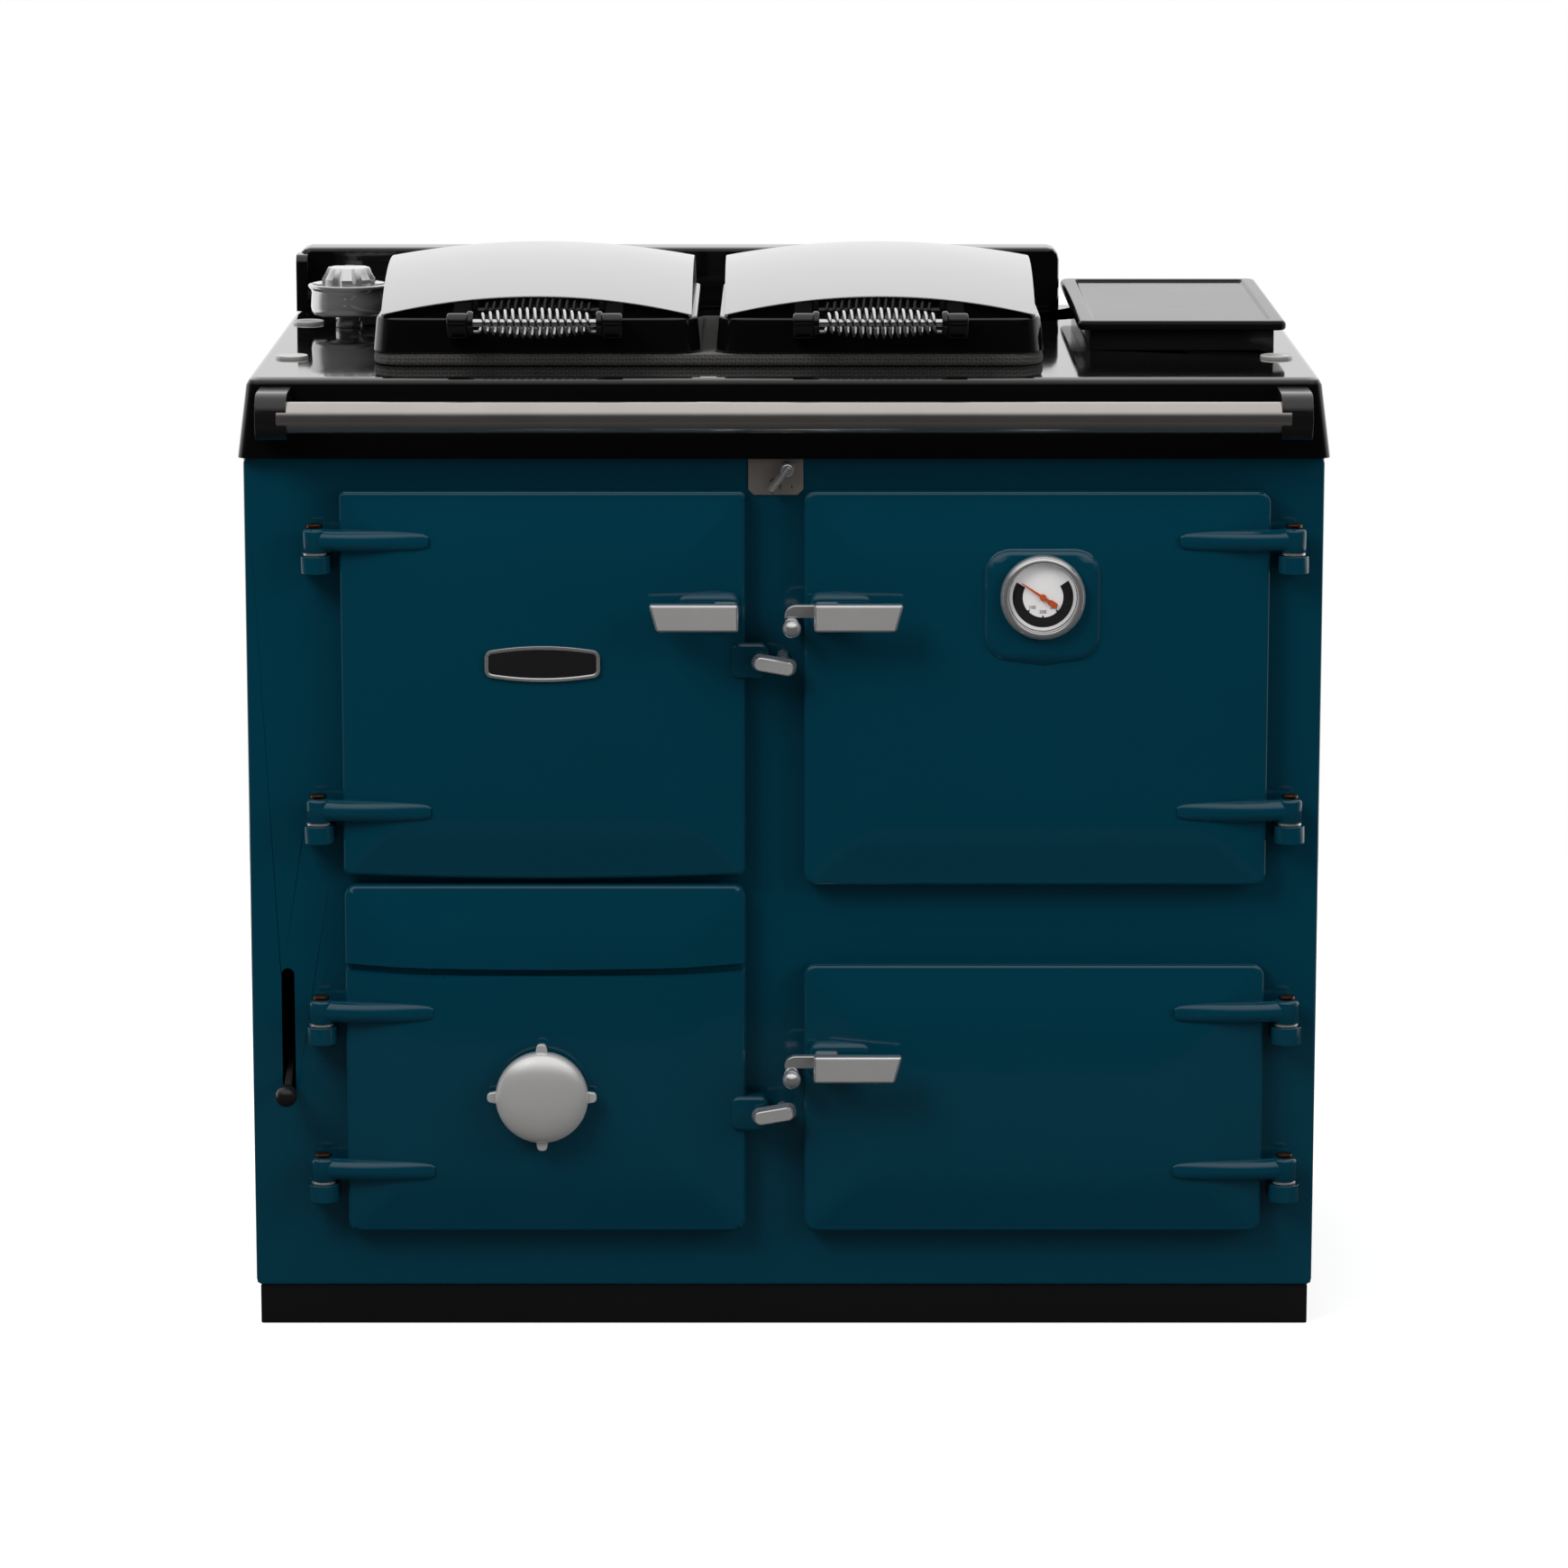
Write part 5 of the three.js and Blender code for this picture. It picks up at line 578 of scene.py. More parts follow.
CHROME = Polished("chrome", (0.82, 0.82, 0.83, 1.0), (0.72, 0.72, 0.73, 1.0), roughness=0.09,
                  metallic=0.85)
DOME_STEEL = Polished("polished_dome_steel", (0.74, 0.74, 0.74, 1.0), (0.70, 0.70, 0.70, 1.0),
                      roughness=0.20, marks=0.02)
BRUSHED = Brushed("brushed_steel", (0.62, 0.61, 0.59, 1.0), (0.46, 0.45, 0.44, 1.0), roughness=0.30)
WHEEL_PLATE = Polished("wheel_plate", (0.84, 0.83, 0.81, 1.0), (0.76, 0.75, 0.73, 1.0), roughness=0.24,
                       metallic=0.60)
PLATE_STEEL = Brushed("plate_steel", (0.36, 0.32, 0.29, 1.0), (0.25, 0.22, 0.20, 1.0), roughness=0.30)
RAIL_STEEL = Polished("rail_steel", (0.62, 0.58, 0.55, 1.0), (0.50, 0.46, 0.43, 1.0), roughness=0.17,
                      metallic=0.93)
BRONZE = Polished("bronze", (0.36, 0.16, 0.085, 1.0), (0.20, 0.085, 0.045, 1.0), roughness=0.28)
SATIN = Polished("satin_plate", (0.64, 0.63, 0.62, 1.0), (0.54, 0.53, 0.52, 1.0), roughness=0.28,
                 metallic=0.55)
WIRE = Polished("bright_wire", (0.86, 0.86, 0.86, 1.0), (0.72, 0.72, 0.72, 1.0), roughness=0.13)
IRON = Casting("raw_casting", (0.050, 0.047, 0.045, 1.0), (0.022, 0.021, 0.020, 1.0), roughness=0.62)
SHEET = Casting("dark_sheet", (0.105, 0.105, 0.108, 1.0), (0.055, 0.056, 0.058, 1.0), roughness=0.42,
                metallic=0.75, relief=0.08)
GROUND_IRON = Brushed("ground_iron", (0.22, 0.215, 0.21, 1.0), (0.12, 0.118, 0.115, 1.0), roughness=0.34)
# The rope's second colour is painted shade for the valleys of its braid.
ROPE = Rope("seal_rope", (0.070, 0.068, 0.064, 1.0), (0.012, 0.012, 0.011, 1.0))
GLASS = Pane()
DIAL_WHITE = Painted("dial_white", (0.93, 0.92, 0.91, 1.0), (0.88, 0.87, 0.86, 1.0), roughness=0.5)
DIAL_INK = Painted("dial_ink", (0.010, 0.010, 0.011, 1.0), (0.018, 0.018, 0.019, 1.0), roughness=0.5)
NEEDLE = Painted("needle_red", (0.62, 0.10, 0.018, 1.0), (0.48, 0.070, 0.012, 1.0), roughness=0.4)
KNOB_BLACK = Painted("knob_black", (0.0060, 0.0060, 0.0065, 1.0), (0.0095, 0.0095, 0.0100, 1.0),
                     roughness=0.22)
BADGE_BLACK = Painted("badge_field", (0.0080, 0.0080, 0.0090, 1.0), (0.0130, 0.0130, 0.0140, 1.0),
                      roughness=0.30)


# --------------------------------------------------------------- modelling moves
class Axis(Enum):
    """Directions that a turned piece can stand along."""

    X = (1.0, 0.0, 0.0)
    Y = (0.0, 1.0, 0.0)
    Z = (0.0, 0.0, 1.0)


def metres(*values: float) -> tuple[float, ...]:
    """Millimetres as scene units."""
    return tuple(value * MM for value in values)


def object_mode() -> None:
    """Leaves edit mode and deselects everything."""
    if bpy.context.mode != "OBJECT":
        bpy.ops.object.mode_set(mode="OBJECT")
    bpy.ops.object.select_all(action="DESELECT")


def take(piece: Object) -> Object:
    """Makes one piece the only selected and active one.

    Args:
        piece: The piece.

    Returns:
        The same piece.
    """
    object_mode()
    piece.select_set(True)
    bpy.context.view_layer.objects.active = piece
    return piece


def edit(piece: Object, kind: str = "FACE", everything: bool = True) -> None:
    """Opens a piece in edit mode with all of it, or nothing, selected.

    Args:
        piece: The piece.
        kind: VERT, EDGE or FACE.
        everything: Whether all of it starts selected.
    """
    take(piece)
    bpy.ops.object.mode_set(mode="EDIT")
    bpy.ops.mesh.select_mode(type=kind)
    bpy.ops.mesh.select_all(action="SELECT" if everything else "DESELECT")


def settle(piece: Object, name: str) -> Object:
    """Names a piece and moves its place into its mesh.

    Args:
        piece: The piece.
        name: Its new name.

    Returns:
        The same piece.
    """
    take(piece)
    piece.name = name
    piece.data.name = name
    bpy.ops.object.transform_apply(location=True, rotation=True, scale=True)
    return piece


def pick_faces(piece: Object, test: Callable[[Vector, Vector], bool]) -> int:
    """Selects faces by their middle in millimetres and their normal.

    Args:
        piece: The piece, which is left in edit mode.
        test: Says of a face's middle and normal whether it is wanted.

    Returns:
        How many faces are selected.
    """
    edit(piece, "FACE", everything=False)
    bpy.ops.object.mode_set(mode="OBJECT")
    mesh = piece.data
    for face in mesh.polygons:
        face.select = bool(test(face.center / MM, face.normal))
    chosen = sum(face.select for face in mesh.polygons)
    bpy.ops.object.mode_set(mode="EDIT")
    return chosen


def pick_edges(piece: Object, test: Callable[[Vector, Vector], bool]) -> int:
    """Selects edges by their two ends in millimetres, and returns how many.

    Args:
        piece: The piece.
        test: Says of two ends whether their edge is wanted.

    Returns:
        How many are selected.
    """
    edit(piece, "EDGE", everything=False)
    bpy.ops.object.mode_set(mode="OBJECT")
    mesh = piece.data
    for line in mesh.edges:
        a, b = (mesh.vertices[i].co / MM for i in line.vertices)
        line.select = bool(test(a, b))
    chosen = sum(line.select for line in mesh.edges)
    bpy.ops.object.mode_set(mode="EDIT")
    return chosen


def pick_corners(piece: Object, test: Callable[[Vector], bool]) -> int:
    """Selects vertices by their place in millimetres, and returns how many.

    Args:
        piece: The piece.
        test: Says of a place whether it is wanted.

    Returns:
        How many are selected.
    """
    edit(piece, "VERT", everything=False)
    bpy.ops.object.mode_set(mode="OBJECT")
    mesh = piece.data
    for corner in mesh.vertices:
        corner.select = bool(test(corner.co / MM))
    chosen = sum(corner.select for corner in mesh.vertices)
    bpy.ops.object.mode_set(mode="EDIT")
    return chosen


def slide(x: float = 0.0, y: float = 0.0, z: float = 0.0) -> None:
    """Moves what is selected, in millimetres."""
    bpy.ops.transform.translate(value=metres(x, y, z))


def swell(x: float, y: float, z: float, centre: Point) -> None:
    """Scales what is selected about a place in millimetres."""
    bpy.ops.transform.resize(value=(x, y, z), center_override=metres(*centre))


def round_edges(radius: float, segments: int = 3) -> None:
    """Bevels the selected edges."""
    bpy.ops.mesh.bevel(offset=radius * MM, segments=segments, affect="EDGES", clamp_overlap=True)


def block(name: str, x: Sequence[float], y: Sequence[float], z: Sequence[float]) -> Object:
    """A square block between two corners, as a first step of a piece.

    Args:
        name: The piece's name.
        x: Its left and right sides, in millimetres.
        y: Its front and back.
        z: Its foot and top.

    Returns:
        The block, with its place in its mesh.
    """
    object_mode()
    middle = [(low + high) / 2 for low, high in (x, y, z)]
    sides = [high - low for low, high in (x, y, z)]
    bpy.ops.mesh.primitive_cube_add(size=1.0, location=metres(*middle), scale=metres(*sides))
    return settle(bpy.context.object, name)


def rounded_block(name: str, x: Sequence[float], y: Sequence[float], z: Sequence[float],
                  axis: Axis, corner: float, segments: int = 6) -> Object:
    """A block whose four edges along one axis are rounded.

    Args:
        name: Its name.
        x: Its left and right.
        y: Its front and back.
        z: Its foot and top.
        axis: Which edges are rounded.
        corner: Their radius.
        segments: Steps of each round.

    Returns:
        The block.
    """
    piece = block(name, x, y, z)
    along = Vector(axis.value)
    pick_edges(piece, lambda a, b: abs((b - a).normalized().dot(along)) > 0.99)
    round_edges(corner, segments)
    object_mode()
    return piece


def lathe(name: str, profile: Sequence[tuple[float, float]], axis: Axis, centre: Point,
          steps: int = 48) -> Object:
    """A body turned from a profile, as on a lathe.

    Args:
        name: The piece's name.
        profile: Radius and distance along the axis of each point, in millimetres.
        axis: The axis that it is turned about.
        centre: A place on that axis.
        steps: Sides of the finished round.

    Returns:
        The turned piece.
    """
    along = Vector(axis.value)
    out = Vector((0.0, 0.0, 1.0)) if axis is not Axis.Z else Vector((1.0, 0.0, 0.0))
    spots = [Vector(centre) + out * radius + along * height for radius, height in profile]
    object_mode()
    bpy.ops.mesh.primitive_plane_add(size=0.001, location=metres(*spots[0]))
    piece = settle(bpy.context.object, name)
    edit(piece, "VERT")
    bpy.ops.mesh.merge(type="CENTER")
    for before, after in zip(spots, spots[1:]):
        step = (after - before) * MM
        bpy.ops.mesh.extrude_vertices_move(TRANSFORM_OT_translate={"value": step})
    bpy.ops.mesh.select_all(action="SELECT")
    bpy.ops.mesh.spin(steps=steps, angle=2 * math.pi, center=metres(*centre), axis=axis.value)
    tidy_shell(piece)
    return piece


def tidy_shell(piece: Object, gap: float = 0.004) -> Object:
    """Merges doubled corners of a piece and turns its faces outwards.

    Args:
        piece: The piece.
        gap: Corners nearer than this are merged.

    Returns:
        The same piece.
    """
    edit(piece, "VERT")
    bpy.ops.mesh.remove_doubles(threshold=gap * MM)
    bpy.ops.mesh.normals_make_consistent(inside=False)
    object_mode()
    return piece


def arc(middle: tuple[float, float], radius: float, start: float, end: float,
        steps: int = 6) -> list[tuple[float, float]]:
    """Points on an arc of a lathe profile, angles in degrees from the radius direction."""
    turns = [math.radians(start + (end - start) * i / steps) for i in range(steps + 1)]
    return [(middle[0] + radius * math.cos(a), middle[1] + radius * math.sin(a)) for a in turns]


def soften(piece: Object, width: float, segments: int = 2, angle: float = 30.0) -> Object:
    """Rounds every edge of a piece sharper than an angle, with an applied modifier.

    Args:
        piece: The piece.
        width: Width of the rounding.
        segments: Its steps.
        angle: Least angle in degrees.

    Returns:
        The same piece.
    """
    take(piece)
    bpy.ops.object.modifier_add(type="BEVEL")
    bevel = piece.modifiers[-1]
    bevel.width = width * MM
    bevel.segments = segments
    bevel.limit_method = "ANGLE"
    bevel.angle_limit = math.radians(angle)
    bevel.miter_outer = "MITER_ARC"
    bpy.ops.object.modifier_apply(modifier=bevel.name)
    return piece


def smooth(piece: Object, angle: float = 40.0, weigh: bool = True) -> Object:
    """Shades a piece smooth up to an angle, with flat faces kept flat.

    Args:
        piece: The piece.
        angle: Most angle in degrees.
        weigh: Whether flat faces are kept flat.

    Returns:
        The same piece.
    """
    take(piece)
    bpy.ops.object.shade_smooth_by_angle(angle=math.radians(angle))
    if weigh:
        bpy.ops.object.modifier_add(type="WEIGHTED_NORMAL")
        weighted = piece.modifiers[-1]
        weighted.keep_sharp = True
        bpy.ops.object.modifier_apply(modifier=weighted.name)
    return piece


def join_pieces(first: Object, *others: Object) -> Object:
    """Joins pieces into the first one.

    Args:
        first: The piece that stays.
        *others: The pieces that go into it.

    Returns:
        The first piece.
    """
    object_mode()
    for piece in others:
        piece.select_set(True)
    first.select_set(True)
    bpy.context.view_layer.objects.active = first
    bpy.ops.object.join()
    return first


def carve(piece: Object, tool: Object) -> Object:
    """Cuts a tool's shape out of a piece and throws the tool away.

    Args:
        piece: The piece.
        tool: The shape to cut out.

    Returns:
        The same piece.
    """
    take(piece)
    bpy.ops.object.modifier_add(type="BOOLEAN")
    cut = piece.modifiers[-1]
    cut.operation = "DIFFERENCE"
    cut.solver = "EXACT"
    cut.object = tool
    bpy.ops.object.modifier_apply(modifier=cut.name)
    bpy.data.objects.remove(tool, do_unlink=True)
    return piece


def copy_of(piece: Object, name: str) -> Object:
    """A copy of a piece with a mesh of its own.

    Args:
        piece: The piece.
        name: Name of the copy.

    Returns:
        The copy.
    """
    made = piece.copy()
    made.data = piece.data.copy()
    made.name = name
    made.data.name = name
    bpy.context.scene.collection.objects.link(made)
    return made


def turn(piece: Object, degrees: float, axis: Axis, centre: Point) -> Object:
    """Turns a piece about an axis through a place, right-handed.

    Args:
        piece: The piece.
        degrees: How far.
        axis: Direction of the axis.
        centre: A place on it.

    Returns:
        The same piece.
    """
    spot = Vector(metres(*centre))
    spin = Matrix.Rotation(math.radians(degrees), 4, Vector(axis.value))
    piece.data.transform(Matrix.Translation(spot) @ spin @ Matrix.Translation(-spot))
    return piece


def shift(piece: Object, x: float = 0.0, y: float = 0.0, z: float = 0.0) -> Object:
    """Moves a piece's mesh, in millimetres."""
    piece.data.transform(Matrix.Translation(metres(x, y, z)))
    return piece


def from_node(node: str, name: str, edge: float, segments: int = 2, angle: float = 30.0,
              merge: bool = True) -> Object:
    """A piece that keeps a CAD node's form, with its edges rounded.

    Args:
        node: The node whose form it takes.
        name: The new piece's name.
        edge: Radius of the rounding, in millimetres.
        segments: Steps of the rounding.
        angle: Edges sharper than this are rounded, in degrees.
        merge: Whether faces in one plane become one face; not for a plate with many holes.

    Returns:
        The piece, smooth shaded.
    """
    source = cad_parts[node]
    made = bpy.data.objects.new(name, source.data.copy())
    made.data.name = name
    bpy.context.scene.collection.objects.link(made)
    edit(made, "VERT")
    bpy.ops.mesh.remove_doubles(threshold=0.02 * MM)
    bpy.ops.mesh.select_mode(type="FACE")
    bpy.ops.mesh.select_all(action="SELECT")
    if merge:
        bpy.ops.mesh.dissolve_limited(angle_limit=math.radians(1.0))
    soften(made, edge, segments, angle)
    smooth(made)
    return made


def cover(piece: Object, finish: Finish) -> Object:
    """Gives the whole piece one finish.

    Args:
        piece: The piece.
        finish: Its finish.

    Returns:
        The same piece.
    """
    piece.data.materials.clear()
    piece.data.materials.append(finish.material())
    return piece


def cover_where(piece: Object, finish: Finish, test: Callable[[Vector, Vector], bool]) -> None:
    """Gives some faces of a piece another finish, chosen by middle in millimetres and normal.

    Args:
        piece: The piece.
        finish: The other finish.
        test: Says of a middle and a normal whether the face gets it.
    """
    piece.data.materials.append(finish.material())
    index = len(piece.data.materials) - 1
    for face in piece.data.polygons:
        if test(face.center / MM, face.normal):
            face.material_index = index


class Slot(Enum):
    """The record's material slots."""

    TEAL = "teal_enamel"
    BLACK = "black_enamel"
    CHROME = "chrome"
    STEEL = "brushed_steel"
    BRONZE = "bronze"
    IRON = "raw_casting"
    SHEET = "sheet_steel"
    ROPE = "seal_rope"
    GLASS = "gauge_glass"
    NEEDLE = "needle_red"
    KNOB = "knob_black"


def fasten(piece: Object, body: str, slot: Slot, *nodes: str) -> Object:
    """Fastens a piece to its moving body and hides the CAD nodes that it stands for.

    Args:
        piece: The finished piece.
        body: The frame's body that it moves with.
        slot: The material slot it takes its finish from; not used.
        *nodes: The CAD nodes that it stands for.

    Returns:
        The same piece.
    """
    object_mode()
    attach(piece, body)
    if nodes:
        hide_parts(*nodes)
    LOG.info("%s on %s: %d faces", piece.name, body, len(piece.data.polygons))
    return piece


# --------------------------------------------------------------------- the shell
@dataclass
class Casing:
    """Plinth, front plate, sides, back and what stands inside them."""

    edge: float = 1.2
    plate_front: float = -269.0
    stud_reach: float = 7.3
    body: str = "cooker"

    def build(self) -> None:
        """Models and dresses every fixed piece of the casing."""
        self.plinth()
        self.front_plate()
        for node in ("left_side_panel", "right_side_panel"):
            panel = cover(from_node(node, f"{node}_enamel", 1.0), TEAL_SIDE)
            fasten(panel, self.body, Slot.TEAL, node)
        for node in ("back_panel", "main_oven_box", "lower_oven_box", "ash_pan"):
            sheet = cover(from_node(node, f"{node}_sheet", 0.6, 1), SHEET)
            fasten(sheet, self.body, Slot.SHEET, node)
        iron = cover(from_node("firebox", "firebox_casting", 1.4), IRON)
        fasten(iron, self.body, Slot.IRON, "firebox")
        grate = cover(from_node("grate", "grate_casting", 1.6), IRON)
        fasten(grate, "grate", Slot.IRON, "grate")
        for node in ("main_oven_shelf", "lower_oven_shelf"):
            shelf = cover(from_node(node, f"{node}_grid", 2.0), CHROME)
            fasten(shelf, self.body, Slot.CHROME, node)

    def plinth(self) -> None:
        """Black foot of the casing."""
        piece = cover(from_node("plinth", "plinth_enamel", self.edge), BLACK_CASTING)
        fasten(piece, self.body, Slot.BLACK, "plinth")

    def front_plate(self) -> None:
        """Enamelled front with its lugs; the studs are plated."""
        piece = cover(from_node("front_plate", "front_plate_enamel", 0.9, merge=False), TEAL)

        def stud(middle: Vector, _: Vector) -> bool:
            """A catch stud or a keeper in front of the plate.

            Args:
                middle: Middle of a face.
                _: Its normal, not used.

            Returns:
                Whether it is on a stud.
            """
            catch = min(abs(middle.z - UPPER_CATCH), abs(middle.z - LOWER_CATCH))
            keeper = min(abs(middle.z - UPPER_LATCH), abs(middle.z - LOWER_LATCH))
            near = min(math.hypot(middle.x - CATCH_X, catch), math.hypot(middle.x - KEEPER_X, keeper))
            return middle.y < self.plate_front and near < self.stud_reach

        cover_where(piece, CHROME, stud)
        fasten(piece, self.body, Slot.TEAL, "front_plate")


@dataclass
class TopPlate:
    """Top casting, splashback, hotplate and its rope seal."""

    seal_x: tuple[float, float] = (-378.0, 238.8)
    seal_y: tuple[float, float] = LID_Y
    seal_z: tuple[float, float] = (886.3, 896.8)
    seal_width: float = 15.0
    seal_corner: float = 30.0
    cap_places: tuple[tuple[float, float], ...] = ((-457.0, -116.3), (457.0, -116.3), (-464.0, 174.7))
    cap_reach: float = 15.5
    hob: float = HOB
    body: str = "cooker"

    def build(self) -> None:
        """Models the whole top."""
        top = cover(from_node("top_plate", "top_plate_enamel", 1.6, 3), BLACK)
        cover_where(top, SATIN, lambda middle, _: middle.z > self.hob + 0.6 and any(
            math.hypot(middle.x - x, middle.y - y) < self.cap_reach for x, y in self.cap_places))
        fasten(top, self.body, Slot.BLACK, "top_plate")
        splash = cover(from_node("splashback", "splashback_enamel", 2.2, 3), BLACK)
        fasten(splash, self.body, Slot.BLACK, "splashback")
        self.hotplate()
        self.seal()
        self.caps()

    def hotplate(self) -> None:
        """Ground hotplate, one casting with cooling ribs."""
        plate = cover(from_node("hotplate", "hotplate_casting", 1.5), IRON)
        cover_where(plate, GROUND_IRON, lambda middle, normal: normal.z > 0.9 and middle.z > self.hob - 1.0)
        fasten(plate, self.body, Slot.IRON, "hotplate")

    def seal(self) -> None:
        """Braided rope: a ring round the hotplate and a length between the lids."""
        x0, x1 = self.seal_x
        y0, y1 = self.seal_y
        ring = rounded_block("seal_rope_ring", self.seal_x, self.seal_y, self.seal_z, Axis.Z,
                             self.seal_corner, 8)
        middle = (x0 + x1) / 2
        half = self.seal_width / 2
        for span in ((x0 + 2 * half, middle - half), (middle + half, x1 - 2 * half)):
            hole = rounded_block("hole", span, (y0 + 2 * half, y1 - 2 * half), (880.0, 903.0), Axis.Z,
                                 self.seal_width, 6)
            carve(ring, hole)
        soften(ring, 3.6, 4, 50.0)
        cover(smooth(ring, 50.0, weigh=False), ROPE)
        fasten(ring, self.body, Slot.ROPE, "hotplate_seal")

    def caps(self) -> None:
        """Thin polished rings round the three cover caps."""
        ring = lathe("cover_cap_ring", [(12.6, 2.35), (13.4, 2.75), *arc((13.9, 1.9), 0.95, 90, -10, 4),
                                        (14.9, 0.05), (12.6, 0.05), (12.6, 2.35)],
                     Axis.Z, (0.0, 0.0, self.hob), 40)
        cover(smooth(ring, weigh=False), SATIN)
        for index, (x, y) in enumerate(self.cap_places):
            piece = shift(copy_of(ring, f"cover_cap_ring_{index}"), x, y)
            fasten(piece, self.body, Slot.CHROME)
        bpy.data.objects.remove(ring, do_unlink=True)


@dataclass
class FlueTop:
    """Flue box and its lift-off cover."""

    bore: float = 53.0
    wall: float = 8.2
    reach: tuple[float, float] = (318.0, 340.4)
    outlet: Point = (373.5, 0.0, 715.0)

    def build(self) -> None:
        """Collar and duct stay put; the cover lifts."""
        box = join_pieces(from_node("flue_box", "flue_box_casting", 1.0, 2), self.outlet_sleeve())
        fasten(cover(box, BLACK_CASTING), "cooker", Slot.BLACK, "flue_box")
        lid = cover(from_node("flue_cover", "flue_cover_plate", 1.0, 3), BLACK_COVER)
        fasten(lid, "flue_cover", Slot.BLACK, "flue_cover")

    def outlet_sleeve(self) -> Object:
        """True round of the outlet at the back, over the flat-sided spigot.

        Returns:
            The sleeve.
        """
        inner, outer = self.bore, self.bore + self.wall
        front, back = self.reach
        profile = [(inner, front), (outer, front), (outer, back - 0.9), (outer - 1.0, back),
                   (inner + 1.0, back), (inner, back - 0.9), (inner, front)]
        return smooth(lathe("outlet_sleeve", profile, Axis.Y, self.outlet, 72), 40.0)


@dataclass
class Handrail:
    """Bright steel bar across the front in two cast brackets."""

    radius: float = 14.0
    reach: float = 454.6
    axis_y: float = -326.5
    axis_z: float = 857.0

    def build(self) -> None:
        """Turns the bar and softens the brackets."""
        end = self.reach
        r = self.radius
        profile = [(0.0, -end), (r - 1.2, -end), (r, -end + 1.2), (r, -end / 2), (r, 0.0), (r, end / 2),
                   (r, end - 1.2), (r - 1.2, end), (0.0, end)]
        bar = lathe("handrail_bar", profile, Axis.X, (0.0, self.axis_y, self.axis_z), 64)
        cover(smooth(bar, 50.0), RAIL_STEEL)
        fasten(bar, "cooker", Slot.CHROME, "handrail")
        for node in ("left_rail_bracket", "right_rail_bracket"):
            bracket = cover(from_node(node, f"{node}_casting", 2.4, 4, 24.0), BLACK_CASTING)
            fasten(bracket, "cooker", Slot.BLACK, node)


# --------------------------------------------------------------------- the doors
class Side(Enum):
    """Which edge of a door its hinges are on."""

    LEFT = -1
    RIGHT = 1


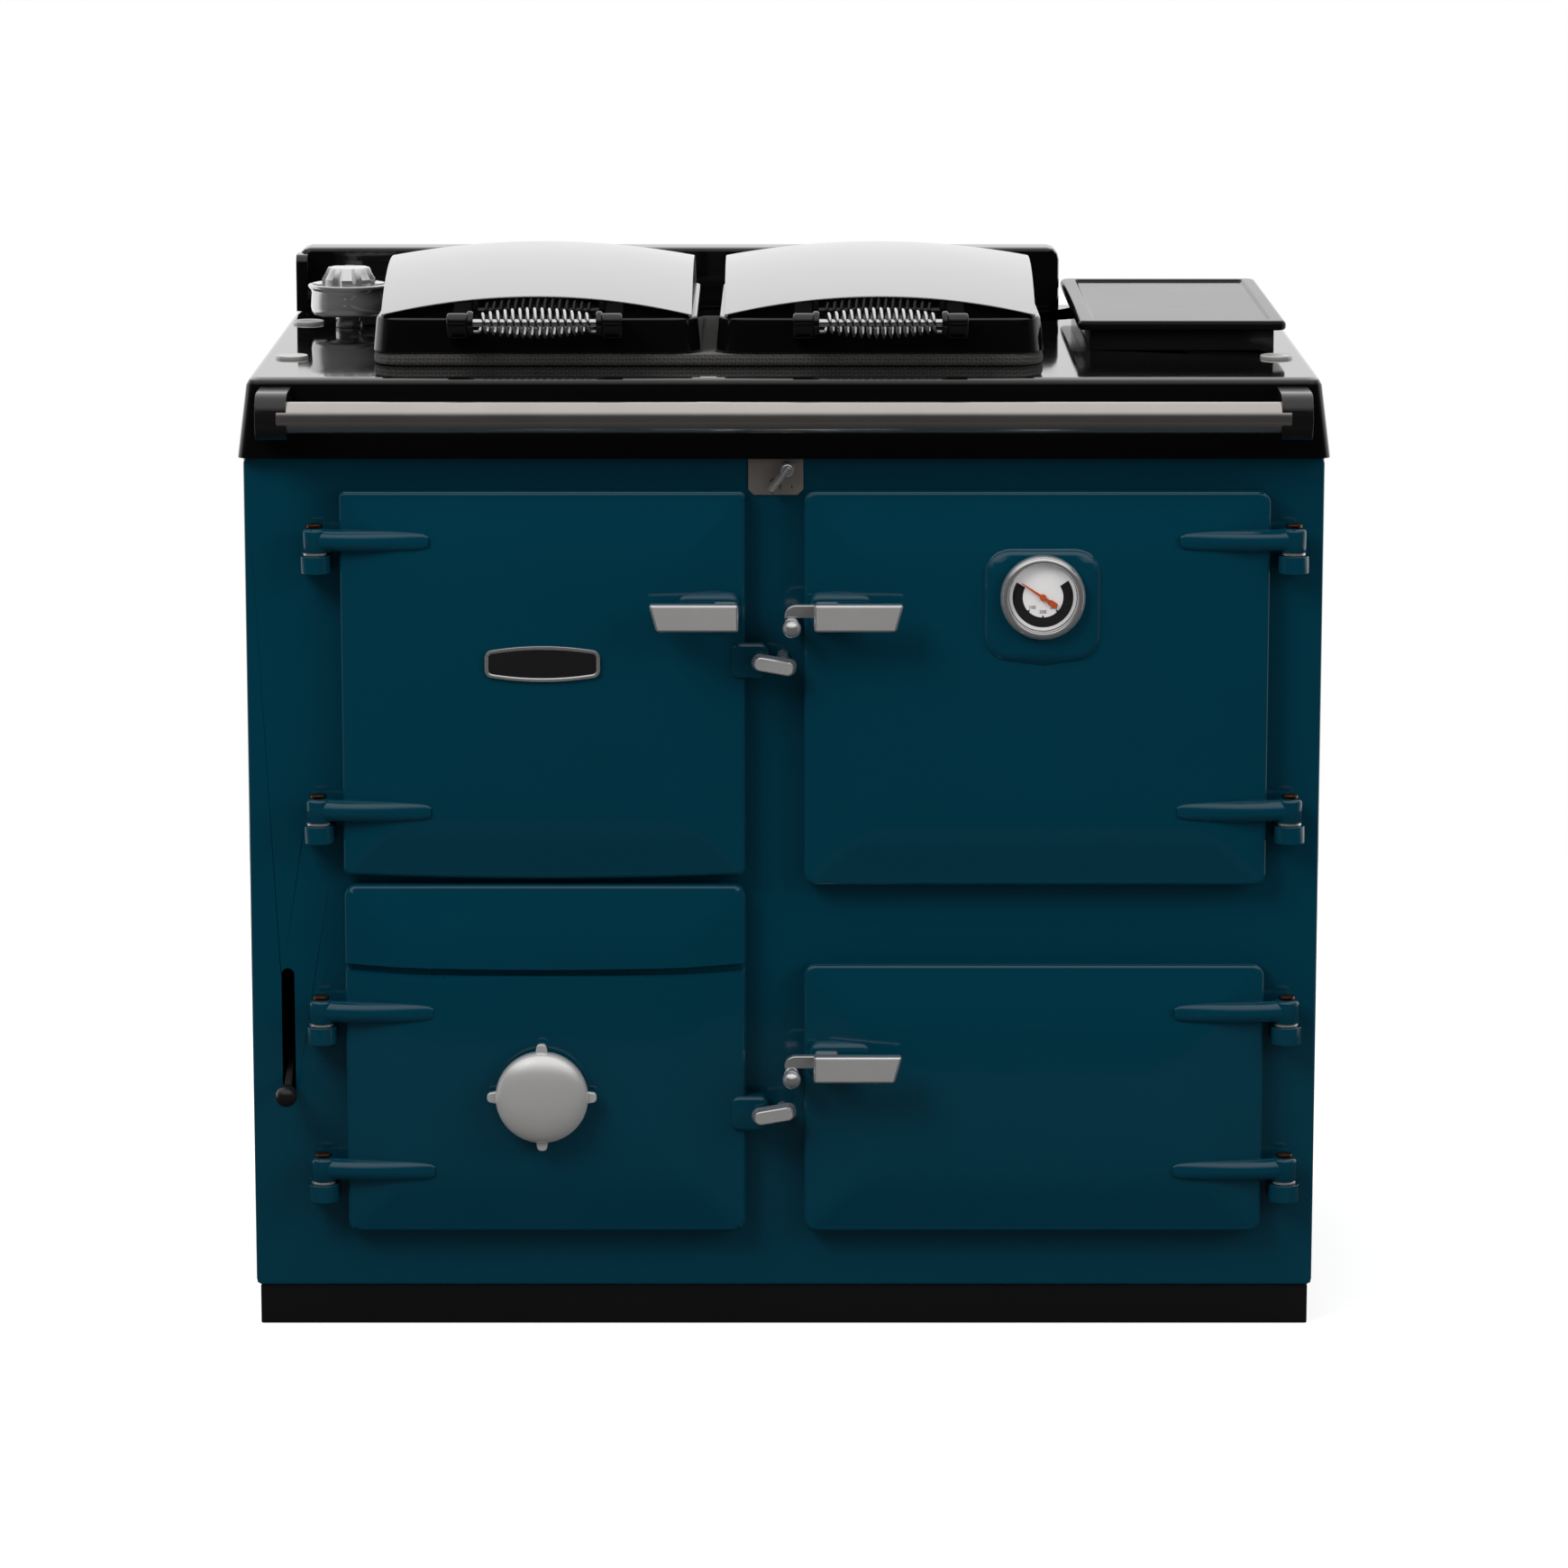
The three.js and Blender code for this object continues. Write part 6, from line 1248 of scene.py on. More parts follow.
@dataclass
class Door:
    """One enamelled door casting with its hinge arms, pins and liner."""

    name: str
    liner: str
    x: tuple[float, float]
    z: tuple[float, float]
    hinges: Side
    hinge_x: float
    pins: tuple[tuple[str, float], ...]
    bow: float = 0.0
    corner: float = 9.0
    edge_rise: float = 21.0
    bevel_rise: float = 29.8
    crown_rise: float = 32.0
    hinge_y: float = HINGE_Y
    arm_height: float = 22.0
    under_pin: float = 2.3

    def build(self, *extras: Object) -> None:
        """Builds the door with an arm and a barrel for each pin, joins its extras to it, and fits its liner.

        Args:
            *extras: Pads, lugs and bosses of the same casting.
        """
        panel = self.panel()
        arms = [self.arm(head) for _, head in self.pins]
        barrels = [self.barrel(head) for _, head in self.pins]
        smooth(panel, 60.0)
        for piece in (*arms, *barrels, *extras):
            smooth(piece, 60.0, weigh=False)
        whole = join_pieces(panel, *arms, *barrels, *extras)
        cover(whole, TEAL)
        fasten(whole, self.name, Slot.TEAL, self.name)
        liner = cover(from_node(self.liner, f"{self.name}_liner_plate", 2.0, 3), SHEET)
        fasten(liner, self.name, Slot.SHEET, self.liner)

    def panel(self) -> Object:
        """Door plate: rolled edge, wide shallow bevel and a faintly crowned middle.

        Returns:
            The panel.
        """
        short = min(self.x[1] - self.x[0], self.z[1] - self.z[0])
        front = DOOR_BACK - self.edge_rise
        piece = block(f"{self.name}_casting", self.x, (front, DOOR_BACK), self.z)
        stages = ((6.0, 0.0), (42.0, self.edge_rise - self.bevel_rise),
                  (min(44.0, short * 0.4 - 48.0), self.bevel_rise - self.crown_rise))
        pick_faces(piece, lambda _, normal: normal.y < -0.99)
        for width, rise in stages:
            bpy.ops.mesh.inset(thickness=width * MM, depth=0.0, use_even_offset=True)
            slide(y=rise)
        if self.bow:
            self.bow_foot(piece)
        self.round_corners(piece)
        return piece

    def round_corners(self, piece: Object) -> None:
        """Rounds the corners along their whole mitre, then each step of the face.

        Args:
            piece: The panel.
        """
        x0, x1 = self.x
        z0, z1 = self.z

        def inset_of(spot: Vector) -> tuple[float, float]:
            """How far a place is inside the door's sides, and inside its foot and top."""
            drop = self.foot_drop(spot.x) if spot.z < (z0 + z1) / 2 else 0.0
            return min(spot.x - x0, x1 - spot.x), min(spot.z + drop - z0, z1 - spot.z)

        def mitre(a: Vector, b: Vector) -> bool:
            """An edge that runs through a corner of the door."""
            one_corner = abs(a.x - b.x) < (x1 - x0) / 2 and abs(a.z - b.z) < (z1 - z0) / 2
            return one_corner and all(abs(u - v) < 0.6 for u, v in (inset_of(a), inset_of(b)))

        def level(rise: float, least: float, most: float) -> Callable[[Vector, Vector], bool]:
            """A test for the edges of one step of the face.

            Args:
                rise: Height of the step.
                least: Nearest to the rim.
                most: Farthest from it.

            Returns:
                The test.
            """
            def inside(a: Vector, b: Vector) -> bool:
                """Whether both ends lie on that step.

                Args:
                    a: One end.
                    b: Other end.

                Returns:
                    Whether the edge is on the step.
                """
                flat = abs(a.y - DOOR_BACK + rise) < 0.35 and abs(b.y - DOOR_BACK + rise) < 0.35
                near = all(least <= min(inset_of(p)) <= most for p in (a, b))
                return flat and near
            return inside

        pick_edges(piece, mitre)
        round_edges(self.corner, 6)
        pick_edges(piece, level(self.edge_rise, -0.5, 3.2))
        round_edges(5.0, 5)
        pick_edges(piece, level(self.bevel_rise, 44.0, 52.0))
        round_edges(15.0, 6)
        pick_edges(piece, level(0.0, -0.5, 3.2))
        round_edges(1.2, 2)
        object_mode()

    def foot_drop(self, x: float) -> float:
        """How far the bowed foot hangs below its ends at a place across the door."""
        t = (x - self.x[0]) / (self.x[1] - self.x[0])
        return 4.0 * self.bow * max(t * (1.0 - t), 0.0)

    def bow_foot(self, piece: Object, cuts: int = 8) -> None:
        """Cuts the face into upright strips and lowers each strip's foot.

        Args:
            piece: The panel.
            cuts: Number of strips.
        """
        x0, x1 = self.x
        places = [x0 + 70.0 + (x1 - x0 - 140.0) * i / cuts for i in range(cuts + 1)]
        for x in places:
            edit(piece)
            bpy.ops.mesh.bisect(plane_co=metres(x, 0.0, 0.0), plane_no=(1.0, 0.0, 0.0))
        middle = (self.z[0] + self.z[1]) / 2
        mesh = piece.data
        object_mode()
        columns = sorted({round(corner.co.x / MM, 2) for corner in mesh.vertices})
        for x in columns:
            drop = self.foot_drop(x)
            if drop > 0.02 and pick_corners(piece, lambda p: abs(p.x - x) < 0.02 and p.z < middle):
                slide(z=-drop)
        object_mode()

    def arm_middle(self, head: float) -> float:
        """Height of the middle of the arm under a pin head."""
        return head - self.under_pin - self.arm_height / 2

    def arm(self, head: float) -> Object:
        """Finger that runs from the barrel and dies away on the door's face.

        Args:
            head: Height of its pin's head.

        Returns:
            The arm.
        """
        inward = -self.hinges.value
        z = self.arm_middle(head)
        stations = ((0.0, self.hinge_y, 10.0, 11.0), (14.0, -291.0, 10.0, 11.0), (30.0, -293.5, 9.5, 11.0),
                    (46.0, -295.3, 8.6, 10.8), (62.0, -296.6, 7.2, 10.4), (76.0, -297.6, 5.6, 9.8),
                    (90.0, -298.5, 3.8, 8.8), (99.0, -299.1, 2.3, 7.4), (103.4, -299.6, 1.0, 5.0))
        object_mode()
        bpy.ops.mesh.primitive_circle_add(vertices=24, radius=10.0 * MM, fill_type="NGON",
                                          location=metres(self.hinge_x, self.hinge_y, z),
                                          rotation=(0.0, math.pi / 2, 0.0))
        piece = settle(bpy.context.object, f"{self.name}_arm")
        edit(piece)
        for before, after in zip(stations, stations[1:]):
            step = metres(inward * (after[0] - before[0]), after[1] - before[1], 0.0)
            bpy.ops.mesh.extrude_region_move(TRANSFORM_OT_translate={"value": step})
            spot = (self.hinge_x + inward * after[0], after[1], z)
            swell(1.0, after[2] / before[2], after[3] / before[3], spot)
        tidy_shell(piece)
        pick_corners(piece, lambda p: abs(p.x - self.hinge_x) < 0.01)
        swell(1.0, 1.0, 1.1, (self.hinge_x, self.hinge_y, z))
        object_mode()
        return piece

    def barrel(self, head: float) -> Object:
        """Upright barrel round the pin.

        Args:
            head: Height of its pin's head.

        Returns:
            The barrel.
        """
        top = head - self.under_pin
        foot = top - self.arm_height
        profile = [(0.0, foot), (10.4, foot), (11.5, foot + 1.1), (11.5, top - 4.2),
                   *arc((7.6, top - 3.9), 3.9, 0, 90, 6), (0.0, top)]
        return lathe(f"{self.name}_barrel", profile, Axis.Z, (self.hinge_x, self.hinge_y, 0.0), 40)


@dataclass
class HingePins:
    """Bronze-headed hinge pins with their bright washers, all of one pattern."""

    axis_y: float = HINGE_Y

    def build(self, doors: Sequence[Door]) -> None:
        """Turns one pin and copies it to every hinge.

        Args:
            doors: The four doors.
        """
        profile = [(0.0, -38.9), (4.2, -38.9), (5.0, -38.1), (5.0, -27.1), (10.5, -27.1), (11.0, -26.6),
                   (11.0, -25.1), (10.5, -24.6), (5.0, -24.6), (5.0, -2.0), (7.1, -2.0), (7.6, -1.5),
                   (7.6, 0.2), (7.2, 1.0), (5.6, 1.6), (2.6, 1.95), (0.0, 2.0)]
        pattern = lathe("pin_pattern", profile, Axis.Z, (0.0, 0.0, 0.0), 32)
        cover(smooth(pattern, 40.0), BRONZE)
        cover_where(pattern, CHROME, lambda middle, _: -27.2 < middle.z < -24.5)
        for door in doors:
            for node, head in door.pins:
                pin = shift(copy_of(pattern, f"{node}_turned"), door.hinge_x, self.axis_y, head)
                fasten(pin, "cooker", Slot.BRONZE, node)
        bpy.data.objects.remove(pattern, do_unlink=True)


def raised_pad(name: str, x: Sequence[float], z: Sequence[float], y: Sequence[float],
               corner: float, roll: float) -> Object:
    """A soft raised pad on a door: rounded corners and a rolled front edge.

    Args:
        name: Its name.
        x: Its left and right.
        z: Its foot and top.
        y: Its front and back.
        corner: Radius of its corners.
        roll: Radius of its front edge.

    Returns:
        The pad.
    """
    pad = rounded_block(name, x, y, z, Axis.Y, corner, 8)
    pick_edges(pad, lambda a, b: abs(a.y - y[0]) < 0.05 and abs(b.y - y[0]) < 0.05)
    round_edges(roll, 6)
    object_mode()
    return pad


def handle_pad(name: str, x: Sequence[float], middle: float) -> Object:
    """Pad under a handle's foot."""
    return raised_pad(name, x, (middle - 18.0, middle + 18.0), (-300.8, -284.0), 11.0, 8.5)


def latch_lug(name: str, height: float) -> Object:
    """Lug that reaches past the door's free edge and carries its latch."""
    return raised_pad(name, (-49.0, -14.0), (height - 16.5, height + 16.5), (-293.3, -274.3), 8.0, 4.5)


def cut_groove(piece: Object, x: Sequence[float], middle: float = 344.0, half: float = 4.6,
               depth: float = 8.5, bow: float = 4.0) -> Object:
    """Presses a shallow bowed channel across a door's face.

    Args:
        piece: The door plate.
        x: Its left and right sides.
        middle: Height of the channel at the door's sides.
        half: Half its width.
        depth: How far its bottom lies behind the face.
        bow: How far its middle hangs below its ends.

    Returns:
        The same plate.
    """
    rows = (middle - half, middle - half * 0.45, middle + half * 0.45, middle + half)
    for z in rows:
        edit(piece)
        bpy.ops.mesh.bisect(plane_co=metres(0.0, 0.0, z), plane_no=(0.0, 0.0, 1.0))
    for index in range(1, 14):
        edit(piece)
        bpy.ops.mesh.bisect(plane_co=metres(x[0] + (x[1] - x[0]) * index / 14, 0.0, 0.0),
                            plane_no=(1.0, 0.0, 0.0))
    pick_corners(piece, lambda p: p.y < -272.0 and rows[1] - 0.1 < p.z < rows[2] + 0.1)
    slide(y=depth)
    object_mode()
    for corner in piece.data.vertices:
        t = (corner.co.x / MM - x[0]) / (x[1] - x[0])
        if rows[0] - 0.1 < corner.co.z / MM < rows[3] + 0.1:
            corner.co.z -= 4.0 * bow * max(t * (1.0 - t), 0.0) * MM
    return piece


@dataclass
class DoorSet:
    """The four doors with everything cast onto them."""

    left_x: tuple[float, float] = LEFT_DOORS
    right_x: tuple[float, float] = RIGHT_DOORS
    left_hinge: float = -425.0
    right_hinge: float = 461.5
    wheel: tuple[float, float] = (-222.0, 228.0)

    def build(self) -> list[Door]:
        """Builds the doors and the pins, and returns the doors.

        Returns:
            The four doors.
        """
        firebox = Door("firebox_door", "firebox_door_baffle", self.left_x, (431.0, 785.0), Side.LEFT,
                       self.left_hinge, self.pins("firebox", UPPER_PINS), bow=4.0)
        ash = Door("ash_door", "ash_door_baffle", self.left_x, (94.0, 421.6), Side.LEFT,
                   self.left_hinge, self.pins("ash", LOWER_PINS))
        main = Door("main_oven_door", "main_oven_door_liner", self.right_x, (421.0, 785.0), Side.RIGHT,
                    self.right_hinge, self.pins("main_oven", UPPER_PINS))
        lower = Door("lower_oven_door", "lower_oven_door_liner", self.right_x, (94.0, 347.0), Side.RIGHT,
                     self.right_hinge, self.pins("lower_oven", LOWER_PINS))
        firebox.build(handle_pad("firebox_pad", (-99.0, -39.0), UPPER_HANDLE),
                      latch_lug("firebox_lug", UPPER_LATCH))
        self.build_ash(ash)
        main.build(handle_pad("main_pad", (22.0, 82.0), UPPER_HANDLE), self.gauge_boss())
        lower.build(handle_pad("lower_pad", (22.0, 82.0), LOWER_HANDLE))
        doors = [firebox, ash, main, lower]
        HingePins().build(doors)
        return doors

    @staticmethod
    def pins(door: str, heads: tuple[float, float]) -> tuple[tuple[str, float], ...]:
        """The upper and lower pin of a door, each with the height of its head."""
        return (f"{door}_pin_upper", heads[0]), (f"{door}_pin_lower", heads[1])

    def build_ash(self, door: Door) -> None:
        """Ash door: its panel is carved before the rest is joined to it.

        Args:
            door: The ash door.
        """
        plain = door.panel
        x, z = self.wheel

        def carved() -> Object:
            """The panel with its groove, spin bore and air holes.

            Returns:
                The carved panel.
            """
            piece = plain()
            cut_groove(piece, self.left_x)
            bore = lathe("bore", [(0.0, -310.0), (11.4, -310.0), (11.4, -260.0), (0.0, -260.0)], Axis.Y,
                         (x, 0.0, z), 32)
            carve(piece, bore)
            for index in range(6):
                turned = math.radians(60.0 * (index + 0.5))
                spot = (x + 24.0 * math.cos(turned), 0.0, z + 24.0 * math.sin(turned))
                hole = lathe("hole", [(0.0, -310.0), (5.0, -310.0), (5.0, -260.0), (0.0, -260.0)], Axis.Y,
                             spot, 20)
                carve(piece, hole)
            return piece

        door.panel = carved
        door.build(latch_lug("ash_lug", LOWER_LATCH))

    @staticmethod
    def gauge_boss() -> Object:
        """Raised seat of the gauge, with a soft curved foot.

        Returns:
            The seat.
        """
        boss = raised_pad("gauge_boss", (179.0, 289.0), (629.0, 737.0), (-305.3, -287.0), 26.0, 12.0)
        middle = 234.0
        foot = 634.0
        edit(boss)
        bpy.ops.mesh.bisect(plane_co=metres(middle, 0.0, 0.0), plane_no=(1.0, 0.0, 0.0))
        pick_corners(boss, lambda p: abs(p.x - middle) < 0.1 and p.z < foot)
        slide(z=-4.0)
        edit(boss)
        bpy.ops.mesh.bisect(plane_co=metres(0.0, 0.0, 714.0), plane_no=(0.0, 0.0, 1.0))
        for height, step in ((716.0, 1.1), (724.0, 1.2), (731.0, 1.2)):
            pick_corners(boss, lambda p: p.z > height and p.y < -295.0)
            slide(y=step)
        object_mode()
        return boss


# ------------------------------------------------------------- handles and catches
@dataclass
class Handle:
    """Trapezoid chromed bar on one foot; the oven ones also have a hook."""

    node: str
    body: str
    x: tuple[float, float]
    middle: float
    slant: Side
    hooked: bool
    half: float = 12.5
    front: float = -338.0
    back: float = -325.0
    pad_front: float = -301.1

    def build(self) -> None:
        """Shapes the grip, its foot and its hook."""
        low, high = self.middle - self.half, self.middle + self.half
        grip = block(f"{self.node}_bar", self.x, (self.front, self.back), (low, high))
        slanted = self.x[1] if self.slant is Side.RIGHT else self.x[0]
        pick_corners(grip, lambda p: abs(p.x - slanted) < 0.1 and p.z < self.middle)
        slide(x=-7.0 if self.slant is Side.RIGHT else 7.0)
        object_mode()
        soften(grip, 3.0, 5)
        smooth(grip, 40.0)
        foot_x = (self.x[0] + 3.0, self.x[0] + 21.0) if self.slant is Side.RIGHT else (
            self.x[1] - 21.0, self.x[1] - 3.0)
        foot = block(f"{self.node}_foot", foot_x, (self.back - 2.0, self.pad_front), (low + 4.0, high - 4.0))
        pick_faces(foot, lambda _, normal: normal.y > 0.99)
        swell(1.2, 1.0, 1.2, ((foot_x[0] + foot_x[1]) / 2, self.pad_front, self.middle))
        object_mode()
        soften(foot, 2.6, 4)
        smooth(foot, 40.0)
        whole = join_pieces(grip, foot)
        if self.hooked:
            whole = join_pieces(whole, self.hook())
        cover(whole, CHROME)
        cover_where(whole, SATIN, lambda middle, normal: normal.y < -0.93 and middle.y < -337.0)
        fasten(whole, self.body, Slot.CHROME, self.node)

    def hook(self) -> Object:
        """Half-round hook that drops over the catch bobbin.

        Returns:
            The hook.
        """
        foot = self.middle - 1.2
        top = self.middle + 10.5
        piece = block(f"{self.node}_hook", (0.5, self.x[0] + 10.0), (-326.0, -317.0), (foot, top))
        pick_edges(piece, lambda a, b: abs(a.x - 0.5) < 0.1 and abs(b.x - 0.5) < 0.1
                   and min(a.z, b.z) > top - 0.1)
        round_edges(10.2, 8)
        object_mode()
        soften(piece, 1.3, 3, 40.0)
        return smooth(piece, 40.0)


@dataclass
class Bobbin:
    """Polished catch bobbin that rolls on its stud."""

    node: str
    height: float
    x: float = CATCH_X
    ball: float = -331.5
    radius: float = 8.5

    def build(self) -> None:
        """Turns the bobbin: flange, waist and ball."""
        profile = [(0.0, -311.5), (6.4, -311.5), *arc((6.3, -312.8), 0.8, 70, -70, 4), (5.4, -314.8),
                   (5.2, -316.5), (5.2, -323.6), *arc((0.0, self.ball), self.radius, 52.0, -90.0, 14)]
        piece = lathe(f"{self.node}_turned", profile, Axis.Y, (self.x, 0.0, self.height), 40)
        cover(smooth(piece, 50.0), CHROME)
        fasten(piece, self.node, Slot.CHROME, self.node)


@dataclass
class Latch:
    """Wing latch on the firebox or the ash door."""

    node: str
    height: float
    tilt: float
    x: float = LATCH_X

    def build(self) -> None:
        """Shapes the wing, then turns it to the angle it rests at."""
        wing = block(f"{self.node}_wing", (self.x - 8.0, self.x + 34.0), (-312.0, -300.0),
                     (self.height - 8.0, self.height + 8.6))
        for x, radius in ((self.x - 8.0, 7.8), (self.x + 34.0, 6.5)):
            pick_edges(wing, lambda a, b: abs(a.x - x) < 0.1 and abs(b.x - x) < 0.1
                       and abs(a.y - b.y) > 5.0)
            round_edges(radius, 8)
        pick_corners(wing, lambda p: p.y < -311.9)
        swell(0.86, 1.0, 0.76, (self.x + 12.0, -312.0, self.height))
        object_mode()
        soften(wing, 1.6, 4, 35.0)
        smooth(wing, 40.0)
        stem = lathe(f"{self.node}_stem", [(0.0, -301.0), (6.4, -301.0), (6.5, -300.0), (6.5, -294.2),
                                           (6.0, -293.6), (4.0, -293.6), (4.0, -273.0), (0.0, -272.3)],
                     Axis.Y, (self.x, 0.0, self.height), 28)
        whole = join_pieces(wing, smooth(stem, 40.0))
        turn(whole, self.tilt, Axis.Y, (self.x, 0.0, self.height))
        cover(whole, CHROME)
        cover_where(whole, SATIN, lambda middle, normal: normal.y < -0.93 and middle.y < -311.0)
        fasten(whole, self.node, Slot.CHROME, self.node)


# ---------------------------------------------------------- fittings on the doors
@dataclass
class Badge:
    """Blank barrel-shaped plate with a bright rim."""

    middle: tuple[float, float] = (-219.0, 629.0)
    half_length: float = 52.3
    half_height: float = 16.4
    end_half: float = 11.6
    front: float = -303.6
    back: float = -300.6

    def build(self) -> None:
        """Bows the long sides, rounds the corners and sinks the field."""
        x, z = self.middle
        plate = block("badge_rim", (x - self.half_length, x + self.half_length), (self.front, self.back),
                      (z - self.half_height, z + self.half_height))
        spans = 10
        places = [x + self.half_length * (2.0 * i / spans - 1.0) for i in range(spans + 1)]
        for place in places[1:-1]:
            edit(plate)
            bpy.ops.mesh.bisect(plane_co=metres(place, 0.0, 0.0), plane_no=(1.0, 0.0, 0.0))
        for place in places:
            u = (place - x) / self.half_length
            ratio = 1.0 - (1.0 - self.end_half / self.half_height) * u * u
            pick_corners(plate, lambda p: abs(p.x - place) < 0.05)
            swell(1.0, 1.0, ratio, (x, self.front, z))
        pick_edges(plate, lambda a, b: abs(a.y - b.y) > 1.0 and abs(abs(a.x - x) - self.half_length) < 0.1)
        round_edges(6.0, 6)
        pick_faces(plate, lambda _, normal: normal.y < -0.99)
        bpy.ops.mesh.inset(thickness=2.6 * MM, depth=0.0, use_even_offset=True)
        bpy.ops.mesh.inset(thickness=0.5 * MM, depth=-0.9 * MM, use_even_offset=True)
        object_mode()
        soften(plate, 0.5, 3)
        cover(smooth(plate), CHROME)
        cover_where(plate, BADGE_BLACK, lambda middle, normal: normal.y < -0.9
                    and middle.y > self.front + 0.8)
        fasten(plate, "firebox_door", Slot.CHROME, "badge_plate")


@dataclass
class Gauge:
    """Dial thermometer on the main oven door."""

    x: float = 234.0
    z: float = 691.0
    seat: float = -305.6
    dial: float = -307.6
    rest: float = 56.0
    body: str = "main_oven_door"

    def build(self) -> None:
        """Case, dial with its plain scale, needle and glass."""
        self.case()
        self.face()
        self.needle()
        self.glass()

    def case(self) -> None:
        """Turned cup with a rolled bezel."""
        s = self.seat
        profile = [(0.0, -281.0), (34.5, -281.0), (34.5, s), (38.2, s), (38.6, s - 0.6), (38.6, s - 4.6),
                   (38.0, s - 6.6), (36.9, s - 8.4), (35.3, s - 9.8), (33.5, s - 10.4), (32.4, s - 10.1),
                   (31.7, s - 9.0), (31.2, s - 6.0), (31.0, self.dial), (0.0, self.dial)]
        case = lathe("gauge_bezel", profile, Axis.Y, (self.x, 0.0, self.z), 72)
        cover(smooth(case, 55.0), CHROME)
        cover_where(case, DIAL_WHITE, lambda middle, normal: normal.y < -0.95
                    and middle.y > self.dial - 0.2 and math.hypot(middle.x - self.x,
                                                                  middle.z - self.z) < 30.5)
        fasten(case, self.body, Slot.CHROME, "gauge_case")

    def sector(self, name: str, radii: tuple[float, float], start: float, end: float,
               front: float) -> Object:
        """Flat ring sector on the dial, angles in degrees clockwise from upright.

        Args:
            name: Its name.
            radii: Inner and outer radius.
            start: First angle.
            end: Last angle.
            front: Its y.

        Returns:
            The sector.
        """
        object_mode()
        bpy.ops.mesh.primitive_plane_add(size=0.001, location=metres(self.x, front, self.z + radii[0]))
        piece = settle(bpy.context.object, name)
        edit(piece, "VERT")
        bpy.ops.mesh.merge(type="CENTER")
        step = metres(0.0, 0.0, radii[1] - radii[0])
        bpy.ops.mesh.extrude_vertices_move(TRANSFORM_OT_translate={"value": step})
        bpy.ops.mesh.select_all(action="SELECT")
        steps = max(2, round((end - start) / 4.0))
        bpy.ops.mesh.spin(steps=steps, angle=-math.radians(end - start),
                          center=metres(self.x, front, self.z), axis=(0.0, 1.0, 0.0))
        object_mode()
        turn(piece, start, Axis.Y, (self.x, front, self.z))
        edit(piece)
        bpy.ops.mesh.extrude_region_move(TRANSFORM_OT_translate={"value": metres(0.0, 0.15, 0.0)})
        tidy_shell(piece)
        return piece

    def face(self) -> None:
        """Printed band, marks and numbers of the scale."""
        front = self.dial - 0.25
        band = self.sector("dial_band", (18.4, 27.4), 56.0, 300.0, front)
        marks = [self.sector("dial_mark", (16.8, 18.6), at - 2.4, at + 2.4, front)
                 for at in (134.0, 180.0, 226.0)]
        ring = self.sector("dial_ring", (30.5, 30.9), 0.0, 360.0, front)
        numbers = [self.number(text, at) for text, at in (("100", 226.0), ("200", 180.0), ("300", 134.0))]
        whole = join_pieces(band, *marks, ring, *numbers)
        whole.name = "dial_print"
        cover(whole, DIAL_INK)
        fasten(whole, self.body, Slot.KNOB)

    def number(self, text: str, at: float) -> Object:
        """One plain number of the scale, upright.

        Args:
            text: The digits.
            at: Angle clockwise from upright.

        Returns:
            The number.
        """
        object_mode()
        turned = math.radians(at)
        spot = (self.x + 13.4 * math.sin(turned), self.dial - 0.1, self.z + 13.4 * math.cos(turned))
        bpy.ops.object.text_add(location=metres(*spot), rotation=(math.pi / 2, 0.0, 0.0))
        made = bpy.context.object
        made.data.body = text
        made.data.size = 4.4 * MM
        made.data.align_x = "CENTER"
        made.data.align_y = "CENTER"
        made.data.extrude = 0.1 * MM
        made.data.resolution_u = 3
        bpy.ops.object.convert(target="MESH")
        return settle(bpy.context.object, f"dial_number_{text}")

    def needle(self) -> None:
        """Tapered pointer with a paddle tail and a hub."""
        top = self.dial - 2.6
        arm = block("needle_arm", (self.x - 1.5, self.x + 1.5), (top, top + 0.9),
                    (self.z - 7.0, self.z + 23.0))
        pick_corners(arm, lambda p: p.z > self.z + 20.0)
        swell(0.3, 1.0, 1.0, (self.x, top, self.z + 23.0))
        object_mode()
        tail = rounded_block("needle_tail", (self.x - 2.7, self.x + 2.7), (top, top + 0.9),
                             (self.z - 15.0, self.z - 6.5), Axis.Y, 1.6, 4)
        hub = lathe("needle_hub", [(0.0, top + 1.1), (3.1, top + 1.1), (3.1, top + 0.2),
                                   *arc((2.5, top + 0.2), 0.6, 0, -90, 3), (0.0, top - 0.5)],
                    Axis.Y, (self.x, 0.0, self.z), 28)
        whole = join_pieces(arm, tail, hub)
        whole.name = "needle_pointer"
        turn(whole, -self.rest, Axis.Y, (self.x, 0.0, self.z))
        cover(smooth(whole, 35.0), NEEDLE)
        fasten(whole, "gauge_needle", Slot.NEEDLE, "gauge_needle")

    def glass(self) -> None:
        """Slightly crowned glass."""
        s = self.seat
        profile = [(0.0, s - 6.4), (31.1, s - 6.4), (31.2, s - 7.4), (24.0, s - 7.75), (12.0, s - 7.95),
                   (0.0, s - 8.0)]
        pane = lathe("gauge_pane", profile, Axis.Y, (self.x, 0.0, self.z), 64)
        cover(smooth(pane, 40.0, weigh=False), GLASS)
        fasten(pane, self.body, Slot.GLASS, "gauge_glass")


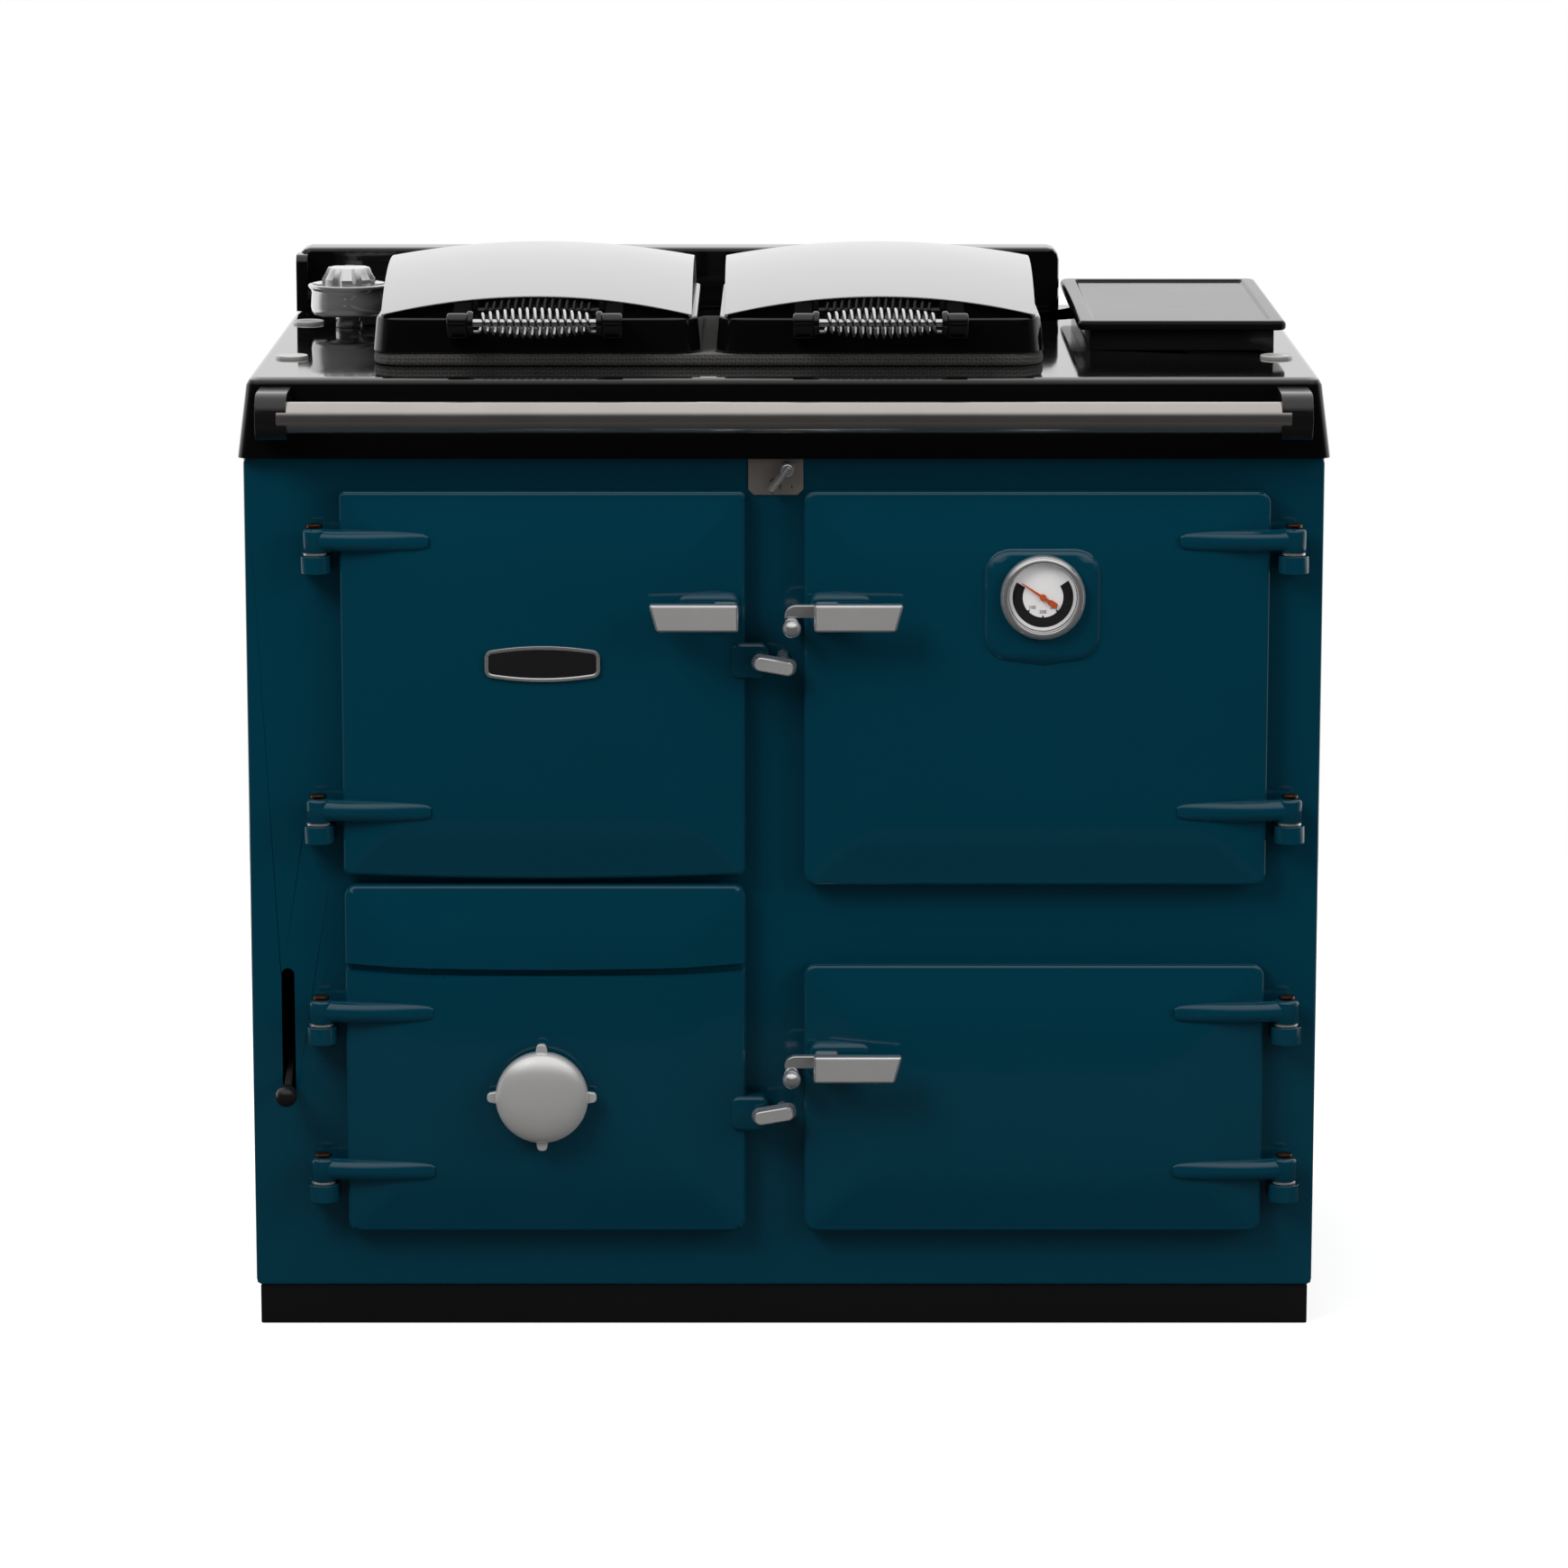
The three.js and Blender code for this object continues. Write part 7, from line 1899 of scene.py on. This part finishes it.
@dataclass
class SpinValve:
    """Spin wheel on the ash door, and the bush it turns on."""

    x: float = -222.0
    z: float = 228.0
    radius: float = 42.5
    back: float = -309.0
    depth: float = 22.0

    def build(self) -> None:
        """Turns the disc, adds its four lugs, and turns the bush."""
        b = self.back
        face = [(self.radius * math.cos(a) ** 0.9, b - 6.0 - (self.depth - 6.0) * math.sin(a))
                for a in (math.radians(90.0 * i / 14) for i in range(15))]
        face[-1] = (0.0, face[-1][1])
        profile = [(0.0, b - 13.0), (6.4, b - 13.0), (6.4, b), (16.0, b), (20.0, b - 4.0),
                   (self.radius - 5.0, b - 4.0), (self.radius - 3.0, b), (self.radius - 0.6, b),
                   (self.radius, b - 0.6), *face]
        disc = lathe("spin_disc", profile, Axis.Y, (self.x, 0.0, self.z), 72)
        lugs = []
        for index in range(4):
            lug = block(f"spin_lug_{index}", (self.x - 6.6, self.x + 6.6), (b - 7.0, b - 0.2),
                        (self.z + 36.0, self.z + 50.2))
            pick_corners(lug, lambda p: p.z > self.z + 50.0)
            swell(0.62, 1.0, 1.0, (self.x, b, self.z + 50.2))
            pick_edges(lug, lambda a, c: min(a.z, c.z) > self.z + 50.0 and abs(a.y - c.y) > 3.0)
            round_edges(3.0, 4)
            object_mode()
            soften(lug, 1.2, 3)
            lugs.append(turn(lug, 90.0 * index, Axis.Y, (self.x, 0.0, self.z)))
        for piece in (disc, *lugs):
            smooth(piece, 45.0)
        whole = join_pieces(disc, *lugs)
        whole.name = "spin_wheel_casting"
        cover(whole, WHEEL_PLATE)
        fasten(whole, "spin_wheel", Slot.CHROME, "spin_wheel")
        inner = DOOR_BACK + 16.0
        profile = [(0.0, b - 12.6), (5.6, b - 12.6), (6.0, b - 12.2), (6.0, b + 0.3), (10.6, b + 0.3),
                   (11.0, b + 0.7), (11.0, inner - 0.4), (10.6, inner), (0.0, inner)]
        bush = lathe("spin_bush_turned", profile, Axis.Y, (self.x, 0.0, self.z), 40)
        cover(smooth(bush, 40.0), BRUSHED)
        fasten(bush, "spin_bush", Slot.STEEL, "spin_bush")


# ---------------------------------------------------------------------- the lids
@dataclass
class Lid:
    """Insulated lid: cast base, polished dome and a wound wire handle."""

    body: str
    x: tuple[float, float]
    y: tuple[float, float] = LID_Y
    foot: float = 897.1
    top: float = 930.1
    corner: float = 26.0
    taper: float = 3.0
    dome_inset: float = 8.0
    edge_rise: float = 3.0
    edge_arch: float = 17.0
    side_crown: float = 40.0
    middle_crown: float = 53.0
    sheet: float = 3.0
    handle_y: float = -213.0
    handle_z: float = 929.1
    turns: int = 15
    pitch: float = 6.8
    lead: float = 5.0
    knuckle_inset: float = 34.0
    hinge_behind: float = 20.0
    hinge_z: float = 910.1

    def build(self) -> None:
        """Builds the three pieces of the lid."""
        self.base()
        self.dome()
        self.coil()

    @property
    def middle(self) -> float:
        """The lid's middle across the hob."""
        return (self.x[0] + self.x[1]) / 2

    @property
    def half_handle(self) -> float:
        """Half the length of wire between the mounts."""
        return (self.turns * self.pitch + 2 * self.lead) / 2

    def crown(self, u: float, v: float) -> float:
        """Height of the dome above the base's top, at u and v from -1 to 1.

        Args:
            u: Place across, from -1 to 1.
            v: Place in depth, from -1 to 1.

        Returns:
            The height.
        """
        edge = self.edge_rise + self.edge_arch * (1 - u * u)
        ridge = self.side_crown + (self.middle_crown - self.side_crown) * (1 - u * u)
        return edge + (ridge - edge) * (1 - v * v)

    def arched(self, name: str, drop: float, inset: Point, steps: int, foot: float) -> Object:
        """A body under the dome's surface, with level sides down to a foot.

        Args:
            name: The piece's name.
            drop: How far its top lies under the dome's outer face.
            inset: How far it stands inside the dome's sides, its front and its back.
            steps: Squares along each side.
            foot: Height of its underside.

        Returns:
            A closed shell.
        """
        half_x = (self.x[1] - self.x[0]) / 2 - self.dome_inset
        half_y = (self.y[1] - self.y[0]) / 2 - self.dome_inset
        centre = (self.middle, (self.y[0] + self.y[1]) / 2)
        object_mode()
        bpy.ops.mesh.primitive_grid_add(x_subdivisions=steps, y_subdivisions=steps, size=2.0 * MM,
                                        location=metres(0.0, 0.0, 0.0))
        piece = settle(bpy.context.object, name)
        edit(piece)
        bpy.ops.mesh.extrude_region_move(TRANSFORM_OT_translate={"value": metres(0.0, 0.0, 1.0)})
        object_mode()
        for corner in piece.data.vertices:
            x = corner.co.x / MM * (half_x - inset[0])
            y = corner.co.y / MM * (half_y - inset[1])
            raised = corner.co.z / MM > 0.5
            u = max(-1.0, min(1.0, x / half_x))
            v = max(-1.0, min(1.0, y / half_y))
            z = self.top + self.crown(u, v) - drop if raised else foot
            corner.co = metres(centre[0] + x, centre[1] + y, max(z, foot + 0.4) if raised else foot)
        return tidy_shell(piece)

    def dome(self) -> None:
        """Polished sheet that arches both ways and is open at its front and back."""
        outer = self.arched(f"{self.body}_dome_sheet", 0.0, (0.0, 0.0, 0.0), 48, self.top + 0.3)
        inner = self.arched("inner", self.sheet, (self.sheet, -6.0, 0.0), 24, self.top - 2.0)
        carve(outer, inner)
        soften(outer, 1.1, 3, 45.0)
        cover(smooth(outer, 35.0), DOME_STEEL)
        cover_where(outer, CHROME, self.rim_face)
        fasten(outer, self.body, Slot.CHROME, f"{self.body}_dome")

    def rim_face(self, middle: Vector, normal: Vector) -> bool:
        """Whether a face belongs to the bright cut edge at the dome's front or back."""
        return abs(normal.y) > 0.85 and (middle.y < self.y[0] + 10.0 or middle.y > self.y[1] - 10.0)

    def base(self) -> None:
        """Cast tray with the dome's dark core, the handle mounts and the hinge knuckles."""
        tray = rounded_block(f"{self.body}_base_casting", self.x, self.y, (self.foot, self.top), Axis.Z,
                             self.corner, 10)
        spot = (self.middle, (self.y[0] + self.y[1]) / 2, self.top)
        pick_faces(tray, lambda _, normal: normal.z > 0.99)
        swell(1.0 - 2 * self.taper / (self.x[1] - self.x[0]), 1.0 - 2 * self.taper / (self.y[1] - self.y[0]),
              1.0, spot)
        pick_faces(tray, lambda _, normal: normal.z < -0.99)
        bpy.ops.mesh.inset(thickness=16.0 * MM, depth=-6.0 * MM, use_even_offset=True)
        object_mode()
        soften(tray, 2.4, 4, 40.0)
        smooth(tray, 45.0)
        core = self.arched("core", self.sheet + 1.2, (self.sheet + 0.5, 10.0, 0.0), 20, self.top - 1.0)
        soften(core, 0.8, 2, 50.0)
        pieces = [tray, smooth(core, 40.0)]
        for outward in (-1, 1):
            pieces += self.mount(outward)
        rod = lathe("rod", [(0.0, -self.half_handle - 2.0), (3.5, -self.half_handle - 2.0),
                            (3.5, self.half_handle + 2.0), (0.0, self.half_handle + 2.0)], Axis.X,
                    (self.middle, self.handle_y, self.handle_z), 20)
        pieces.append(smooth(rod, 40.0))
        pieces += [self.knuckle(x) for x in (self.x[0] + self.knuckle_inset, self.x[1] - self.knuckle_inset)]
        whole = join_pieces(pieces[0], *pieces[1:])
        cover(whole, BLACK)
        cover_where(whole, WIRE, lambda middle, _: abs(middle.x - self.middle) < self.half_handle + 0.2
                    and abs(middle.y - self.handle_y) < 4.0 and abs(middle.z - self.handle_z) < 4.0)
        fasten(whole, self.body, Slot.BLACK, f"{self.body}_base")

    def mount(self, outward: int) -> list[Object]:
        """Stubby cast mount at one end of the handle, and the collar that the wire enters.

        Args:
            outward: -1 for the left end, 1 for the right.

        Returns:
            The mount and the collar.
        """
        near = self.middle + outward * self.half_handle
        ends = sorted((near + outward * 5.0, near + outward * 24.0))
        y, z = self.handle_y, self.handle_z
        arm = block("mount", ends, (y - 11.8, self.y[0] + 8.0), (self.foot + 9.0, z + 12.0))
        pick_corners(arm, lambda p: p.y > y and p.z > z)
        slide(z=-13.0)
        pick_edges(arm, lambda a, b: max(a.y, b.y) < y and min(a.z, b.z) > z and abs(a.x - b.x) > 5.0)
        round_edges(11.0, 8)
        pick_corners(arm, lambda p: p.y < y and p.z < z)
        slide(y=5.0, z=11.0)
        pick_edges(arm, lambda a, b: max(a.y, b.y) < y and max(a.z, b.z) < z and abs(a.x - b.x) > 5.0)
        round_edges(7.0, 6)
        object_mode()
        soften(arm, 2.6, 4, 30.0)
        profile = [(0.0, -6.0), (9.6, -6.0), (11.0, -4.6), (11.0, -1.4), (10.0, 0.0), (5.0, 0.0), (0.0, 0.0)]
        collar = lathe("collar", [(r, h * outward * -1.0) for r, h in profile], Axis.X, (near, y, z), 36)
        return [smooth(arm, 40.0), smooth(collar, 40.0)]

    def knuckle(self, x: float) -> Object:
        """Hinge knuckle behind the lid.

        Args:
            x: Its middle.

        Returns:
            The knuckle.
        """
        back = self.y[1]
        axis = back + self.hinge_behind
        barrel = lathe("knuckle", [(0.0, -11.0), (8.0, -11.0), (8.5, -10.4), (8.5, 10.4), (8.0, 11.0),
                                   (0.0, 11.0)], Axis.X, (x, axis, self.hinge_z), 28)
        arm = block("knuckle_arm", (x - 10.9, x + 10.9), (back - 8.0, axis), (902.0, 918.0))
        soften(arm, 0.8, 2)
        return join_pieces(smooth(barrel, 40.0), smooth(arm, 40.0))

    def coil(self) -> None:
        """Barrel-shaped winding of bright wire, as one tube along its helix."""
        per_turn = 20
        steps = self.turns * per_turn
        start = self.middle - self.half_handle + 0.3 + self.lead
        length = 2 * self.half_handle - 0.6 - 2 * self.lead
        path = []
        for k in range(steps + 1):
            t = k / steps
            radius = 8.0 + 5.0 * math.sin(math.pi * t)
            angle = 2 * math.pi * self.turns * t
            path.append((start + length * t, self.handle_y + radius * math.sin(angle),
                         self.handle_z - radius * math.cos(angle)))
        first, last = path[0], path[-1]
        head = [(first[0] - self.lead * share, first[1], first[2]) for share in (1.0, 0.6, 0.3)]
        tail = [(last[0] + self.lead * share, last[1], last[2]) for share in (0.3, 0.6, 1.0)]
        whole = [*head, *path, *tail]
        curve = bpy.data.curves.new(f"{self.body}_winding", "CURVE")
        curve.dimensions = "3D"
        curve.bevel_depth = 1.5 * MM
        curve.bevel_resolution = 3
        curve.use_fill_caps = True
        spline = curve.splines.new("POLY")
        spline.points.add(len(whole) - 1)
        for point, spot in zip(spline.points, whole):
            point.co = (*metres(*spot), 1.0)
        wire = bpy.data.objects.new(f"{self.body}_winding", curve)
        bpy.context.scene.collection.objects.link(wire)
        take(wire)
        bpy.ops.object.convert(target="MESH")
        wire = settle(bpy.context.object, f"{self.body}_winding")
        cover(smooth(wire, 60.0, weigh=False), WIRE)
        fasten(wire, self.body, Slot.CHROME, f"{self.body}_coil")


# ------------------------------------------------------------------ the controls
@dataclass
class ThermostatKnob:
    """Flared chrome knob on the hob with a fluted grip."""

    place: tuple[float, float] = (-422.0, 143.0)
    foot: float = 886.3
    radius: float = 39.5

    def build(self) -> None:
        """Turns the stem and dish, then flutes the grip."""
        f, r = self.foot, self.radius
        profile = [(0.0, f - 20.0), (5.0, f - 20.0), (5.0, f), (12.6, f), (13.0, f + 0.5), (13.0, f + 10.8),
                   (15.0, f + 12.0), (r - 8.4, f + 12.0), (r - 5.4, f + 12.9), (r - 3.6, f + 15.4),
                   (r - 2.6, f + 20.0), (r - 3.0, f + 27.0), (r - 3.5, f + 34.0), (r - 2.8, f + 36.6),
                   (r - 0.8, f + 38.6), (r - 0.1, f + 40.2), (r - 0.6, f + 41.6), (r - 2.2, f + 42.2),
                   (r - 5.0, f + 41.9), (r - 9.0, f + 41.2), (26.0, f + 41.0), (0.0, f + 41.0)]
        dish = lathe("knob_dish", profile, Axis.Z, (*self.place, 0.0), 72)
        object_mode()
        bpy.ops.mesh.primitive_circle_add(vertices=32, radius=26.0 * MM, fill_type="NGON",
                                          location=metres(*self.place, f + 40.0))
        grip = settle(bpy.context.object, "knob_grip")
        self.flute(grip)
        edit(grip)
        levels = ((0.0, 1.0), (7.0, 1.0), (13.0, 0.86), (16.6, 0.80), (17.8, 0.76), (18.0, 0.70))
        for before, after in zip(levels, levels[1:]):
            step = metres(0.0, 0.0, after[0] - before[0])
            bpy.ops.mesh.extrude_region_move(TRANSFORM_OT_translate={"value": step})
            ratio = after[1] / before[1]
            swell(ratio, ratio, 1.0, (*self.place, f + 40.0 + after[0]))
        tidy_shell(grip)
        whole = join_pieces(smooth(dish, 45.0, weigh=False), smooth(grip, 30.0, weigh=False))
        whole.name = "thermostat_knob_turned"
        cover(whole, CHROME)
        fasten(whole, "thermostat_knob", Slot.CHROME, "thermostat_knob")

    def flute(self, grip: Object) -> None:
        """Draws every fourth corner of the ring in, for eight finger flutes.

        Args:
            grip: The fluted ring.
        """
        x, y = self.place

        def hollow(spot: Vector) -> bool:
            """A corner in the middle of a flute."""
            turned = math.degrees(math.atan2(spot.y - y, spot.x - x)) % 45.0
            return min(abs(turned - 22.5), 45.0 - abs(turned - 22.5)) < 3.0

        pick_corners(grip, hollow)
        swell(0.88, 0.88, 1.0, (x, y, 0.0))
        object_mode()


@dataclass
class Damper:
    """Pointer knob on its brushed plate."""

    pivot: tuple[float, float] = (3.0, 803.0)
    back: float = -270.1
    turned: float = 37.0

    def build(self) -> None:
        """Plate with its marks, then the knob, spindle and flap."""
        plate = cover(from_node("control_plate", "control_plate_sheet", 0.4, 2), PLATE_STEEL)
        fasten(plate, "cooker", Slot.STEEL, "control_plate")
        self.marks()
        x, z = self.pivot
        b = self.back
        hub = lathe("damper_hub", [(0.0, b), (7.5, b), (7.4, b - 2.0), (6.4, b - 12.0), (5.4, b - 13.6),
                                   (4.6, b - 14.0), (0.0, b - 14.0)], Axis.Y, (x, 0.0, z), 40)
        pointer = block("damper_pointer", (x - 4.0, x + 4.0), (b - 15.6, b - 3.0), (z - 26.8, z + 5.0))
        pick_faces(pointer, lambda _, normal: normal.y < -0.99)
        swell(0.34, 1.0, 0.86, (x, b - 15.6, z - 6.0))
        pick_corners(pointer, lambda p: p.z < z - 20.0)
        swell(0.9, 1.0, 1.0, (x, b, z - 26.0))
        object_mode()
        soften(pointer, 0.9, 3)
        spindle = lathe("damper_spindle", [(0.0, b + 1.0), (3.0, b + 1.0), (3.0, -234.4), (0.0, -234.0)],
                        Axis.Y, (x, 0.0, z), 20)
        flap = soften(block("damper_flap", (x - 15.0, x + 15.0), (-252.0, -249.5), (z - 20.0, z + 8.0)), 0.5)
        whole = join_pieces(*(smooth(piece, 40.0) for piece in (hub, pointer, spindle, flap)))
        whole.name = "damper_knob_pointer"
        turn(whole, self.turned, Axis.Y, (x, 0.0, z))
        cover(whole, CHROME)
        fasten(whole, "damper_knob", Slot.CHROME, "damper_knob")

    def marks(self) -> None:
        """Short plain strokes in an arc on the plate."""
        x, z = self.pivot
        strokes = []
        for index, (at, length) in enumerate(((200.0, 4.5), (217.0, 3.0), (234.0, 4.5), (166.0, 3.0))):
            stroke = block(f"damper_mark_{index}", (x - 0.45, x + 0.45), (-269.9, -269.7),
                           (z + 15.5, z + 15.5 + length))
            turn(stroke, at, Axis.Y, (x, 0.0, z))
            strokes.append(stroke)
        whole = join_pieces(*strokes)
        whole.name = "damper_marks"
        cover(whole, DIAL_INK)
        fasten(whole, "cooker", Slot.STEEL)


@dataclass
class RiddlingLever:
    """Lever of the grate, with its black knob in front of the slot."""

    pivot: Point = (-457.0, -112.0, 275.0)
    length: float = 196.0
    droop: float = 14.0

    def build(self) -> None:
        """Shapes the flat bar level, turns the knob, then tips both to rest."""
        x, y, z = self.pivot
        tip = y - self.length - 12.0
        bar = block("lever_bar", (x - 3.0, x + 3.0), (y - self.length + 14.0, y), (z - 6.5, z + 6.5))
        pick_corners(bar, lambda p: p.y < y - 100.0)
        swell(1.0, 1.0, 0.6, (x, y, z))
        object_mode()
        soften(bar, 0.8, 2)
        eye = lathe("lever_eye", [(5.3, -3.0), (10.5, -3.0), (11.0, -2.5), (11.0, 2.5), (10.5, 3.0),
                                  (5.3, 3.0), (5.3, -3.0)], Axis.X, self.pivot, 32)
        profile = [(0.0, tip), (3.6, tip + 0.4), (6.6, tip + 1.7), (8.7, tip + 4.2), (9.8, tip + 7.2),
                   (10.0, tip + 10.0), (9.7, tip + 13.2), (8.2, tip + 17.0), (6.0, tip + 21.0),
                   (4.4, tip + 25.0), (3.5, tip + 28.0), (0.0, tip + 28.0)]
        knob = lathe("lever_knob", profile, Axis.Y, (x, 0.0, z), 40)
        for piece in (bar, eye, knob):
            smooth(piece, 45.0)
        whole = join_pieces(bar, eye, knob)
        whole.name = "riddling_lever_knob"
        turn(whole, self.droop, Axis.X, self.pivot)
        cover(whole, KNOB_BLACK)
        cover_where(whole, IRON, lambda middle, _: middle.y > -280.0)
        fasten(whole, "riddling_lever", Slot.KNOB, "riddling_lever")


# ------------------------------------------------------------------- the studio
@dataclass
class Studio:
    """Pale floor, soft lamps, white surround and the camera."""

    camera_place: Point = (0.0, -5.667, 1.534)
    camera_pitch: float = 10.72
    lens: float = 137.8
    even_light: float = 0.42

    def build(self) -> None:
        """Sets up the camera, the surround, the floor and the lamps."""
        self.camera()
        self.surround()
        self.floor()
        self.lamp("key_lamp", (-2.3, -2.7, 3.5), (0.0, 0.0, 0.75), 1.9, 118.0)
        self.lamp("fill_lamp", (3.6, -2.6, 2.4), (0.0, 0.0, 0.5), 2.4, 75.0)
        self.lamp("top_lamp", (0.0, 1.2, 4.2), (0.0, 0.0, 0.6), 3.0, 60.0)
        scene = bpy.context.scene
        scene.view_settings.view_transform = "Standard"

    def camera(self) -> None:
        """Camera in front, a little above, at the photograph's angle."""
        pitch = math.radians(self.camera_pitch)
        data = bpy.data.cameras.new("viewer")
        data.sensor_width = 36.0
        data.lens = self.lens
        data.clip_end = 60.0
        data.dof.use_dof = False
        viewer = bpy.data.objects.new("viewer", data)
        viewer.location = self.camera_place
        viewer.rotation_euler = (math.pi / 2 - pitch, 0.0, 0.0)
        bpy.context.scene.collection.objects.link(viewer)
        bpy.context.scene.camera = viewer

    @staticmethod
    def levels(bench: NodeBench, value: NodeSocket, stops: Sequence[tuple[float, float]]) -> NodeSocket:
        """Brightness laid out along one direction, whose value runs from -1 to 1.

        Args:
            bench: The world's nodes.
            value: The direction's value.
            stops: Places with their brightness.

        Returns:
            The brightness.
        """
        along = bench.add("ShaderNodeMapRange", {0: value, 1: -1.0, 2: 1.0}).outputs[0]
        ramp = bench.add("ShaderNodeValToRGB", {0: along})
        steps = ramp.color_ramp.elements
        for at, level in stops:
            ends = {-1.0: 0, 1.0: len(steps) - 1}
            step = steps[ends[at]] if at in ends else steps.new((at + 1.0) / 2.0)
            step.color = (level, level, level, 1.0)
        return ramp.outputs[0]

    def surround(self) -> None:
        """White to the eye; to gloss, bright behind and above and dim in front."""
        world = bpy.data.worlds.new("studio_surround")
        world.use_nodes = True
        world.cycles.sampling_method = "NONE"
        bpy.context.scene.world = world
        bench = NodeBench(world.node_tree)
        rays = bench.add("ShaderNodeLightPath").outputs
        direction = bench.add("ShaderNodeTexCoord").outputs["Generated"]
        axes = bench.add("ShaderNodeSeparateXYZ", {0: direction}).outputs
        behind = self.levels(bench, axes["Y"], ((-1.0, 0.0), (-0.45, 0.01), (-0.05, 0.10), (0.35, 0.80),
                                                (1.0, 1.0)))
        above = self.levels(bench, axes["Z"], ((-1.0, 0.40), (-0.50, 0.01), (0.34, 0.0), (0.56, 0.45),
                                               (0.72, 0.85), (1.0, 0.85)))
        gloss = bench.sum("MAXIMUM", behind, above)
        even = self.even_light
        unseen = bench.blend(rays["Is Glossy Ray"], (even, even, even * 1.02, 1.0), gloss)
        seen = bench.sum("MAXIMUM", rays["Is Camera Ray"], rays["Is Transmission Ray"])
        colour = bench.blend(seen, unseen, (1.0, 1.0, 1.0, 1.0))
        background = bench.add("ShaderNodeBackground", {"Color": colour, "Strength": 1.0})
        bench.add("ShaderNodeOutputWorld", {"Surface": background.outputs[0]})

    def floor(self) -> None:
        """Pale floor that holds a soft shadow and fades to white."""
        object_mode()
        bpy.ops.mesh.primitive_plane_add(size=3.4, location=(0.0, 0.2, -0.0005))
        floor = settle(bpy.context.object, "floor")
        made = bpy.data.materials.new("pale_floor")
        made.use_nodes = True
        bench = NodeBench(made.node_tree)
        rays = bench.add("ShaderNodeLightPath").outputs
        unlit = bench.blend(rays["Is Glossy Ray"], (0.30, 0.30, 0.30, 1.0), (0.01, 0.01, 0.01, 1.0))
        tone = bench.blend(rays["Is Camera Ray"], unlit, (0.80, 0.80, 0.80, 1.0))
        shader = bench.add("ShaderNodeBsdfPrincipled", {"Base Color": tone, "Roughness": 0.9})
        seen = bench.sum("MULTIPLY", rays["Is Camera Ray"], 0.55)
        lift = bench.add("ShaderNodeEmission", {"Color": (1.0, 1.0, 1.0, 1.0), "Strength": seen})
        both = bench.add("ShaderNodeAddShader", {0: shader.outputs[0], 1: lift.outputs[0]})
        bench.add("ShaderNodeOutputMaterial", {"Surface": both.outputs[0]})
        floor.data.materials.append(made)

    @staticmethod
    def lamp(name: str, place: Point, aim: Point, size: float, power: float) -> None:
        """One soft square lamp that looks at a place.

        Args:
            name: Its name.
            place: Where it hangs, in metres.
            aim: What it looks at.
            size: Its side.
            power: In watts.
        """
        data = bpy.data.lights.new(name, "AREA")
        data.shape = "SQUARE"
        data.size = size
        data.energy = power
        lamp = bpy.data.objects.new(name, data)
        lamp.location = place
        lamp.visible_glossy = False
        lamp.rotation_mode = "QUATERNION"
        lamp.rotation_quaternion = (Vector(aim) - Vector(place)).to_track_quat("-Z", "Y")
        bpy.context.scene.collection.objects.link(lamp)


def main() -> None:
    """Builds the studio and the cooker's sub-assemblies in order."""
    logging.basicConfig(level=logging.INFO, format="%(name)s: %(message)s")
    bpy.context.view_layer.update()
    Studio().build()
    Casing().build()
    TopPlate().build()
    FlueTop().build()
    Handrail().build()
    DoorSet().build()
    Handle("firebox_door_handle", "firebox_door", (-122.0, -41.0), UPPER_HANDLE, Side.LEFT, False).build()
    Handle("main_oven_handle", "main_oven_door", (27.0, 108.0), UPPER_HANDLE, Side.RIGHT, True).build()
    Handle("lower_oven_handle", "lower_oven_door", (27.0, 108.0), LOWER_HANDLE, Side.RIGHT, True).build()
    Bobbin("main_oven_bobbin", UPPER_CATCH).build()
    Bobbin("lower_oven_bobbin", LOWER_CATCH).build()
    Latch("firebox_latch", UPPER_LATCH, 10.0).build()
    Latch("ash_latch", LOWER_LATCH, -10.0).build()
    Badge().build()
    Gauge().build()
    SpinValve().build()
    Lid("left_lid", (-378.0, -76.6)).build()
    Lid("right_lid", (-62.6, 238.8)).build()
    ThermostatKnob().build()
    Damper().build()
    RiddlingLever().build()
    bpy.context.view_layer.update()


if __name__ == "__main__":
    main()
